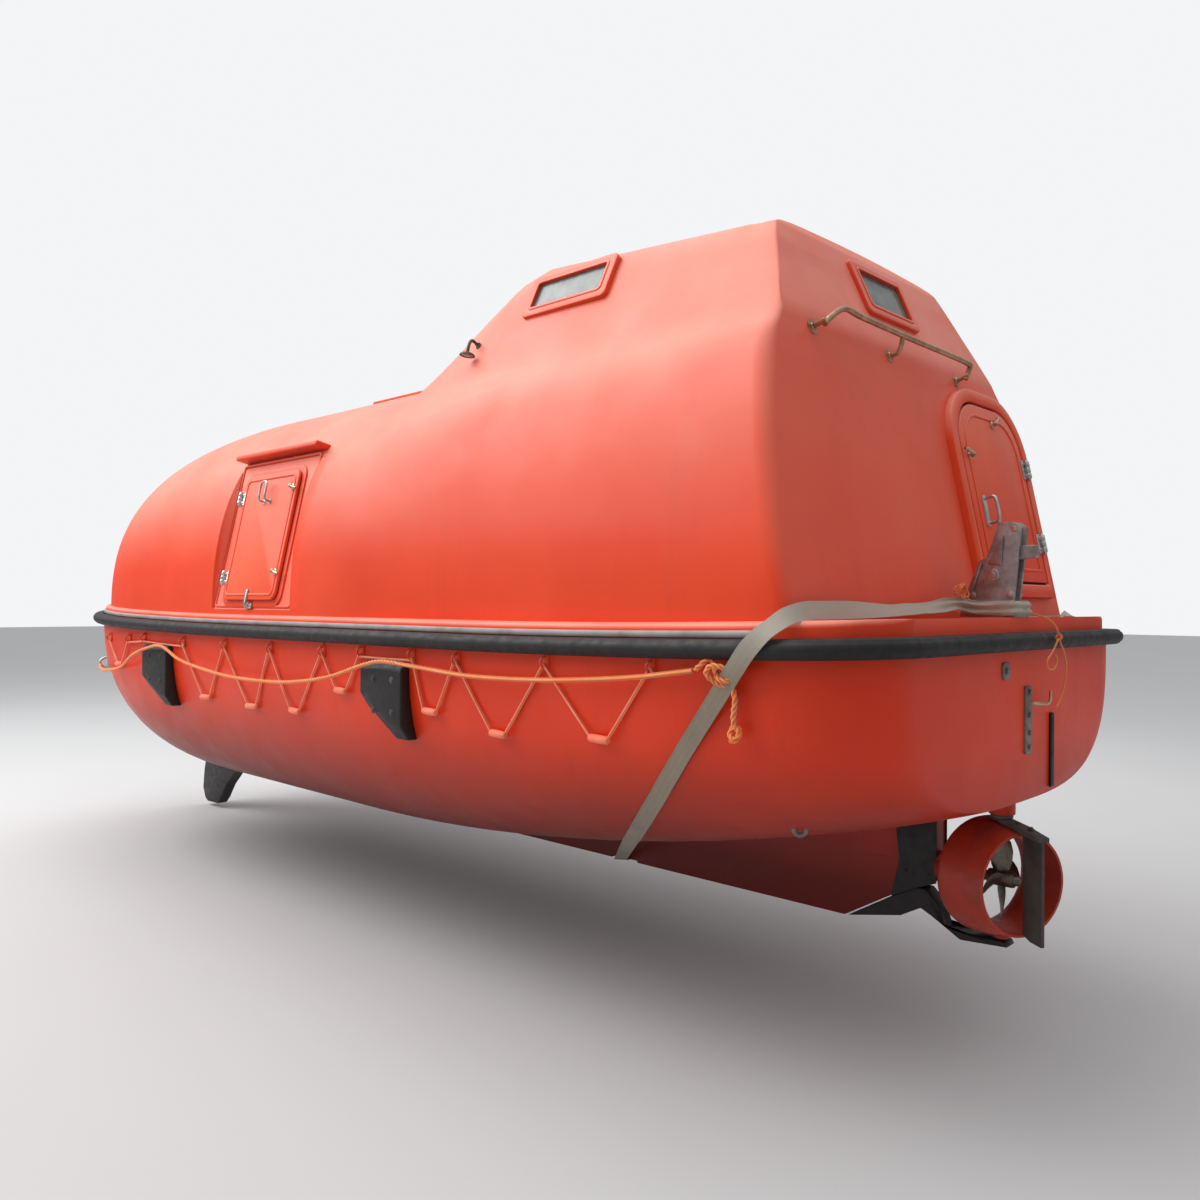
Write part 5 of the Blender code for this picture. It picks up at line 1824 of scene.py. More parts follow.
    def floats(self, side: Side) -> None:
        """The foam float in each loop of a side's lifeline.

        Args:
            side: Which side.
        """
        floats = Work()
        profile = ((0.0, -0.046), (0.009, -0.046), (0.0135, -0.040), (0.0145, -0.02), (0.0148, 0.0),
                   (0.0145, 0.02), (0.0135, 0.040), (0.009, 0.046), (0.0, 0.046))
        for x, z in self.loops:
            if z >= self.floats_below:
                continue
            point, out = HULL.skin(x, z, side)
            ahead = (HULL.skin(x + 0.04, z, side)[0] - point).normalized()
            down = 0.10 * (1 if x < 0 else -1)
            place = frame_at(point + out * 0.0165, out.cross(ahead), out) @ turn(math.degrees(down), "X")
            floats.take(spindle(profile, 20), place)
        floats.piece(f"{side.label}_line_floats", self.finishes.float, "boat", "orange_rope", (), 40)

    def eyes(self, side: Side) -> None:
        """The bolted eyes that a side's lifeline hangs from.

        Args:
            side: Which side.
        """
        eyes = Work()
        for x, z in self.loops:
            if z < self.floats_below:
                continue
            point, out = HULL.skin(x, z, side)
            place = on_skin(point, out)
            eyes.take(slab(0.026, 0.060, 0.006, 0.010, 0.002, 4), place @ shift(0, 0.012, -0.001))
            eyes.take(bent_bar(((0, 0.028, 0.004), (0, 0.026, 0.020), (0, 0.010, 0.030), (0, -0.006, 0.020),
                                (0, -0.010, 0.004)), 0.0042, 10, 20), place)
            eyes.take(bolt(0.0045, 0.003), place @ shift(0, 0.034, 0.005))
        eyes.piece(f"{side.label}_line_eyes", self.finishes.lid, "boat", "canopy_gelcoat", (), 34)

    def build(self) -> None:
        """Makes every rope."""
        self.painter()
        self.lanyard()
        for side in Side:
            self.lifeline(side)


# Mouldings


def cad_shape(node: str, flat: float = 0.02) -> Shape:
    """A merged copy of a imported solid's shape, with whole faces in place of loose triangles.

    Args:
        node: The solid's name.
        flat: Faces that meet at less than this become one, in radians.

    Returns:
        The shape.
    """
    bm = bmesh.new()
    bm.from_mesh(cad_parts[node].data)
    bmesh.ops.remove_doubles(bm, verts=bm.verts, dist=1e-5)
    bmesh.ops.dissolve_limit(bm, angle_limit=flat, verts=bm.verts, edges=bm.edges)
    return bm


def softened(node: str, radius: float, segments: int = 2, least: float = 0.5) -> Shape:
    """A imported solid's shape with its hard edges rounded.

    Args:
        node: The solid's name.
        radius: The edges' radius.
        segments: Steps across each edge.
        least: Edges sharper than this are rounded, in radians.

    Returns:
        The shape.
    """
    bm = cad_shape(node)
    bm.normal_update()
    rounded(bm, [e for e in bm.edges if len(e.link_faces) == 2 and e.calc_face_angle(0.0) > least],
            radius, segments)
    return bm


@dataclass
class HullMoulding:
    """The hull's smooth skin with its keel, skeg, stern tube and the well inside."""

    finishes: Finishes
    keel_z: float = -0.62
    keel_half: float = 0.04
    aisle_z: float = -0.30
    engine_bed_z: float = -0.14
    shaft_z: float = -0.37

    def skin(self) -> Mesh:
        """The outer form, with its well and aisle cut out.

        Returns:
            The mesh.
        """
        smooth = to_mesh(loft([HULL.ring(x) for x in HULL.stations()]))
        well = []
        for x in (-2.62, -2.3, -1.5, -0.5, 0.5, 1.5, 2.0, 2.4, 2.62):
            width, high = HULL.beam(x) - 0.17, HULL.gunwale(x) + 0.05
            half = [(x, width, high), (x, width - 0.02, 0.16), (x, width - 0.08, 0.08)]
            well.append(half + [(px, -py, pz) for px, py, pz in half[::-1]])
        floor = ((2.0, 0.2), (2.0, self.aisle_z), (-1.40, self.aisle_z), (-1.50, self.engine_bed_z),
                 (-2.42, self.engine_bed_z), (-2.42, 0.2))
        aisle = outline_plate(floor, -0.34, 0.34)
        aisle.transform(turn(90, "X"))
        mesh = carve(carve(smooth.copy(), [loft(well)]), [aisle])
        mesh.shade_smooth()
        mesh.set_sharp_from_angle(angle=math.radians(30))
        return mesh

    def keel(self) -> Shape:
        """The keel bar and skeg, with rounded edges.

        Returns:
            The bar.
        """
        seat = self.keel_z + 0.009
        outline = ((3.19, 0.24), (3.12, -0.15), (3.08, -0.45), (3.06, seat), (2.4197, seat),
                   (2.4197, self.keel_z), (-1.25, self.keel_z), (-1.25, seat), (-1.41, seat),
                   (-1.41, self.keel_z), (-2.49, self.keel_z), (-2.77, -0.455), (-2.86, -0.42),
                   (-2.86, -0.12), (-1.5, -0.30), (2.4, -0.30))
        bar = outline_plate(outline, -self.keel_half, self.keel_half, 0.009, 3)
        bar.transform(turn(90, "X"))
        return bar

    def build(self) -> None:
        """Makes the hull."""
        work = Work()
        work.bm.from_mesh(self.skin())
        work.take(self.keel())
        work.take(drum(0.041, 0.35, 0.006), shift(-2.55, 0, self.shaft_z) @ turn(-90, "Y"))
        work.take(drum(0.056, 0.035, 0.008), shift(-2.86, 0, self.shaft_z) @ turn(-90, "Y"))
        work.take(drum(0.045, 0.15, 0.004), shift(-3.085, 0, -0.145))
        work.piece("hull_moulding", self.finishes.hull, "boat", "hull_gelcoat", ("hull",), 30)
        # Thin black plates on both sides of the skeg's aft end, which shows dark.
        black_plates = Work()
        outline = ((-2.70, -0.175), (-2.866, -0.135), (-2.866, -0.425), (-2.775, -0.462), (-2.69, -0.505),
                   (-2.72, -0.36))
        for side in (-1, 1):
            cheek = outline_plate([(x, -side * z) for x, z in outline], self.keel_half + 0.0004,
                                  self.keel_half + 0.0044, 0.0015)
            black_plates.take(cheek, turn(-90 * side, "X"))
            for x, z in ((-2.745, -0.21), (-2.745, -0.40), (-2.84, -0.17), (-2.84, -0.40)):
                black_plates.take(bolt(0.006, 0.003),
                            shift(x, side * (self.keel_half + 0.0043), z) @ turn(-90 * side, "X"))
        black_plates.piece("sternpost_cheeks", self.finishes.black, "boat", "black_rubber")


@dataclass
class CanopyMoulding:
    """The canopy's smooth skin with its tower, rim, hatchways and window openings."""

    finishes: Finishes
    hatch_x: float = 0.22
    hatch_y: float = 1.035
    hatch_z: float = 0.94
    lean: float = math.radians(12.3)
    roof_hatch_x: float = 0.21

    def side_frame(self, side: Side) -> Matrix:
        """On a side hatch's panel: X aft to port and ahead to starboard, Z outwards.

        Args:
            side: Which side.

        Returns:
            The frame.
        """
        s = side.value
        up = (0.0, -s * math.sin(self.lean), math.cos(self.lean))
        return frame_at((self.hatch_x, s * self.hatch_y, self.hatch_z), (-s, 0, 0), up)

    def windows(self) -> tuple[tuple[str, Matrix, Flat], ...]:
        """Name, frame and clear size of each window.

        Returns:
            One row to each window.
        """
        return (("window_aft", frame_at((-2.607, -0.02, 1.768), (0, -1, 0), (0.17, 0, 0.385)),
                 (0.33, 0.175)),
                ("window_port", frame_at((-1.60, 0.683, 1.86), (-1, 0, 0), (0, -0.20, 0.43)), (0.41, 0.14)),
                ("window_starboard", frame_at((-1.60, -0.683, 1.86), (1, 0, 0), (0, 0.20, 0.43)),
                 (0.41, 0.14)),
                ("window_front", frame_at((-1.05, 0, 1.885), (0, 1, 0), (-0.86, 0, 0.33)), (0.62, 0.20)))

    def door_points(self, grow: float) -> list[Flat]:
        """The aft door's outline on its panel, its upper corners well rounded.

        Args:
            grow: How far it lies outside the doorway's edge.

        Returns:
            The outline's points.
        """
        inner, outer, low, high, radius = 0.29 - grow, 0.90 + grow, 0.12 - grow, 0.86 + grow, 0.20 + grow
        points = [(inner, low), (outer, low)]
        for centre, first in ((outer - radius, 0), (inner + radius, 90)):
            for step in range(13):
                angle = math.radians(first + 7.5 * step)
                points.append((centre + radius * math.cos(angle), high - radius + radius * math.sin(angle)))
        return points

    def build(self) -> None:
        """Makes the canopy."""
        smooth = to_mesh(self.closed_aft(loft(CANOPY.outer_rings(), ends=False)))
        inner = to_mesh(loft(CANOPY.inner_rings()))
        coamings = []
        recesses = []
        openings = []
        for side in Side:
            place = self.side_frame(side)
            slab_form = block((0.90, 0.88, 0.10))
            slab_form.transform(place @ shift(0, 0.01, 0))
            coamings.append(slab_form)
            recess = block((0.80, 0.80, 0.30), 0.004)
            recess.transform(place @ shift(0, -0.01, 0.15))
            recesses.append(recess)
            hole = outline_plate(rounded_points(0.46, 0.58, 0.04, 4, (-side.value * 0.01, -0.035)), -0.2,
                                 0.2)
            hole.transform(place)
            openings.append(hole)
        for _, place, (width, height) in self.windows():
            hole = outline_plate(rounded_points(width, height, 0.02, 4), -0.2, 0.2)
            hole.transform(place)
            openings.append(hole)
        hatchway = outline_plate(rounded_points(0.44, 0.44, 0.04), 1.5, 1.8)
        hatchway.transform(shift(self.roof_hatch_x))
        openings.append(hatchway)
        doorway = outline_plate(self.door_points(-0.035), -0.2, 0.1)
        doorway.transform(CANOPY.aft_frame())
        openings.append(doorway)
        notch = block((0.59, 0.40, 1.2), 0.006)
        notch.transform(shift(2.81 + 0.295, 0, CANOPY.deck(3.0) - 0.002 + 0.6))
        inside = Work()
        inside.bm.from_mesh(carve(inner, coamings))
        tool = inside.bm.copy()
        mesh = carve(smooth.copy(), [inside.bm])
        mesh = carve(mesh, recesses)
        mesh = carve(mesh, [*openings, notch.copy()])
        mesh.shade_smooth()
        mesh.set_sharp_from_angle(angle=math.radians(30))
        lend_normals(mesh, smooth)
        dress(mesh, "canopy_moulding", self.finishes.canopy, "boat", ("canopy",), 30)
        plate = carve(carve(to_mesh(loft(CANOPY.plate_rings())), [tool]), [notch])
        dress(plate, "deck_rim", self.finishes.canopy, "boat", (), 30)

    def closed_aft(self, bm: Shape) -> Shape:
        """Closes the skin: the aft face by strips from side to side, and the bow's narrow end.

        Args:
            bm: The open skin.

        Returns:
            The closed skin.
        """
        rim = [e for e in bm.edges if len(e.link_faces) == 1]
        aft = [e for e in rim if all(v.co.x < -2.4 and v.co.y > -1e-6 for v in e.verts)]
        made = bmesh.ops.extrude_edge_only(bm, edges=aft)["geom"]
        bmesh.ops.scale(bm, vec=(1, -1, 1), verts=corners(made))
        bmesh.ops.remove_doubles(bm, verts=bm.verts, dist=1e-5)
        bmesh.ops.contextual_create(bm,
                                    geom=[e for e in bm.edges
                                          if len(e.link_faces) == 1 and e.verts[0].co.x > 0])
        rest = [e for e in bm.edges if len(e.link_faces) == 1]
        if rest:
            bmesh.ops.contextual_create(bm, geom=rest)
        bmesh.ops.recalc_face_normals(bm, faces=bm.faces)
        return bm


# Hatches and windows


def hinge(length: float, bar: float, leaf: float) -> tuple[Work, Work]:
    """A butt hinge with its pin along Y, as the moving leaf towards -X and the fixed one.

    Args:
        length: The barrel's length.
        bar: The barrel's radius.
        leaf: How far each leaf reaches from the pin.

    Returns:
        The moving part and the fixed part.
    """
    moving, fixed = Work(), Work()
    for work, way, spans in ((moving, -1, ((-0.5, -0.18), (0.18, 0.5))), (fixed, 1, ((-0.17, 0.17),))):
        for low, high in spans:
            work.take(drum(bar, (high - low) * length, bar * 0.2, 24),
                      shift(0, low * length) @ turn(-90, "X"))
        plate = slab(leaf, length * 1.15, 0.005, 0.004, 0.0012, 3)
        work.take(plate, shift(way * leaf / 2, 0, -bar))
        for y in (-0.33, 0.33):
            work.take(bolt(0.0055, 0.004), shift(way * leaf * 0.66, y * length, -bar + 0.005))
    for y in (-0.5, 0.5):
        moving.take(spindle(((0, 0), (bar * 0.75, 0), (bar * 0.6, bar * 0.5), (0, bar * 0.7)), 16),
                    shift(0, y * length * 1.01) @ turn(-90 if y > 0 else 90, "X"))
    return moving, fixed


def hang(name: str, number: int, body: str, finish: Material, sizes: tuple[float, float, float],
         where: Matrix, pad: Shape | None = None) -> None:
    """Fits a hinge, its moving leaf on a body and its fixed one on the boat.

    Args:
        name: What it hangs.
        number: Which of its hinges it is.
        body: The body that swings.
        finish: The hinge's material.
        sizes: The barrel's length and radius, and the leaves' reach.
        where: The pin's frame.
        pad: What the fixed leaf stands on, in that frame.
    """
    moving, still = hinge(*sizes)
    for work, rides, part in ((moving, body, "leaf"), (still, "boat", "base")):
        work.bm.transform(where)
        if pad and part == "base":
            work.take(pad, where)
        work.piece(f"{name}_hinge_{part}_{number}", finish, rides, "fitting_steel")


def toggle(reach: float) -> Work:
    """A dog: a turning bar on its boss, pointing along X.

    Args:
        reach: How far the bar reaches.

    Returns:
        The dog.
    """
    work = Work()
    work.take(spindle(((0, 0), (0.016, 0), (0.016, 0.004), (0.010, 0.008), (0.010, 0.018), (0.0, 0.018)),
                      24))
    work.take(bent_bar(((-0.008, 0, 0.016), (0.010, 0, 0.019), (reach * 0.7, 0, 0.019), (reach, 0, 0.013)),
                       0.0065, 12, 12))
    work.take(bolt(0.0075, 0.006), shift(0, 0, 0.020))
    return work


@dataclass
class SideHatch:
    """One side's hatch: hood, coaming, gasket, lid, hinges, dogs, handle and latch."""

    finishes: Finishes
    moulding: CanopyMoulding
    side: Side
    lid: Flat = (0.54, 0.66)
    lid_y: float = -0.035
    thick: float = 0.028
    hood: Point = (0.82, 0.030, 0.104)
    hinge_height: float = 0.039
    hinge_ys: Flat = (0.175, -0.25)
    latch_y: float = -0.392

    def build(self) -> None:
        """Makes the hatch."""
        s = self.side.value
        ahead = -s
        at = self.moulding.side_frame(self.side)
        label, body = self.side.label, f"{self.side.label}_side_hatch"
        f = self.finishes
        centre = (ahead * 0.01, self.lid_y)

        fixed = Work()
        fixed.take(block(self.hood, 0.007, 3), at @ shift(0, 0.406, 0.0025))
        fixed.take(border(rounded_pair(0.60, 0.72, 0.062, 0.065, 6, centre), -0.004, 0.0085, 0.003), at)
        fixed.take(border(rounded_pair(0.785, 0.775, 0.02, 0.012, 3, (0, -0.012)), -0.004, 0.006, 0.0025),
                   at)
        fixed.piece(f"{label}_hatch_coaming", f.canopy, "boat", "canopy_gelcoat")

        seal = Work()
        seal.take(border(rounded_pair(0.534, 0.654, 0.042, 0.035, 6, centre), 0.001, 0.0125, 0.002), at)
        seal.piece(f"{label}_hatch_seal", f.gasket, "boat", "black_rubber")

        lid = Work()
        panel = outline_plate(rounded_points(self.lid[0], self.lid[1], 0.045, 6, centre), 0.0115,
                              self.thick, 0.005, 3)
        lid.take(panel, at)
        lid.take(border(rounded_pair(0.50, 0.62, 0.036, 0.012, 6, centre), self.thick - 0.002,
                        self.thick + 0.0035, 0.0025), at)
        lid.piece(f"{label}_hatch_lid", f.lid, body, "canopy_gelcoat", (f"{label}_hatch",))

        hinge_x = ahead * (0.01 + self.lid[0] / 2 + 0.012)
        for number, y in enumerate(self.hinge_ys):
            pad = slab(0.04, 0.075, 0.0275, 0.004, 0.003, 3)
            pad.transform(shift(0.019, 0, -self.hinge_height))
            hang(f"{label}_hatch", number, body, f.chrome, (0.062, 0.0115, 0.034),
                 at @ shift(hinge_x, y, self.hinge_height) @ turn(0 if ahead > 0 else 180, "Z"), pad)

        handle = Work()
        top = self.thick
        half = [(-0.030, 0.145, top), (-0.030, 0.145, top + 0.026), (-0.030, 0.160, top + 0.034),
                (-0.030, 0.215, top + 0.036), (-0.018, 0.238, top + 0.036)]
        loop = half + [(-x, y, z) for x, y, z in half[::-1]]
        handle.take(bent_bar(loop, 0.0055, 12, 48), at @ shift(centre[0]))
        for x in (-0.030, 0.030):
            handle.take(spindle(((0, 0), (0.014, 0), (0.013, 0.004), (0, 0.005)), 20),
                        at @ shift(centre[0] + x, 0.145, top))
        handle.piece(f"{label}_hatch_handle", f.steel, body, "fitting_steel")

        dogs = Work()
        for y in (0.205, -0.225):
            dogs.take(toggle(0.052).bm,
                      at @ shift(s * 0.225, y, top) @ turn(0 if s > 0 else 180, "Z") @ turn(-14, "Z"))
        dogs.piece(f"{label}_hatch_dogs", f.brass, body, "fitting_steel")

        latch = Work()
        latch.take(slab(0.070, 0.030, 0.008, 0.004, 0.002, 3), at @ shift(centre[0], self.latch_y, 0.008))
        latch.take(slab(0.020, 0.080, 0.010, 0.006, 0.003, 4),
                   at @ shift(centre[0], self.latch_y + 0.040, top))
        latch.take(drum(0.006, 0.030, 0.001, 16),
                   at @ shift(centre[0] - 0.015, self.latch_y, 0.022) @ turn(90, "Y"))
        for x in (-0.025, 0.025):
            latch.take(bolt(0.005, 0.004), at @ shift(centre[0] + x, self.latch_y, 0.016))
        latch.piece(f"{label}_hatch_latch", f.steel, body, "fitting_steel")


@dataclass
class AftDoor:
    """The door on the starboard side of the tower's aft face."""

    finishes: Finishes
    moulding: CanopyMoulding
    thick: float = 0.028

    def build(self) -> None:
        """Makes the door with its lip, seal and fittings."""
        at, f, top = CANOPY.aft_frame(), self.finishes, self.thick
        lip = Work()
        lip.take(border((self.moulding.door_points(0.065), self.moulding.door_points(0.009)), -0.03, 0.030,
                        0.008), at)
        lip.piece("aft_door_lip", f.lid, "boat", "canopy_gelcoat")
        seal = Work()
        seal.take(border((self.moulding.door_points(0.0085), self.moulding.door_points(-0.022)), 0.0005,
                         0.011, 0.002), at)
        seal.piece("aft_door_seal", f.gasket, "boat", "black_rubber")
        door = Work()
        door.take(outline_plate(self.moulding.door_points(-0.001), 0.012, top, 0.006, 3), at)
        door.take(border((self.moulding.door_points(-0.045), self.moulding.door_points(-0.057)),
                         top - 0.002, top + 0.004, 0.0025), at)
        door.piece("aft_door_leaf_panel", f.lid, "aft_door_leaf", "canopy_gelcoat", ("aft_door",))
        for number, y in enumerate((0.62, 0.29)):
            hang("aft_door", number, "aft_door_leaf", f.steel, (0.075, 0.0115, 0.040),
                 at @ shift(0.912, y, 0.039))
        dogs = Work()
        for x, y, turned in ((0.637, 0.79, 35), (0.345, 0.624, 160)):
            dogs.take(toggle(0.060).bm, at @ shift(x, y, top) @ turn(turned, "Z"))
        dogs.piece("aft_door_dogs", f.brass, "aft_door_leaf", "fitting_steel")
        grip = Work()
        grip.take(slab(0.030, 0.13, 0.006, 0.012, 0.002, 4), at @ shift(0.395, 0.40, top))
        grip.take(bent_bar(((0.395, 0.35, top + 0.004), (0.395, 0.35, top + 0.04),
                            (0.395, 0.37, top + 0.048), (0.395, 0.43, top + 0.048),
                            (0.395, 0.45, top + 0.04), (0.395, 0.45, top + 0.004)),
                           0.007, 14, 30), at)
        grip.piece("aft_door_grip", f.steel, "aft_door_leaf", "fitting_steel")


@dataclass
class RoofHatch:
    """The square hatch on the roof, ahead of the tower."""

    finishes: Finishes
    x: float = 0.21
    base: float = 1.708
    size: float = 0.54

    def build(self) -> None:
        """Makes the coaming, seal, lid and hinges."""
        f = self.finishes
        at = shift(self.x)
        coaming = Work()
        coaming.take(border(rounded_pair(self.size + 0.06, self.size + 0.06, 0.06, 0.055, 6), 1.60,
                            self.base, 0.007), at)
        coaming.piece("roof_hatch_coaming", f.canopy, "boat", "canopy_gelcoat")
        seal = Work()
        seal.take(border(rounded_pair(self.size - 0.006, self.size - 0.006, 0.047, 0.04, 6),
                         self.base - 0.001, self.base + 0.010, 0.002), at)
        seal.piece("roof_hatch_seal", f.gasket, "boat", "black_rubber")
        lid = Work()
        lid.take(outline_plate(rounded_points(self.size, self.size, 0.05, 6), self.base + 0.009,
                               self.base + 0.030, 0.007, 3), at)
        lid.take(outline_plate(rounded_points(self.size - 0.12, self.size - 0.12, 0.03, 6),
                               self.base + 0.028, self.base + 0.0345, 0.004, 2), at)
        lid.piece("roof_hatch_lid_panel", f.lid, "roof_hatch_lid", "canopy_gelcoat", ("roof_hatch",))
        for number, y in enumerate((-0.16, 0.16)):
            pad = slab(0.032, 0.07, 0.034, 0.004, 0.003, 3)
            pad.transform(shift(0.016, 0, -0.045))
            hang("roof_hatch", number, "roof_hatch_lid", f.steel, (0.06, 0.010, 0.032),
                 shift(self.x + self.size / 2 + 0.012, y, self.base + 0.041), pad)
        dog = Work()
        dog.take(toggle(0.06).bm, shift(self.x - 0.22, 0, self.base + 0.030) @ turn(180, "Z"))
        dog.piece("roof_hatch_dog", f.brass, "roof_hatch_lid", "fitting_steel")


@dataclass
class Windows:
    """The tower's windows: moulded rims with a bead round each pane."""

    finishes: Finishes
    moulding: CanopyMoulding

    def build(self) -> None:
        """Makes the rims, beads and panes."""
        f = self.finishes
        for name, at, (width, height) in self.moulding.windows():
            rim = Work()
            rim.take(border(rounded_pair(width + 0.07, height + 0.07, 0.025, 0.036, 5), -0.05, 0.014,
                            0.005), at)
            rim.piece(f"{name}_rim", f.lid, "boat", "canopy_gelcoat")
            bead = Work()
            bead.take(border(rounded_pair(width + 0.010, height + 0.010, 0.022, 0.013, 5), 0.0015, 0.0175,
                             0.003), at)
            bead.piece(f"{name}_bead", f.lid, "boat", "canopy_gelcoat")
            pane = Work()
            pane.take(outline_plate(rounded_points(width - 2 * GAP, height - 2 * GAP, 0.0197, 5), -0.012,
                                    0.002, 0.0005, 1), at)
            pane.piece(f"{name}_pane", f.pane, "boat", "window_glass", (name,))


# Strap, hooks and rails


@dataclass
class BellyStrap:
    """The webbing strap, from the aft hook over each quarter, down the side and under the keel."""

    finishes: Finishes
    hook_x: float = -2.95
    width: float = 0.058
    thick: float = 0.0026
    lanes: int = 10
    spacing: float = 0.012
    shares: tuple[float, ...] = (0.0, 0.035, 0.1, 0.205, 0.359, 0.468, 0.588, 0.667, 0.7335, 1.0)
    places: tuple[float, ...] = (-2.76, -2.70, -2.631, -2.533, -2.376, -2.252, -2.103, -1.995, -1.89, -1.33)

    def over_deck(self) -> list[tuple[Vector, Vector]]:
        """From the middle of the hook's after face to the rail: places, and directions across.

        Returns:
            Each place and direction.
        """
        deck = CANOPY.deck(self.hook_x)
        edge = HULL.beam(-2.94)
        return [(Vector((x, y, deck + z)), Vector(across)) for x, y, z, across in (
            (-3.158, 0.0, 0.036, (0, 0, 1)), (-3.158, 0.055, 0.036, (0, 0, 1)),
            (-3.150, 0.070, 0.036, (0, 0, 1)), (-3.130, 0.076, 0.036, (0, 0, 1)),
            (-3.06, 0.077, 0.040, (0, 0, 1)), (-3.00, 0.080, 0.048, (0, 0, 1)),
            (-2.980, 0.096, 0.052, (0.1, 0, 1)), (-2.972, 0.130, 0.048, (0.3, 0, 1)),
            (-2.965, 0.30, 0.038, (0.75, 0, 0.55)), (-2.96, 0.55, 0.030, (0.8, 0, 0.6)),
            (-2.955, 0.82, 0.031, (0.35, 0, 0.94)), (-2.945, edge - 0.07, 0.029, (0.35, 0, 0.94)),
            (-2.932, edge + 0.012, 0.014, (0.7, 0.1, 0.7)), (-2.915, edge + 0.052, -0.012, (0.9, 0.1, 0.4)),
            (-2.89, edge + 0.074, -0.036, (1, 0.1, 0)))]

    def down_side(self) -> list[tuple[Vector, Vector]]:
        """From the rail under the keel, pulled taut over the hull's round.

        Returns:
            Each place and direction.
        """
        count, chain = 60, []
        points = [Vector((-2.85, HULL.beam(-2.85) + 0.076, HULL.gunwale(-2.85) + 0.004))]
        for i in range(1, count):
            x = float(np.interp(i / count, self.shares, self.places))
            _, y, z = HULL.ring(x, count)[i]
            points.append(Vector((x, y + 0.0055, z - 0.0055)))
        points.append(Vector((self.places[-1], 0.068, -0.6145)))
        for point in points:
            while len(chain) > 1:
                ahead, after = chain[-1] - chain[-2], point - chain[-1]
                if ahead.y * after.z - ahead.z * after.y < 0:
                    break
                chain.pop()
            chain.append(point)
        found = []
        for i, point in enumerate(chain):
            along = chain[min(i + 1, len(chain) - 1)] - chain[max(i - 1, 0)]
            found.append((point, along.cross(Vector((0, -along.z, along.y))).normalized()))
        last = found[-1][1]
        return found[:-1] + [(chain[-1], Vector((last.x, last.y, 0)).normalized())]

    def line(self) -> tuple[np.ndarray, np.ndarray]:
        """The band's middle line round the boat, evenly spaced and eased, and its direction across.

        Returns:
            The line's points, and the directions.
        """
        half = self.over_deck() + self.down_side()
        deck = CANOPY.deck(self.hook_x)
        for place, way in half[::-1]:
            place, way = Vector((place.x, -place.y, place.z)), Vector((way.x, -way.y, way.z))
            if place.z > deck and -HULL.beam(-2.94) < place.y < -0.12:
                lie = float(np.interp(-place.y, (0.12, 0.30), (0.3, 1.0)))
                place.z += (deck + 0.006 - place.z) * lie
                way = way.lerp(Vector((1, 0, 0)), lie).normalized()
            half.append((place, way))
        given = np.array([tuple(p) for p, _ in half])
        ways = np.array([tuple(a.normalized()) for _, a in half])
        at = travelled(given)
        wanted = np.linspace(0, at[-1], int(at[-1] / self.spacing))
        line, across = spaced(given, at, wanted), spaced(ways, at, wanted)
        for kind, passes in ((line, 3), (across, 10)):
            for _ in range(passes):
                kind[1:-1] = kind[1:-1] * 0.5 + (kind[:-2] + kind[2:]) * 0.25
        return line, across

    def build(self) -> None:
        """Makes the strap, gathered in folds round the hook's foot."""
        line, across = self.line()
        along_line, rows = travelled(line), len(line)
        bm = bmesh.new()
        bmesh.ops.create_grid(bm, x_segments=self.lanes, y_segments=rows - 1, size=0.5)
        chart = bm.loops.layers.uv.new("UVMap")
        for face in bm.faces:
            for corner in face.loops:
                row = round((corner.vert.co.y + 0.5) * (rows - 1))
                corner[chart].uv = (corner.vert.co.x * self.width, along_line[row])
        for vert in bm.verts:
            row, share = round((vert.co.y + 0.5) * (rows - 1)), vert.co.x
            along = Vector(line[(row + 1) % rows] - line[row - 1] if 0 < row < rows - 1
                           else (0, 1, 0)).normalized()
            side = Vector(across[row])
            side = (side - along * side.dot(along)).normalized()
            out = side.cross(along)
            reach = min(along_line[row], along_line[-1] - along_line[row])
            folded = float(np.interp(reach, (0.0, 0.10, 0.19, 0.26, 0.42, 0.8),
                                     (0.8, 0.6, 1.1, 1.0, 0.2, 0.0)))
            narrow = 1 - 0.20 * folded
            folds = 0.5 - 0.5 * math.cos(2 * math.pi * (1.9 * share + 0.95) + 7 * reach)
            sway = 0.0045 * math.sin(23 * reach) * folded
            crease = 0.004 * math.sin(52 * reach + 4.0 * share) * folded
            vert.co = (Vector(line[row]) + side * (share * self.width * narrow + sway)
                       + out * (0.013 * folded * folds + max(crease, -0.002)
                                + 0.0016 * math.sin(31 * reach + 5 * share) * min(folded + 0.12, 1.0)))
        bmesh.ops.remove_doubles(bm, verts=bm.verts, dist=1e-4)
        bmesh.ops.recalc_face_normals(bm, faces=bm.faces)
        bmesh.ops.solidify(bm, geom=list(bm.faces), thickness=self.thick)
        dress(to_mesh(bm), "belly_strap_webbing", self.finishes.webbing, "boat",
              ("belly_strap",), 55)


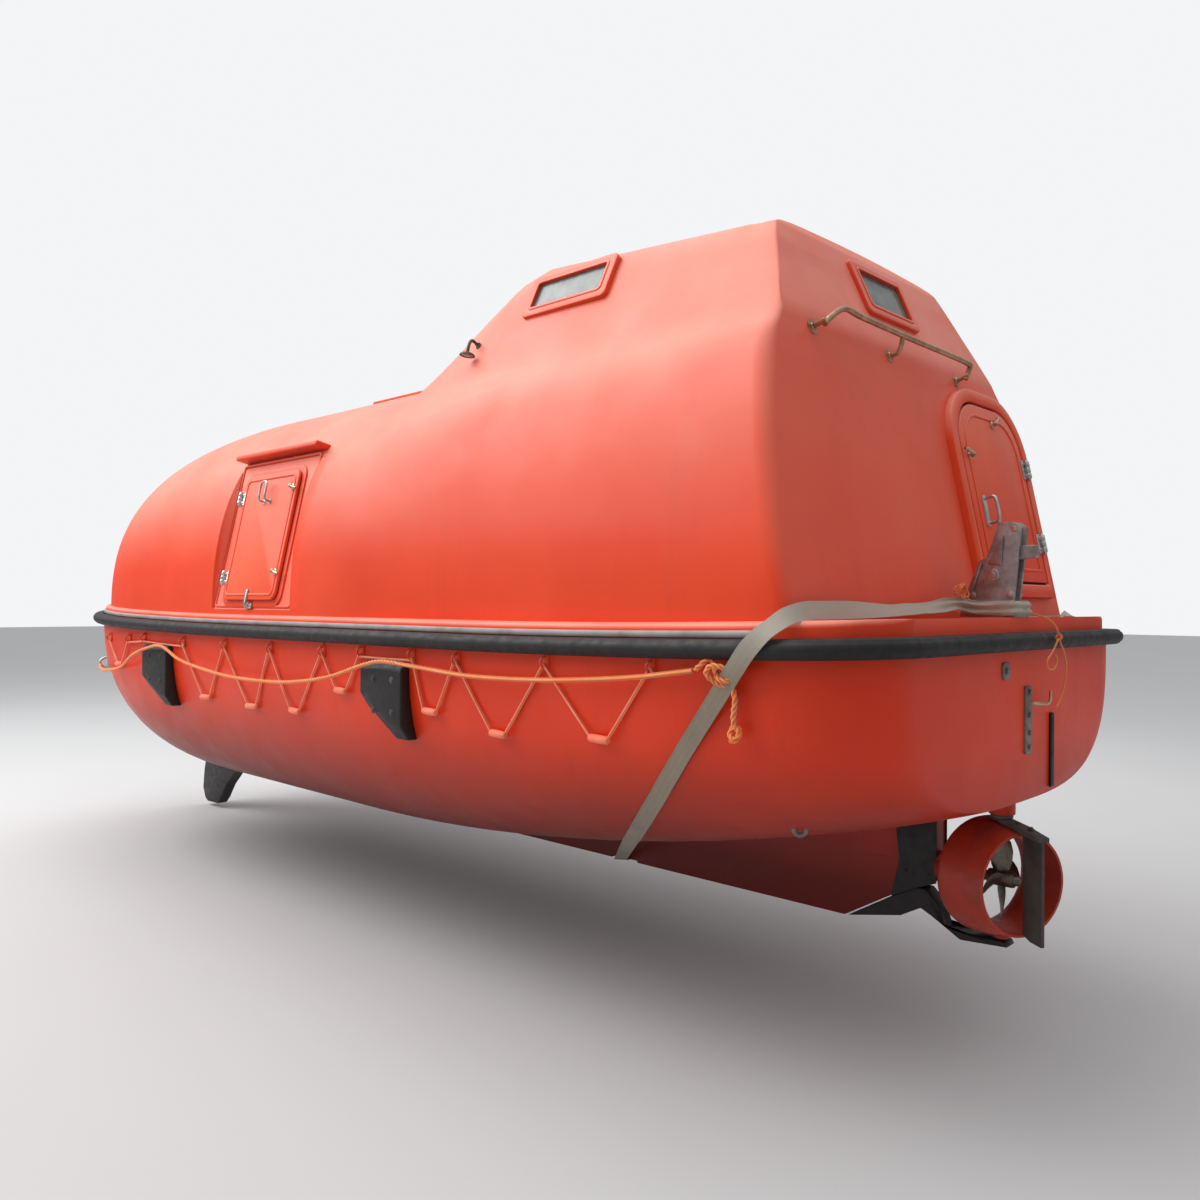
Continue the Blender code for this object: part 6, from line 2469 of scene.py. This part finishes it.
@dataclass
class ReleaseHook:
    """A release hook: its block with two cheeks, the claw on its pin, bolts and stops."""

    finishes: Finishes
    label: str
    x: float
    deck_x: float
    turned: float
    half_width: float = 0.0325

    def build(self) -> None:
        """Makes the block and the claw."""
        at = shift(self.x, 0, CANOPY.deck(self.deck_x)) @ turn(self.turned, "Z")
        block = Work().take(softened(f"{self.label}_hook_block", 0.0022))
        pins = Work()
        for side in (-1, 1):
            cheek = at @ shift(0, side * self.half_width, 0)
            outward = turn(-90 * side, "X")
            for x, high, size in ((0.03, 0.155, 0.0135), (-0.045, 0.085, 0.008), (0.088, 0.085, 0.010)):
                pins.take(bolt(size, size * 0.6), cheek @ shift(x, 0, high) @ outward)
            for rib, thick, edge in ((((0.012, 0.196), (0.060, 0.186), (0.066, 0.292)), 0.009, 0.002),
                                     (((-0.066, 0.056), (-0.056, 0.056), (-0.010, 0.196), (-0.018, 0.196)),
                                      0.006, 0.0015)):
                block.take(outline_plate([(x, -side * z) for x, z in rib], 0.0, thick, edge),
                           cheek @ outward)
            for x in (-0.062, 0.100):
                pins.take(bolt(0.009, 0.008), at @ shift(x, side * 0.050, 0.055))
        lever = outline_plate(((-0.030, 0.215), (-0.010, 0.268), (0.004, 0.276), (0.014, 0.296),
                               (0.026, 0.290), (0.030, 0.262), (0.048, 0.232), (0.052, 0.205)), -0.0065,
                              -0.0015, 0.0012)
        block.take(lever, at @ shift(0, self.half_width + 0.010, 0) @ turn(90, "X"))
        block.take(drum(0.006, 0.014, 0.001, 16), at @ shift(0.020, 0.0320, 0.240) @ turn(-90, "X"))
        pins.piece(f"{self.label}_hook_bolts", self.finishes.steel, "boat", "fitting_steel")
        block.piece(f"{self.label}_hook_cheeks", self.finishes.hook, "boat", "fitting_steel",
                    (f"{self.label}_hook_block",))
        tip = Work().take(drum(0.0095, 0.076, 0.002, 24), at @ shift(0.101, -0.038, 0.314) @ turn(-90, "X"))
        tip.piece(f"{self.label}_hook_tip_pin", self.finishes.brass, "boat", "fitting_steel")
        claw = Work().take(softened(f"{self.label}_hook_claw", 0.0022))
        claw.piece(f"{self.label}_hook_claw_bar", self.finishes.hook, f"{self.label}_claw", "fitting_steel",
                   (f"{self.label}_hook_claw",))


@dataclass
class Fender:
    """The rubber fender round the gunwale, and the pale strip above it."""

    finishes: Finishes
    raised: float = 0.004
    band_raised: float = 0.037
    band_from: float = -2.9

    def plan(self, inset: float, aft: float) -> list[tuple[Vector, Vector]]:
        """Places round the boat from the port quarter over the bow, with their outward directions.

        Args:
            inset: How far in from the hull's edge.
            aft: Where it starts, along the boat.

        Returns:
            Each place and direction.
        """
        half = []
        for x in HULL.stations():
            drawn = (0.012 if inset and x < -3.1 else 0.0) - (0.02 if inset and x > 3.1 else 0.0)
            if x > aft:
                half.append(Vector((x + drawn, max(HULL.beam(x) - inset, HULL.stem_half - inset / 2),
                                    HULL.gunwale(x))))
        whole = half + [Vector((p.x, -p.y, p.z)) for p in half[::-1]]
        found, count = [], len(whole)
        for i, place in enumerate(whole):
            before = whole[i - 1] if i or not inset else place
            after = whole[(i + 1) % count] if i < count - 1 or not inset else place
            found.append((place, Vector((before.y - after.y, after.x - before.x, 0)).normalized()))
        return found

    def build(self) -> None:
        """Makes the fender and the strip."""
        section = [(GAP, -0.026), (0.006, -0.0305), (0.012, -0.031)]
        for degrees in range(-75, 76, 10):
            angle = math.radians(degrees)
            groove = 0.0022 * sum(math.exp(-((degrees - at) / 6.0) ** 2) for at in (-45, 45))
            section.append((0.033 + (0.030 - groove) * math.cos(angle), (0.031 - groove) * math.sin(angle)))
        section += [(0.012, 0.031), (0.006, 0.0305), (GAP, 0.026)]
        rings = [[tuple(place + out * d + Z_AXIS * (self.raised + up)) for d, up in section]
                 for place, out in self.plan(0.0, -math.inf)]
        Work().take(loft(rings, closed=True)).piece("fender_rubber", self.finishes.rubber, "boat",
                                                    "fender_rubber", ("rubber_fender",), 50)
        band = ((GAP, 0.0), (0.009, 0.001), (0.0115, 0.005), (0.012, 0.011), (0.0115, 0.017), (0.009, 0.021),
                (GAP, 0.022))
        rings = [[tuple(place + out * d + Z_AXIS * (self.band_raised + up)) for d, up in band]
                 for place, out in self.plan(CANOPY.plate_inset, self.band_from)]
        Work().take(loft(rings)).piece("gunwale_band", self.finishes.strip, "boat", "strip_vinyl",
                                       ("gunwale_strip",), 40)


@dataclass
class Deckwork:
    """The small fittings on the canopy and the hull: rail, lamp, blocks, eyes and transom plates."""

    finishes: Finishes
    rail_x: float = -2.77
    rail_foot: float = 1.50
    rail_posts: Point = (0.655, 0.13, -0.43)
    lamp_at: Flat = (-1.07, 0.722)
    eye_at: Flat = (2.45, 0.17)
    outlet_at: Flat = (-2.76, -0.13)
    pad_half: float = 0.24

    def handrail(self) -> None:
        """The rail across the tower's aft face, on three posts with round flanges."""
        x = self.rail_x
        rail = Work().take(bent_bar(((-2.762, 0.655, 1.50), (-2.765, 0.62, 1.53), (x, 0.54, 1.572),
                                     (x, 0.41, 1.567), (x, 0.0, 1.563), (x, -0.40, 1.56),
                                     (-2.765, -0.44, 1.54), (-2.755, -0.43, 1.50)), 0.0105, 16, 110))
        face = CANOPY.aft_frame().to_3x3()
        out = face.col[2]
        flange = ((0, 0), (0.026, 0), (0.0255, 0.004), (0.013, 0.0055), (0.011, 0.010), (0, 0.010))
        for y in self.rail_posts:
            foot = Vector((CANOPY.face_x(self.rail_foot), y, self.rail_foot))
            knee, end = foot + out * 0.03, foot + out * 0.055 + Vector((0, 0, 0.004))
            if y == self.rail_posts[1]:
                knee, end = foot + out * 0.04, Vector((x, y, 1.563))
            rail.take(bent_bar((foot + out * 0.0005, knee, end), 0.0088, 14, 14))
            place = frame_at(foot, (0, -1, 0), face.col[1])
            rail.take(spindle(flange, 24), place)
            for side in (-1, 1):
                rail.take(bolt(0.0042, 0.003), place @ shift(side * 0.019, 0, 0.0045))
        rail.piece("aft_rail", self.finishes.rail, "boat", "fitting_steel", ("aft_handrail",), 40)

    def lamp(self) -> None:
        """The lamp on the tower's forward slope: flange, swan neck, saucer shade and lens."""
        here, out = CANOPY.skin(*self.lamp_at)
        base = on_skin(here, out)
        stand = Work()
        flange = ((0, 0.0009), (0.017, 0.0009), (0.0175, 0.004), (0.014, 0.008), (0.010, 0.010), (0, 0.010))
        stand.take(spindle(flange, 32), base)
        for turned in range(0, 360, 120):
            stand.take(bolt(0.0028, 0.003), base @ turn(turned + 45, "Z") @ shift(0.0128, 0, 0.0068))
        neck = [here + out * 0.006]
        for step in ((0.003, 0.022, 0.014), (0.001, 0.036, 0.018), (-0.005, 0.053, 0.008),
                     (-0.011, 0.067, -0.014), (-0.014, 0.074, -0.036), (-0.015, 0.075, -0.048)):
            neck.append(here + Vector(step))
        stand.take(bent_bar(neck, 0.0072, 16, 44))
        head = frame_at(here + Vector((-0.0145, 0.077, -0.0585)), (1, 0, 0.05), (0.0, 0.99, 0.14))
        saucer = ((0, 0.0165), (0.010, 0.0170), (0.014, 0.0150), (0.024, 0.0120), (0.031, 0.0070),
                  (0.034, 0.0030), (0.0342, 0.0), (0.0328, -0.0005), (0.0318, 0.0025), (0.026, 0.0065),
                  (0, 0.0080))
        stand.take(spindle(saucer, 40), head)
        stand.piece("lamp_stand", self.finishes.lamp, "boat", "lamp_housing", ("tower_lamp",), 40)
        glass = ((0, 0.0085), (0.026, 0.0070), (0.029, 0.0040), (0.022, 0.0005), (0.010, -0.0005),
                 (0, -0.0008))
        lens = Work().take(spindle(glass, 40), head)
        lens.piece("lamp_lens", self.finishes.lens, "boat", "lamp_housing", (), 40)

    def roof_pads(self) -> None:
        """The grey anti-slip pads on the roof, forward of its hatch."""
        for low, high in ((0.86, 1.18), (1.26, 1.58)):
            rings = []
            for x in np.linspace(low, high, 12):
                top = [CANOPY.skin(float(x), float(y))
                       for y in np.linspace(-self.pad_half, self.pad_half, 15)]
                rings.append([tuple(p + out * 0.006) for p, out in top]
                             + [tuple(p + out * 0.0004) for p, out in top[::-1]])
            Work().take(loft(rings)).piece(f"roof_pad_{round(low * 100)}", self.finishes.pad, "boat",
                                           "strip_vinyl", (), 40)

    def side_blocks(self) -> None:
        """The four black blocks, with countersunk bolts, and the keel's foot and the sole piece."""
        for side in Side:
            for name, places in (("fore", (1.10, 1.25)), ("after", (-1.13, -1.00))):
                node = f"{side.label}_{name}_block"
                Work().take(softened(node, 0.007, 3)).piece(f"{node}_rubber", self.finishes.black, "boat",
                                                            "black_rubber", (node,), 40)
                heads = Work()
                for x in places:
                    for z in (0.14, 0.27):
                        heads.take(bolt(0.009, 0.004),
                                   shift(x, side.value * 1.205, z) @ turn(-90 * side.value, "X"))
                heads.piece(f"{node}_bolts", self.finishes.dark_steel, "boat", "fitting_steel")
        for node, radius in (("keel_foot", 0.010), ("sole_piece", 0.006)):
            Work().take(softened(node, radius, 3)).piece(f"{node}_rubber", self.finishes.black, "boat",
                                                         "black_rubber", (node,), 40)

    def bow_eyes(self) -> None:
        """The eye on each bow: a bolted plate with a half ring."""
        for side in Side:
            at = on_skin(*HULL.skin(*self.eye_at, side))
            eye = Work().take(slab(0.045, 0.09, 0.010, 0.012, 0.003), at @ shift(0, 0, -0.001))
            ring = [(0.0, 0.035 * math.cos(a), 0.006 + 0.05 * math.sin(a))
                    for a in np.linspace(0.0, math.pi, 30)]
            eye.take(bent_bar(ring, 0.008, 16), at)
            for x in (-0.013, 0.013):
                for y in (-0.018, 0.018):
                    eye.take(bolt(0.0045, 0.004), at @ shift(x, y, 0.009))
            eye.piece(f"{side.label}_bow_eye_forging", self.finishes.steel, "boat", "fitting_steel",
                      (f"{side.label}_bow_eye",), 40)

    def transom(self) -> None:
        """The plates on the transom, with a bent pin, and the small cap on each bilge."""
        f = self.finishes
        face = frame_at((HULL.transom_x, 0, 0), (0, -1, 0), (0, 0, 1))
        plate = Work().take(slab(0.050, 0.235, 0.008, 0.007, 0.002), face @ shift(0.024, 0.188, 0.0003))
        for z in (0.095, 0.145, 0.205, 0.285):
            plate.take(bolt(0.0085, 0.006), face @ shift(0.024, z, 0.008))
        plate.piece("transom_chain_plate", f.worn, "boat", "fitting_steel", ("transom_plate",))
        pin = Work().take(bent_bar(((0.028, 0.246, 0.008), (0.034, 0.246, 0.028), (0.075, 0.242, 0.034),
                                    (0.125, 0.240, 0.034), (0.160, 0.250, 0.030), (0.175, 0.280, 0.026)),
                                   0.0055, 12, 40), face)
        pin.piece("transom_pin", f.brass, "boat", "fitting_steel")
        cap = Work().take(slab(0.060, 0.060, 0.006, 0.018, 0.002), face @ shift(-0.165, 0.365, 0))
        cap.take(bolt(0.010, 0.005), face @ shift(-0.165, 0.365, 0.006))
        cap.piece("transom_cap", f.worn, "boat", "fitting_steel")
        strip = outline_plate(((0.230, -0.070), (0.262, -0.070), (0.260, 0.196), (0.240, 0.200),
                               (0.232, 0.192)),
                              0.0003, 0.010, 0.003)
        Work().take(strip, face).piece("transom_wear_strip", f.black, "boat", "black_rubber",
                                       ("transom_strip",))
        for side in Side:
            at = on_skin(*HULL.skin(*self.outlet_at, side))
            outlet = Work().take(spindle(((0.012, -0.004), (0.026, -0.004), (0.026, 0.003), (0.020, 0.007),
                                          (0.013, 0.006)), 28), at)
            outlet.piece(f"{side.label}_bilge_outlet", f.worn, "boat", "fitting_steel")

    def build(self) -> None:
        """Makes every fitting."""
        self.handrail()
        self.roof_pads()
        self.lamp()
        self.side_blocks()
        self.bow_eyes()
        self.transom()


@dataclass
class Steering:
    """The steering nozzle with its stock and flap, and the propeller on its shaft."""

    finishes: Finishes
    x: float = -3.085
    z: float = -0.37
    turned: float = -25.6
    blades: tuple[tuple[float, float, float, float], ...] = (
        (0.016, 0.045, 52, 0.010), (0.05, 0.075, 42, 0.008), (0.09, 0.095, 31, 0.006),
        (0.12, 0.085, 25, 0.005), (0.138, 0.064, 22, 0.004), (0.145, 0.030, 21, 0.003))

    def blade(self) -> Shape:
        """One blade, through leaf-shaped sections of (radius, chord, pitch, thickness).

        Returns:
            The blade.
        """
        rings = []
        table = np.array(self.blades)
        for radius in np.linspace(0.016, 0.145, 16):
            chord, pitch, thick = (float(np.interp(radius, table[:, 0], table[:, k])) for k in (1, 2, 3))
            angle = math.radians(pitch)
            along = Vector((math.sin(angle), math.cos(angle), 0)) * chord / 2
            off = Vector((math.cos(angle), -math.sin(angle), 0)) * thick / 2
            ring = []
            for degrees in range(0, 360, 30):
                a = math.radians(degrees)
                ring.append(tuple(Vector((0, 0, radius)) + along * math.cos(a) + off * math.sin(a) * 1.2))
            rings.append(ring)
        return loft(rings)

    def build(self) -> None:
        """Makes the nozzle, the stock and the screw."""
        f, at = self.finishes, shift(self.x, 0, self.z) @ turn(self.turned, "Z")
        profile = ((0.184, 0.100), (0.193, 0.0985), (0.201, 0.092), (0.2048, 0.080), (0.205, 0.070),
                   (0.2015, 0.035), (0.198, 0.0), (0.188, -0.05), (0.178, -0.1), (0.174, -0.1012),
                   (0.169, -0.1), (0.1655, -0.05), (0.162, 0.0), (0.163, 0.035), (0.165, 0.060),
                   (0.1685, 0.078), (0.173, 0.090), (0.1785, 0.098))
        ring = Work().take(spindle(profile, 72), at @ turn(90, "Y"))
        ring.take(drum(0.02, 0.0342, 0.002, 24), at @ shift(0, 0, -0.2112))
        ring.take(spindle(((0.019, 0), (0.032, 0), (0.030, 0.008), (0.019, 0.014)), 28),
                  at @ shift(0, 0, -0.2030))
        ring.piece("nozzle_ring", f.nozzle, "nozzle", "nozzle_paint", ("steering_nozzle",), 45)
        stock = Work().take(softened("steering_stock", 0.0025, 2))
        for x in (-0.015, -0.075, -0.135):
            stock.take(bolt(0.007, 0.005),
                       at @ shift(x, 0, float(np.interp(x, (-0.11, -0.02), (0.20, 0.213)))))
        stock.take(drum(0.038, 0.012, 0.003, 28), at @ shift(0, 0, 0.2125))
        stock.piece("nozzle_stock", f.dark_steel, "nozzle", "dark_steel", ("steering_stock",), 35)
        screw = Work()
        for number in range(4):
            screw.take(self.blade(), shift(self.x, 0, self.z) @ turn(90 * number, "X"))
        boss = ((0, -0.045), (0.026, -0.045), (0.028, -0.040), (0.0285, 0.0), (0.028, 0.040), (0.026, 0.045),
                (0, 0.045))
        cone = ((0, 0), (0.020, 0), (0.018, 0.012), (0.010, 0.022), (0, 0.025))
        screw.take(spindle(boss, 32), shift(self.x, 0, self.z) @ turn(90, "Y"))
        screw.take(spindle(cone, 24), shift(self.x - 0.045, 0, self.z) @ turn(-90, "Y"))
        screw.piece("propeller_casting", f.bronze, "screw", "propeller_bronze", ("propeller",), 45)
        low, high = self.x + 0.0453, -2.9003
        shaft = Work().take(drum(0.018, high - low, 0.001, 28), shift(low, 0, self.z) @ turn(90, "Y"))
        shaft.take(drum(0.0215, 0.012, 0.002, 28), shift(high - 0.045, 0, self.z) @ turn(90, "Y"))
        shaft.piece("propeller_shaft_bar", f.steel, "screw", "fitting_steel", ("propeller_shaft",), 40)


def stuffed(mesh: Mesh, voxel: float, most: float) -> Mesh:
    """Swells a shape as a stuffed cushion does, by a cloth simulation under pressure.

    Args:
        mesh: The closed shape, a little smaller than the finished cushion.
        voxel: The simulation's mesh size.
        most: How far a point may move.

    Returns:
        The swollen mesh.
    """
    scene = bpy.context.scene
    pad = show(bpy.data.objects.new("pad_form", mesh))
    grid = pad.modifiers.new("grid", "REMESH")
    grid.mode = "VOXEL"
    grid.voxel_size = voxel
    bpy.context.view_layer.update()
    rest = evaluated(pad)
    pad.modifiers.remove(grid)
    pad.data = rest
    cloth = pad.modifiers.new("cloth", "CLOTH")
    cloth.settings.quality = 4
    cloth.settings.mass = 0.3
    cloth.settings.use_pressure = True
    cloth.settings.uniform_pressure_force = 4.0
    cloth.settings.effector_weights.gravity = 0.0
    before = np.array([v.co for v in rest.vertices])
    for frame_number in range(1, 21):
        scene.frame_set(frame_number)
    swollen = evaluated(pad)
    moved = np.array([v.co for v in swollen.vertices]) - before
    reach = np.linalg.norm(moved, axis=1)
    moved *= np.minimum(1.0, most / np.maximum(reach, 1e-9))[:, None]
    rest.vertices.foreach_set("co", (before + moved).astype(np.float32).ravel())
    pad.modifiers.remove(cloth)
    bpy.data.meshes.remove(swollen)
    scene.frame_set(1)
    bpy.data.objects.remove(pad)
    return rest


@dataclass
class Cabin:
    """What stands inside: the engine under its cover, the helm's console, its wheel and its seat."""

    finishes: Finishes
    engine_x: float = -1.96
    wheel_radius: float = 0.165
    fill: float = 0.8

    def cushion(self, name: str, size: Sequence[float], place: Matrix) -> None:
        """A crowned cushion with a sewn welt round its edge, from a swollen shell.

        Args:
            name: The piece's name.
            size: Its three sizes.
            place: Its frame.
        """
        bm = block([part - 0.016 for part in size], min(size) * 0.28, 4)
        bmesh.ops.subdivide_edges(bm, edges=bm.edges, cuts=6, use_grid_fill=True)
        for vert in bm.verts:
            u, v = vert.co.x / size[0] * 2, vert.co.y / size[1] * 2
            vert.co.z *= 0.82 + 0.18 * max(0.0, (1 - u ** 4) * (1 - v ** 4))
            vert.co.y *= 1 - 0.03 * (1 - u * u)
            vert.co.x *= 1 - 0.03 * (1 - v * v)
        swollen = stuffed(to_mesh(bm, "pad_start"), 0.006, 0.008)
        bm = bmesh.new()
        bm.from_mesh(swollen)
        bpy.data.meshes.remove(swollen)
        pad = Work().take(bm, place)
        welt = [(x * 0.985, y * 0.985, 0.0) for x, y in rounded_points(size[0], size[1], min(size) * 0.5, 5)]
        pad.take(bent_bar(welt + welt[:2], 0.0035, 8, 90), place)
        stands_for = ("helm_seat",) if "pan" in name else ()
        pad.piece(name, self.finishes.vinyl, "boat", "seat_vinyl", stands_for, 60)

    def build(self) -> None:
        """Makes the inside."""
        f = self.finishes
        engine = Work().take(block((0.80, 0.54, 0.4397), 0.035, 4), shift(self.engine_x, 0, 0.0801))
        for y in (-0.18, -0.06, 0.06, 0.18):
            engine.take(block((0.62, 0.030, 0.010), 0.004), shift(self.engine_x, y, 0.296))
        engine.piece("engine_cover", f.engine, "boat", "engine_paint", ("engine_block",))
        console = Work().take(softened("helm_console", 0.016, 3))
        console.piece("helm_binnacle", f.console, "boat", "console_plastic", ("helm_console",))
        face = frame_at((-1.25, 0, 1.225), (0, -1, 0), (0.22, 0, 0.21))
        bezel = ((0, 0.001), (0.034, 0.001), (0.040, 0.002), (0.041, 0.008), (0.037, 0.010), (0.034, 0.004),
                 (0, 0.004))
        dials = Work()
        for y in (-0.14, 0.0, 0.14):
            dials.take(spindle(bezel, 32), face @ shift(y))
        dials.piece("helm_dials", f.black, "boat", "console_plastic")
        wheel = Work().take(hoop(self.wheel_radius, 0.011, 48, 14))
        wheel.take(spindle(((0, -0.016), (0.024, -0.016), (0.024, 0.010), (0.018, 0.016), (0, 0.018)), 28))
        wheel.take(drum(0.014, 0.068, 0.001, 20), shift())
        for number in range(3):
            spoke = ((0, 0, 0), (0.08, 0, 0.004), (self.wheel_radius - 0.003, 0, 0))
            wheel.take(bent_bar(spoke, 0.008, 10, 8), turn(120 * number, "Z"))
        at = shift(-1.43, 0, 1.0) @ turn(90, "Y")
        wheel.bm.transform(at)
        wheel.piece("helm_wheel", f.black, "wheel", "wheel_plastic", ("steering_wheel",), 40)
        stool = Work().take(block((0.30, 0.32, 0.64), 0.03, 3), shift(-1.87, 0, 0.6203))
        stool.take(block((0.050, 0.30, 0.46), 0.012), shift(-2.118, 0, 1.17))
        stool.take(block((0.46, 0.40, 0.020), 0.008), shift(-1.88, 0, 0.945))
        stool.piece("helm_stool", f.console, "boat", "console_plastic")
        self.cushion("seat_pan_pad", (0.43, 0.43, 0.078), shift(-1.86, 0, 0.990))
        self.cushion("seat_back_pad", (0.40, 0.41, 0.060), shift(-2.085, 0, 1.20) @ turn(90, "Y"))


def main() -> None:
    """Builds the boat."""
    logging.basicConfig(level=logging.INFO, format="%(name)s %(message)s")
    view = PhotoView()
    view.camera()
    view.light()
    finishes = Finishes()
    Ropes(finishes).build()
    HullMoulding(finishes).build()
    moulding = CanopyMoulding(finishes)
    moulding.build()
    for side in Side:
        SideHatch(finishes, moulding, side).build()
    AftDoor(finishes, moulding).build()
    RoofHatch(finishes).build()
    Windows(finishes, moulding).build()
    BellyStrap(finishes).build()
    for label, x, deck_x, turned in (("aft", -3.035, -2.95, 180), ("fore", 2.95, 3.0, 0)):
        ReleaseHook(finishes, label, x, deck_x, turned).build()
    Fender(finishes).build()
    Deckwork(finishes).build()
    Steering(finishes).build()
    Cabin(finishes).build()


if __name__ == "__main__":
    main()
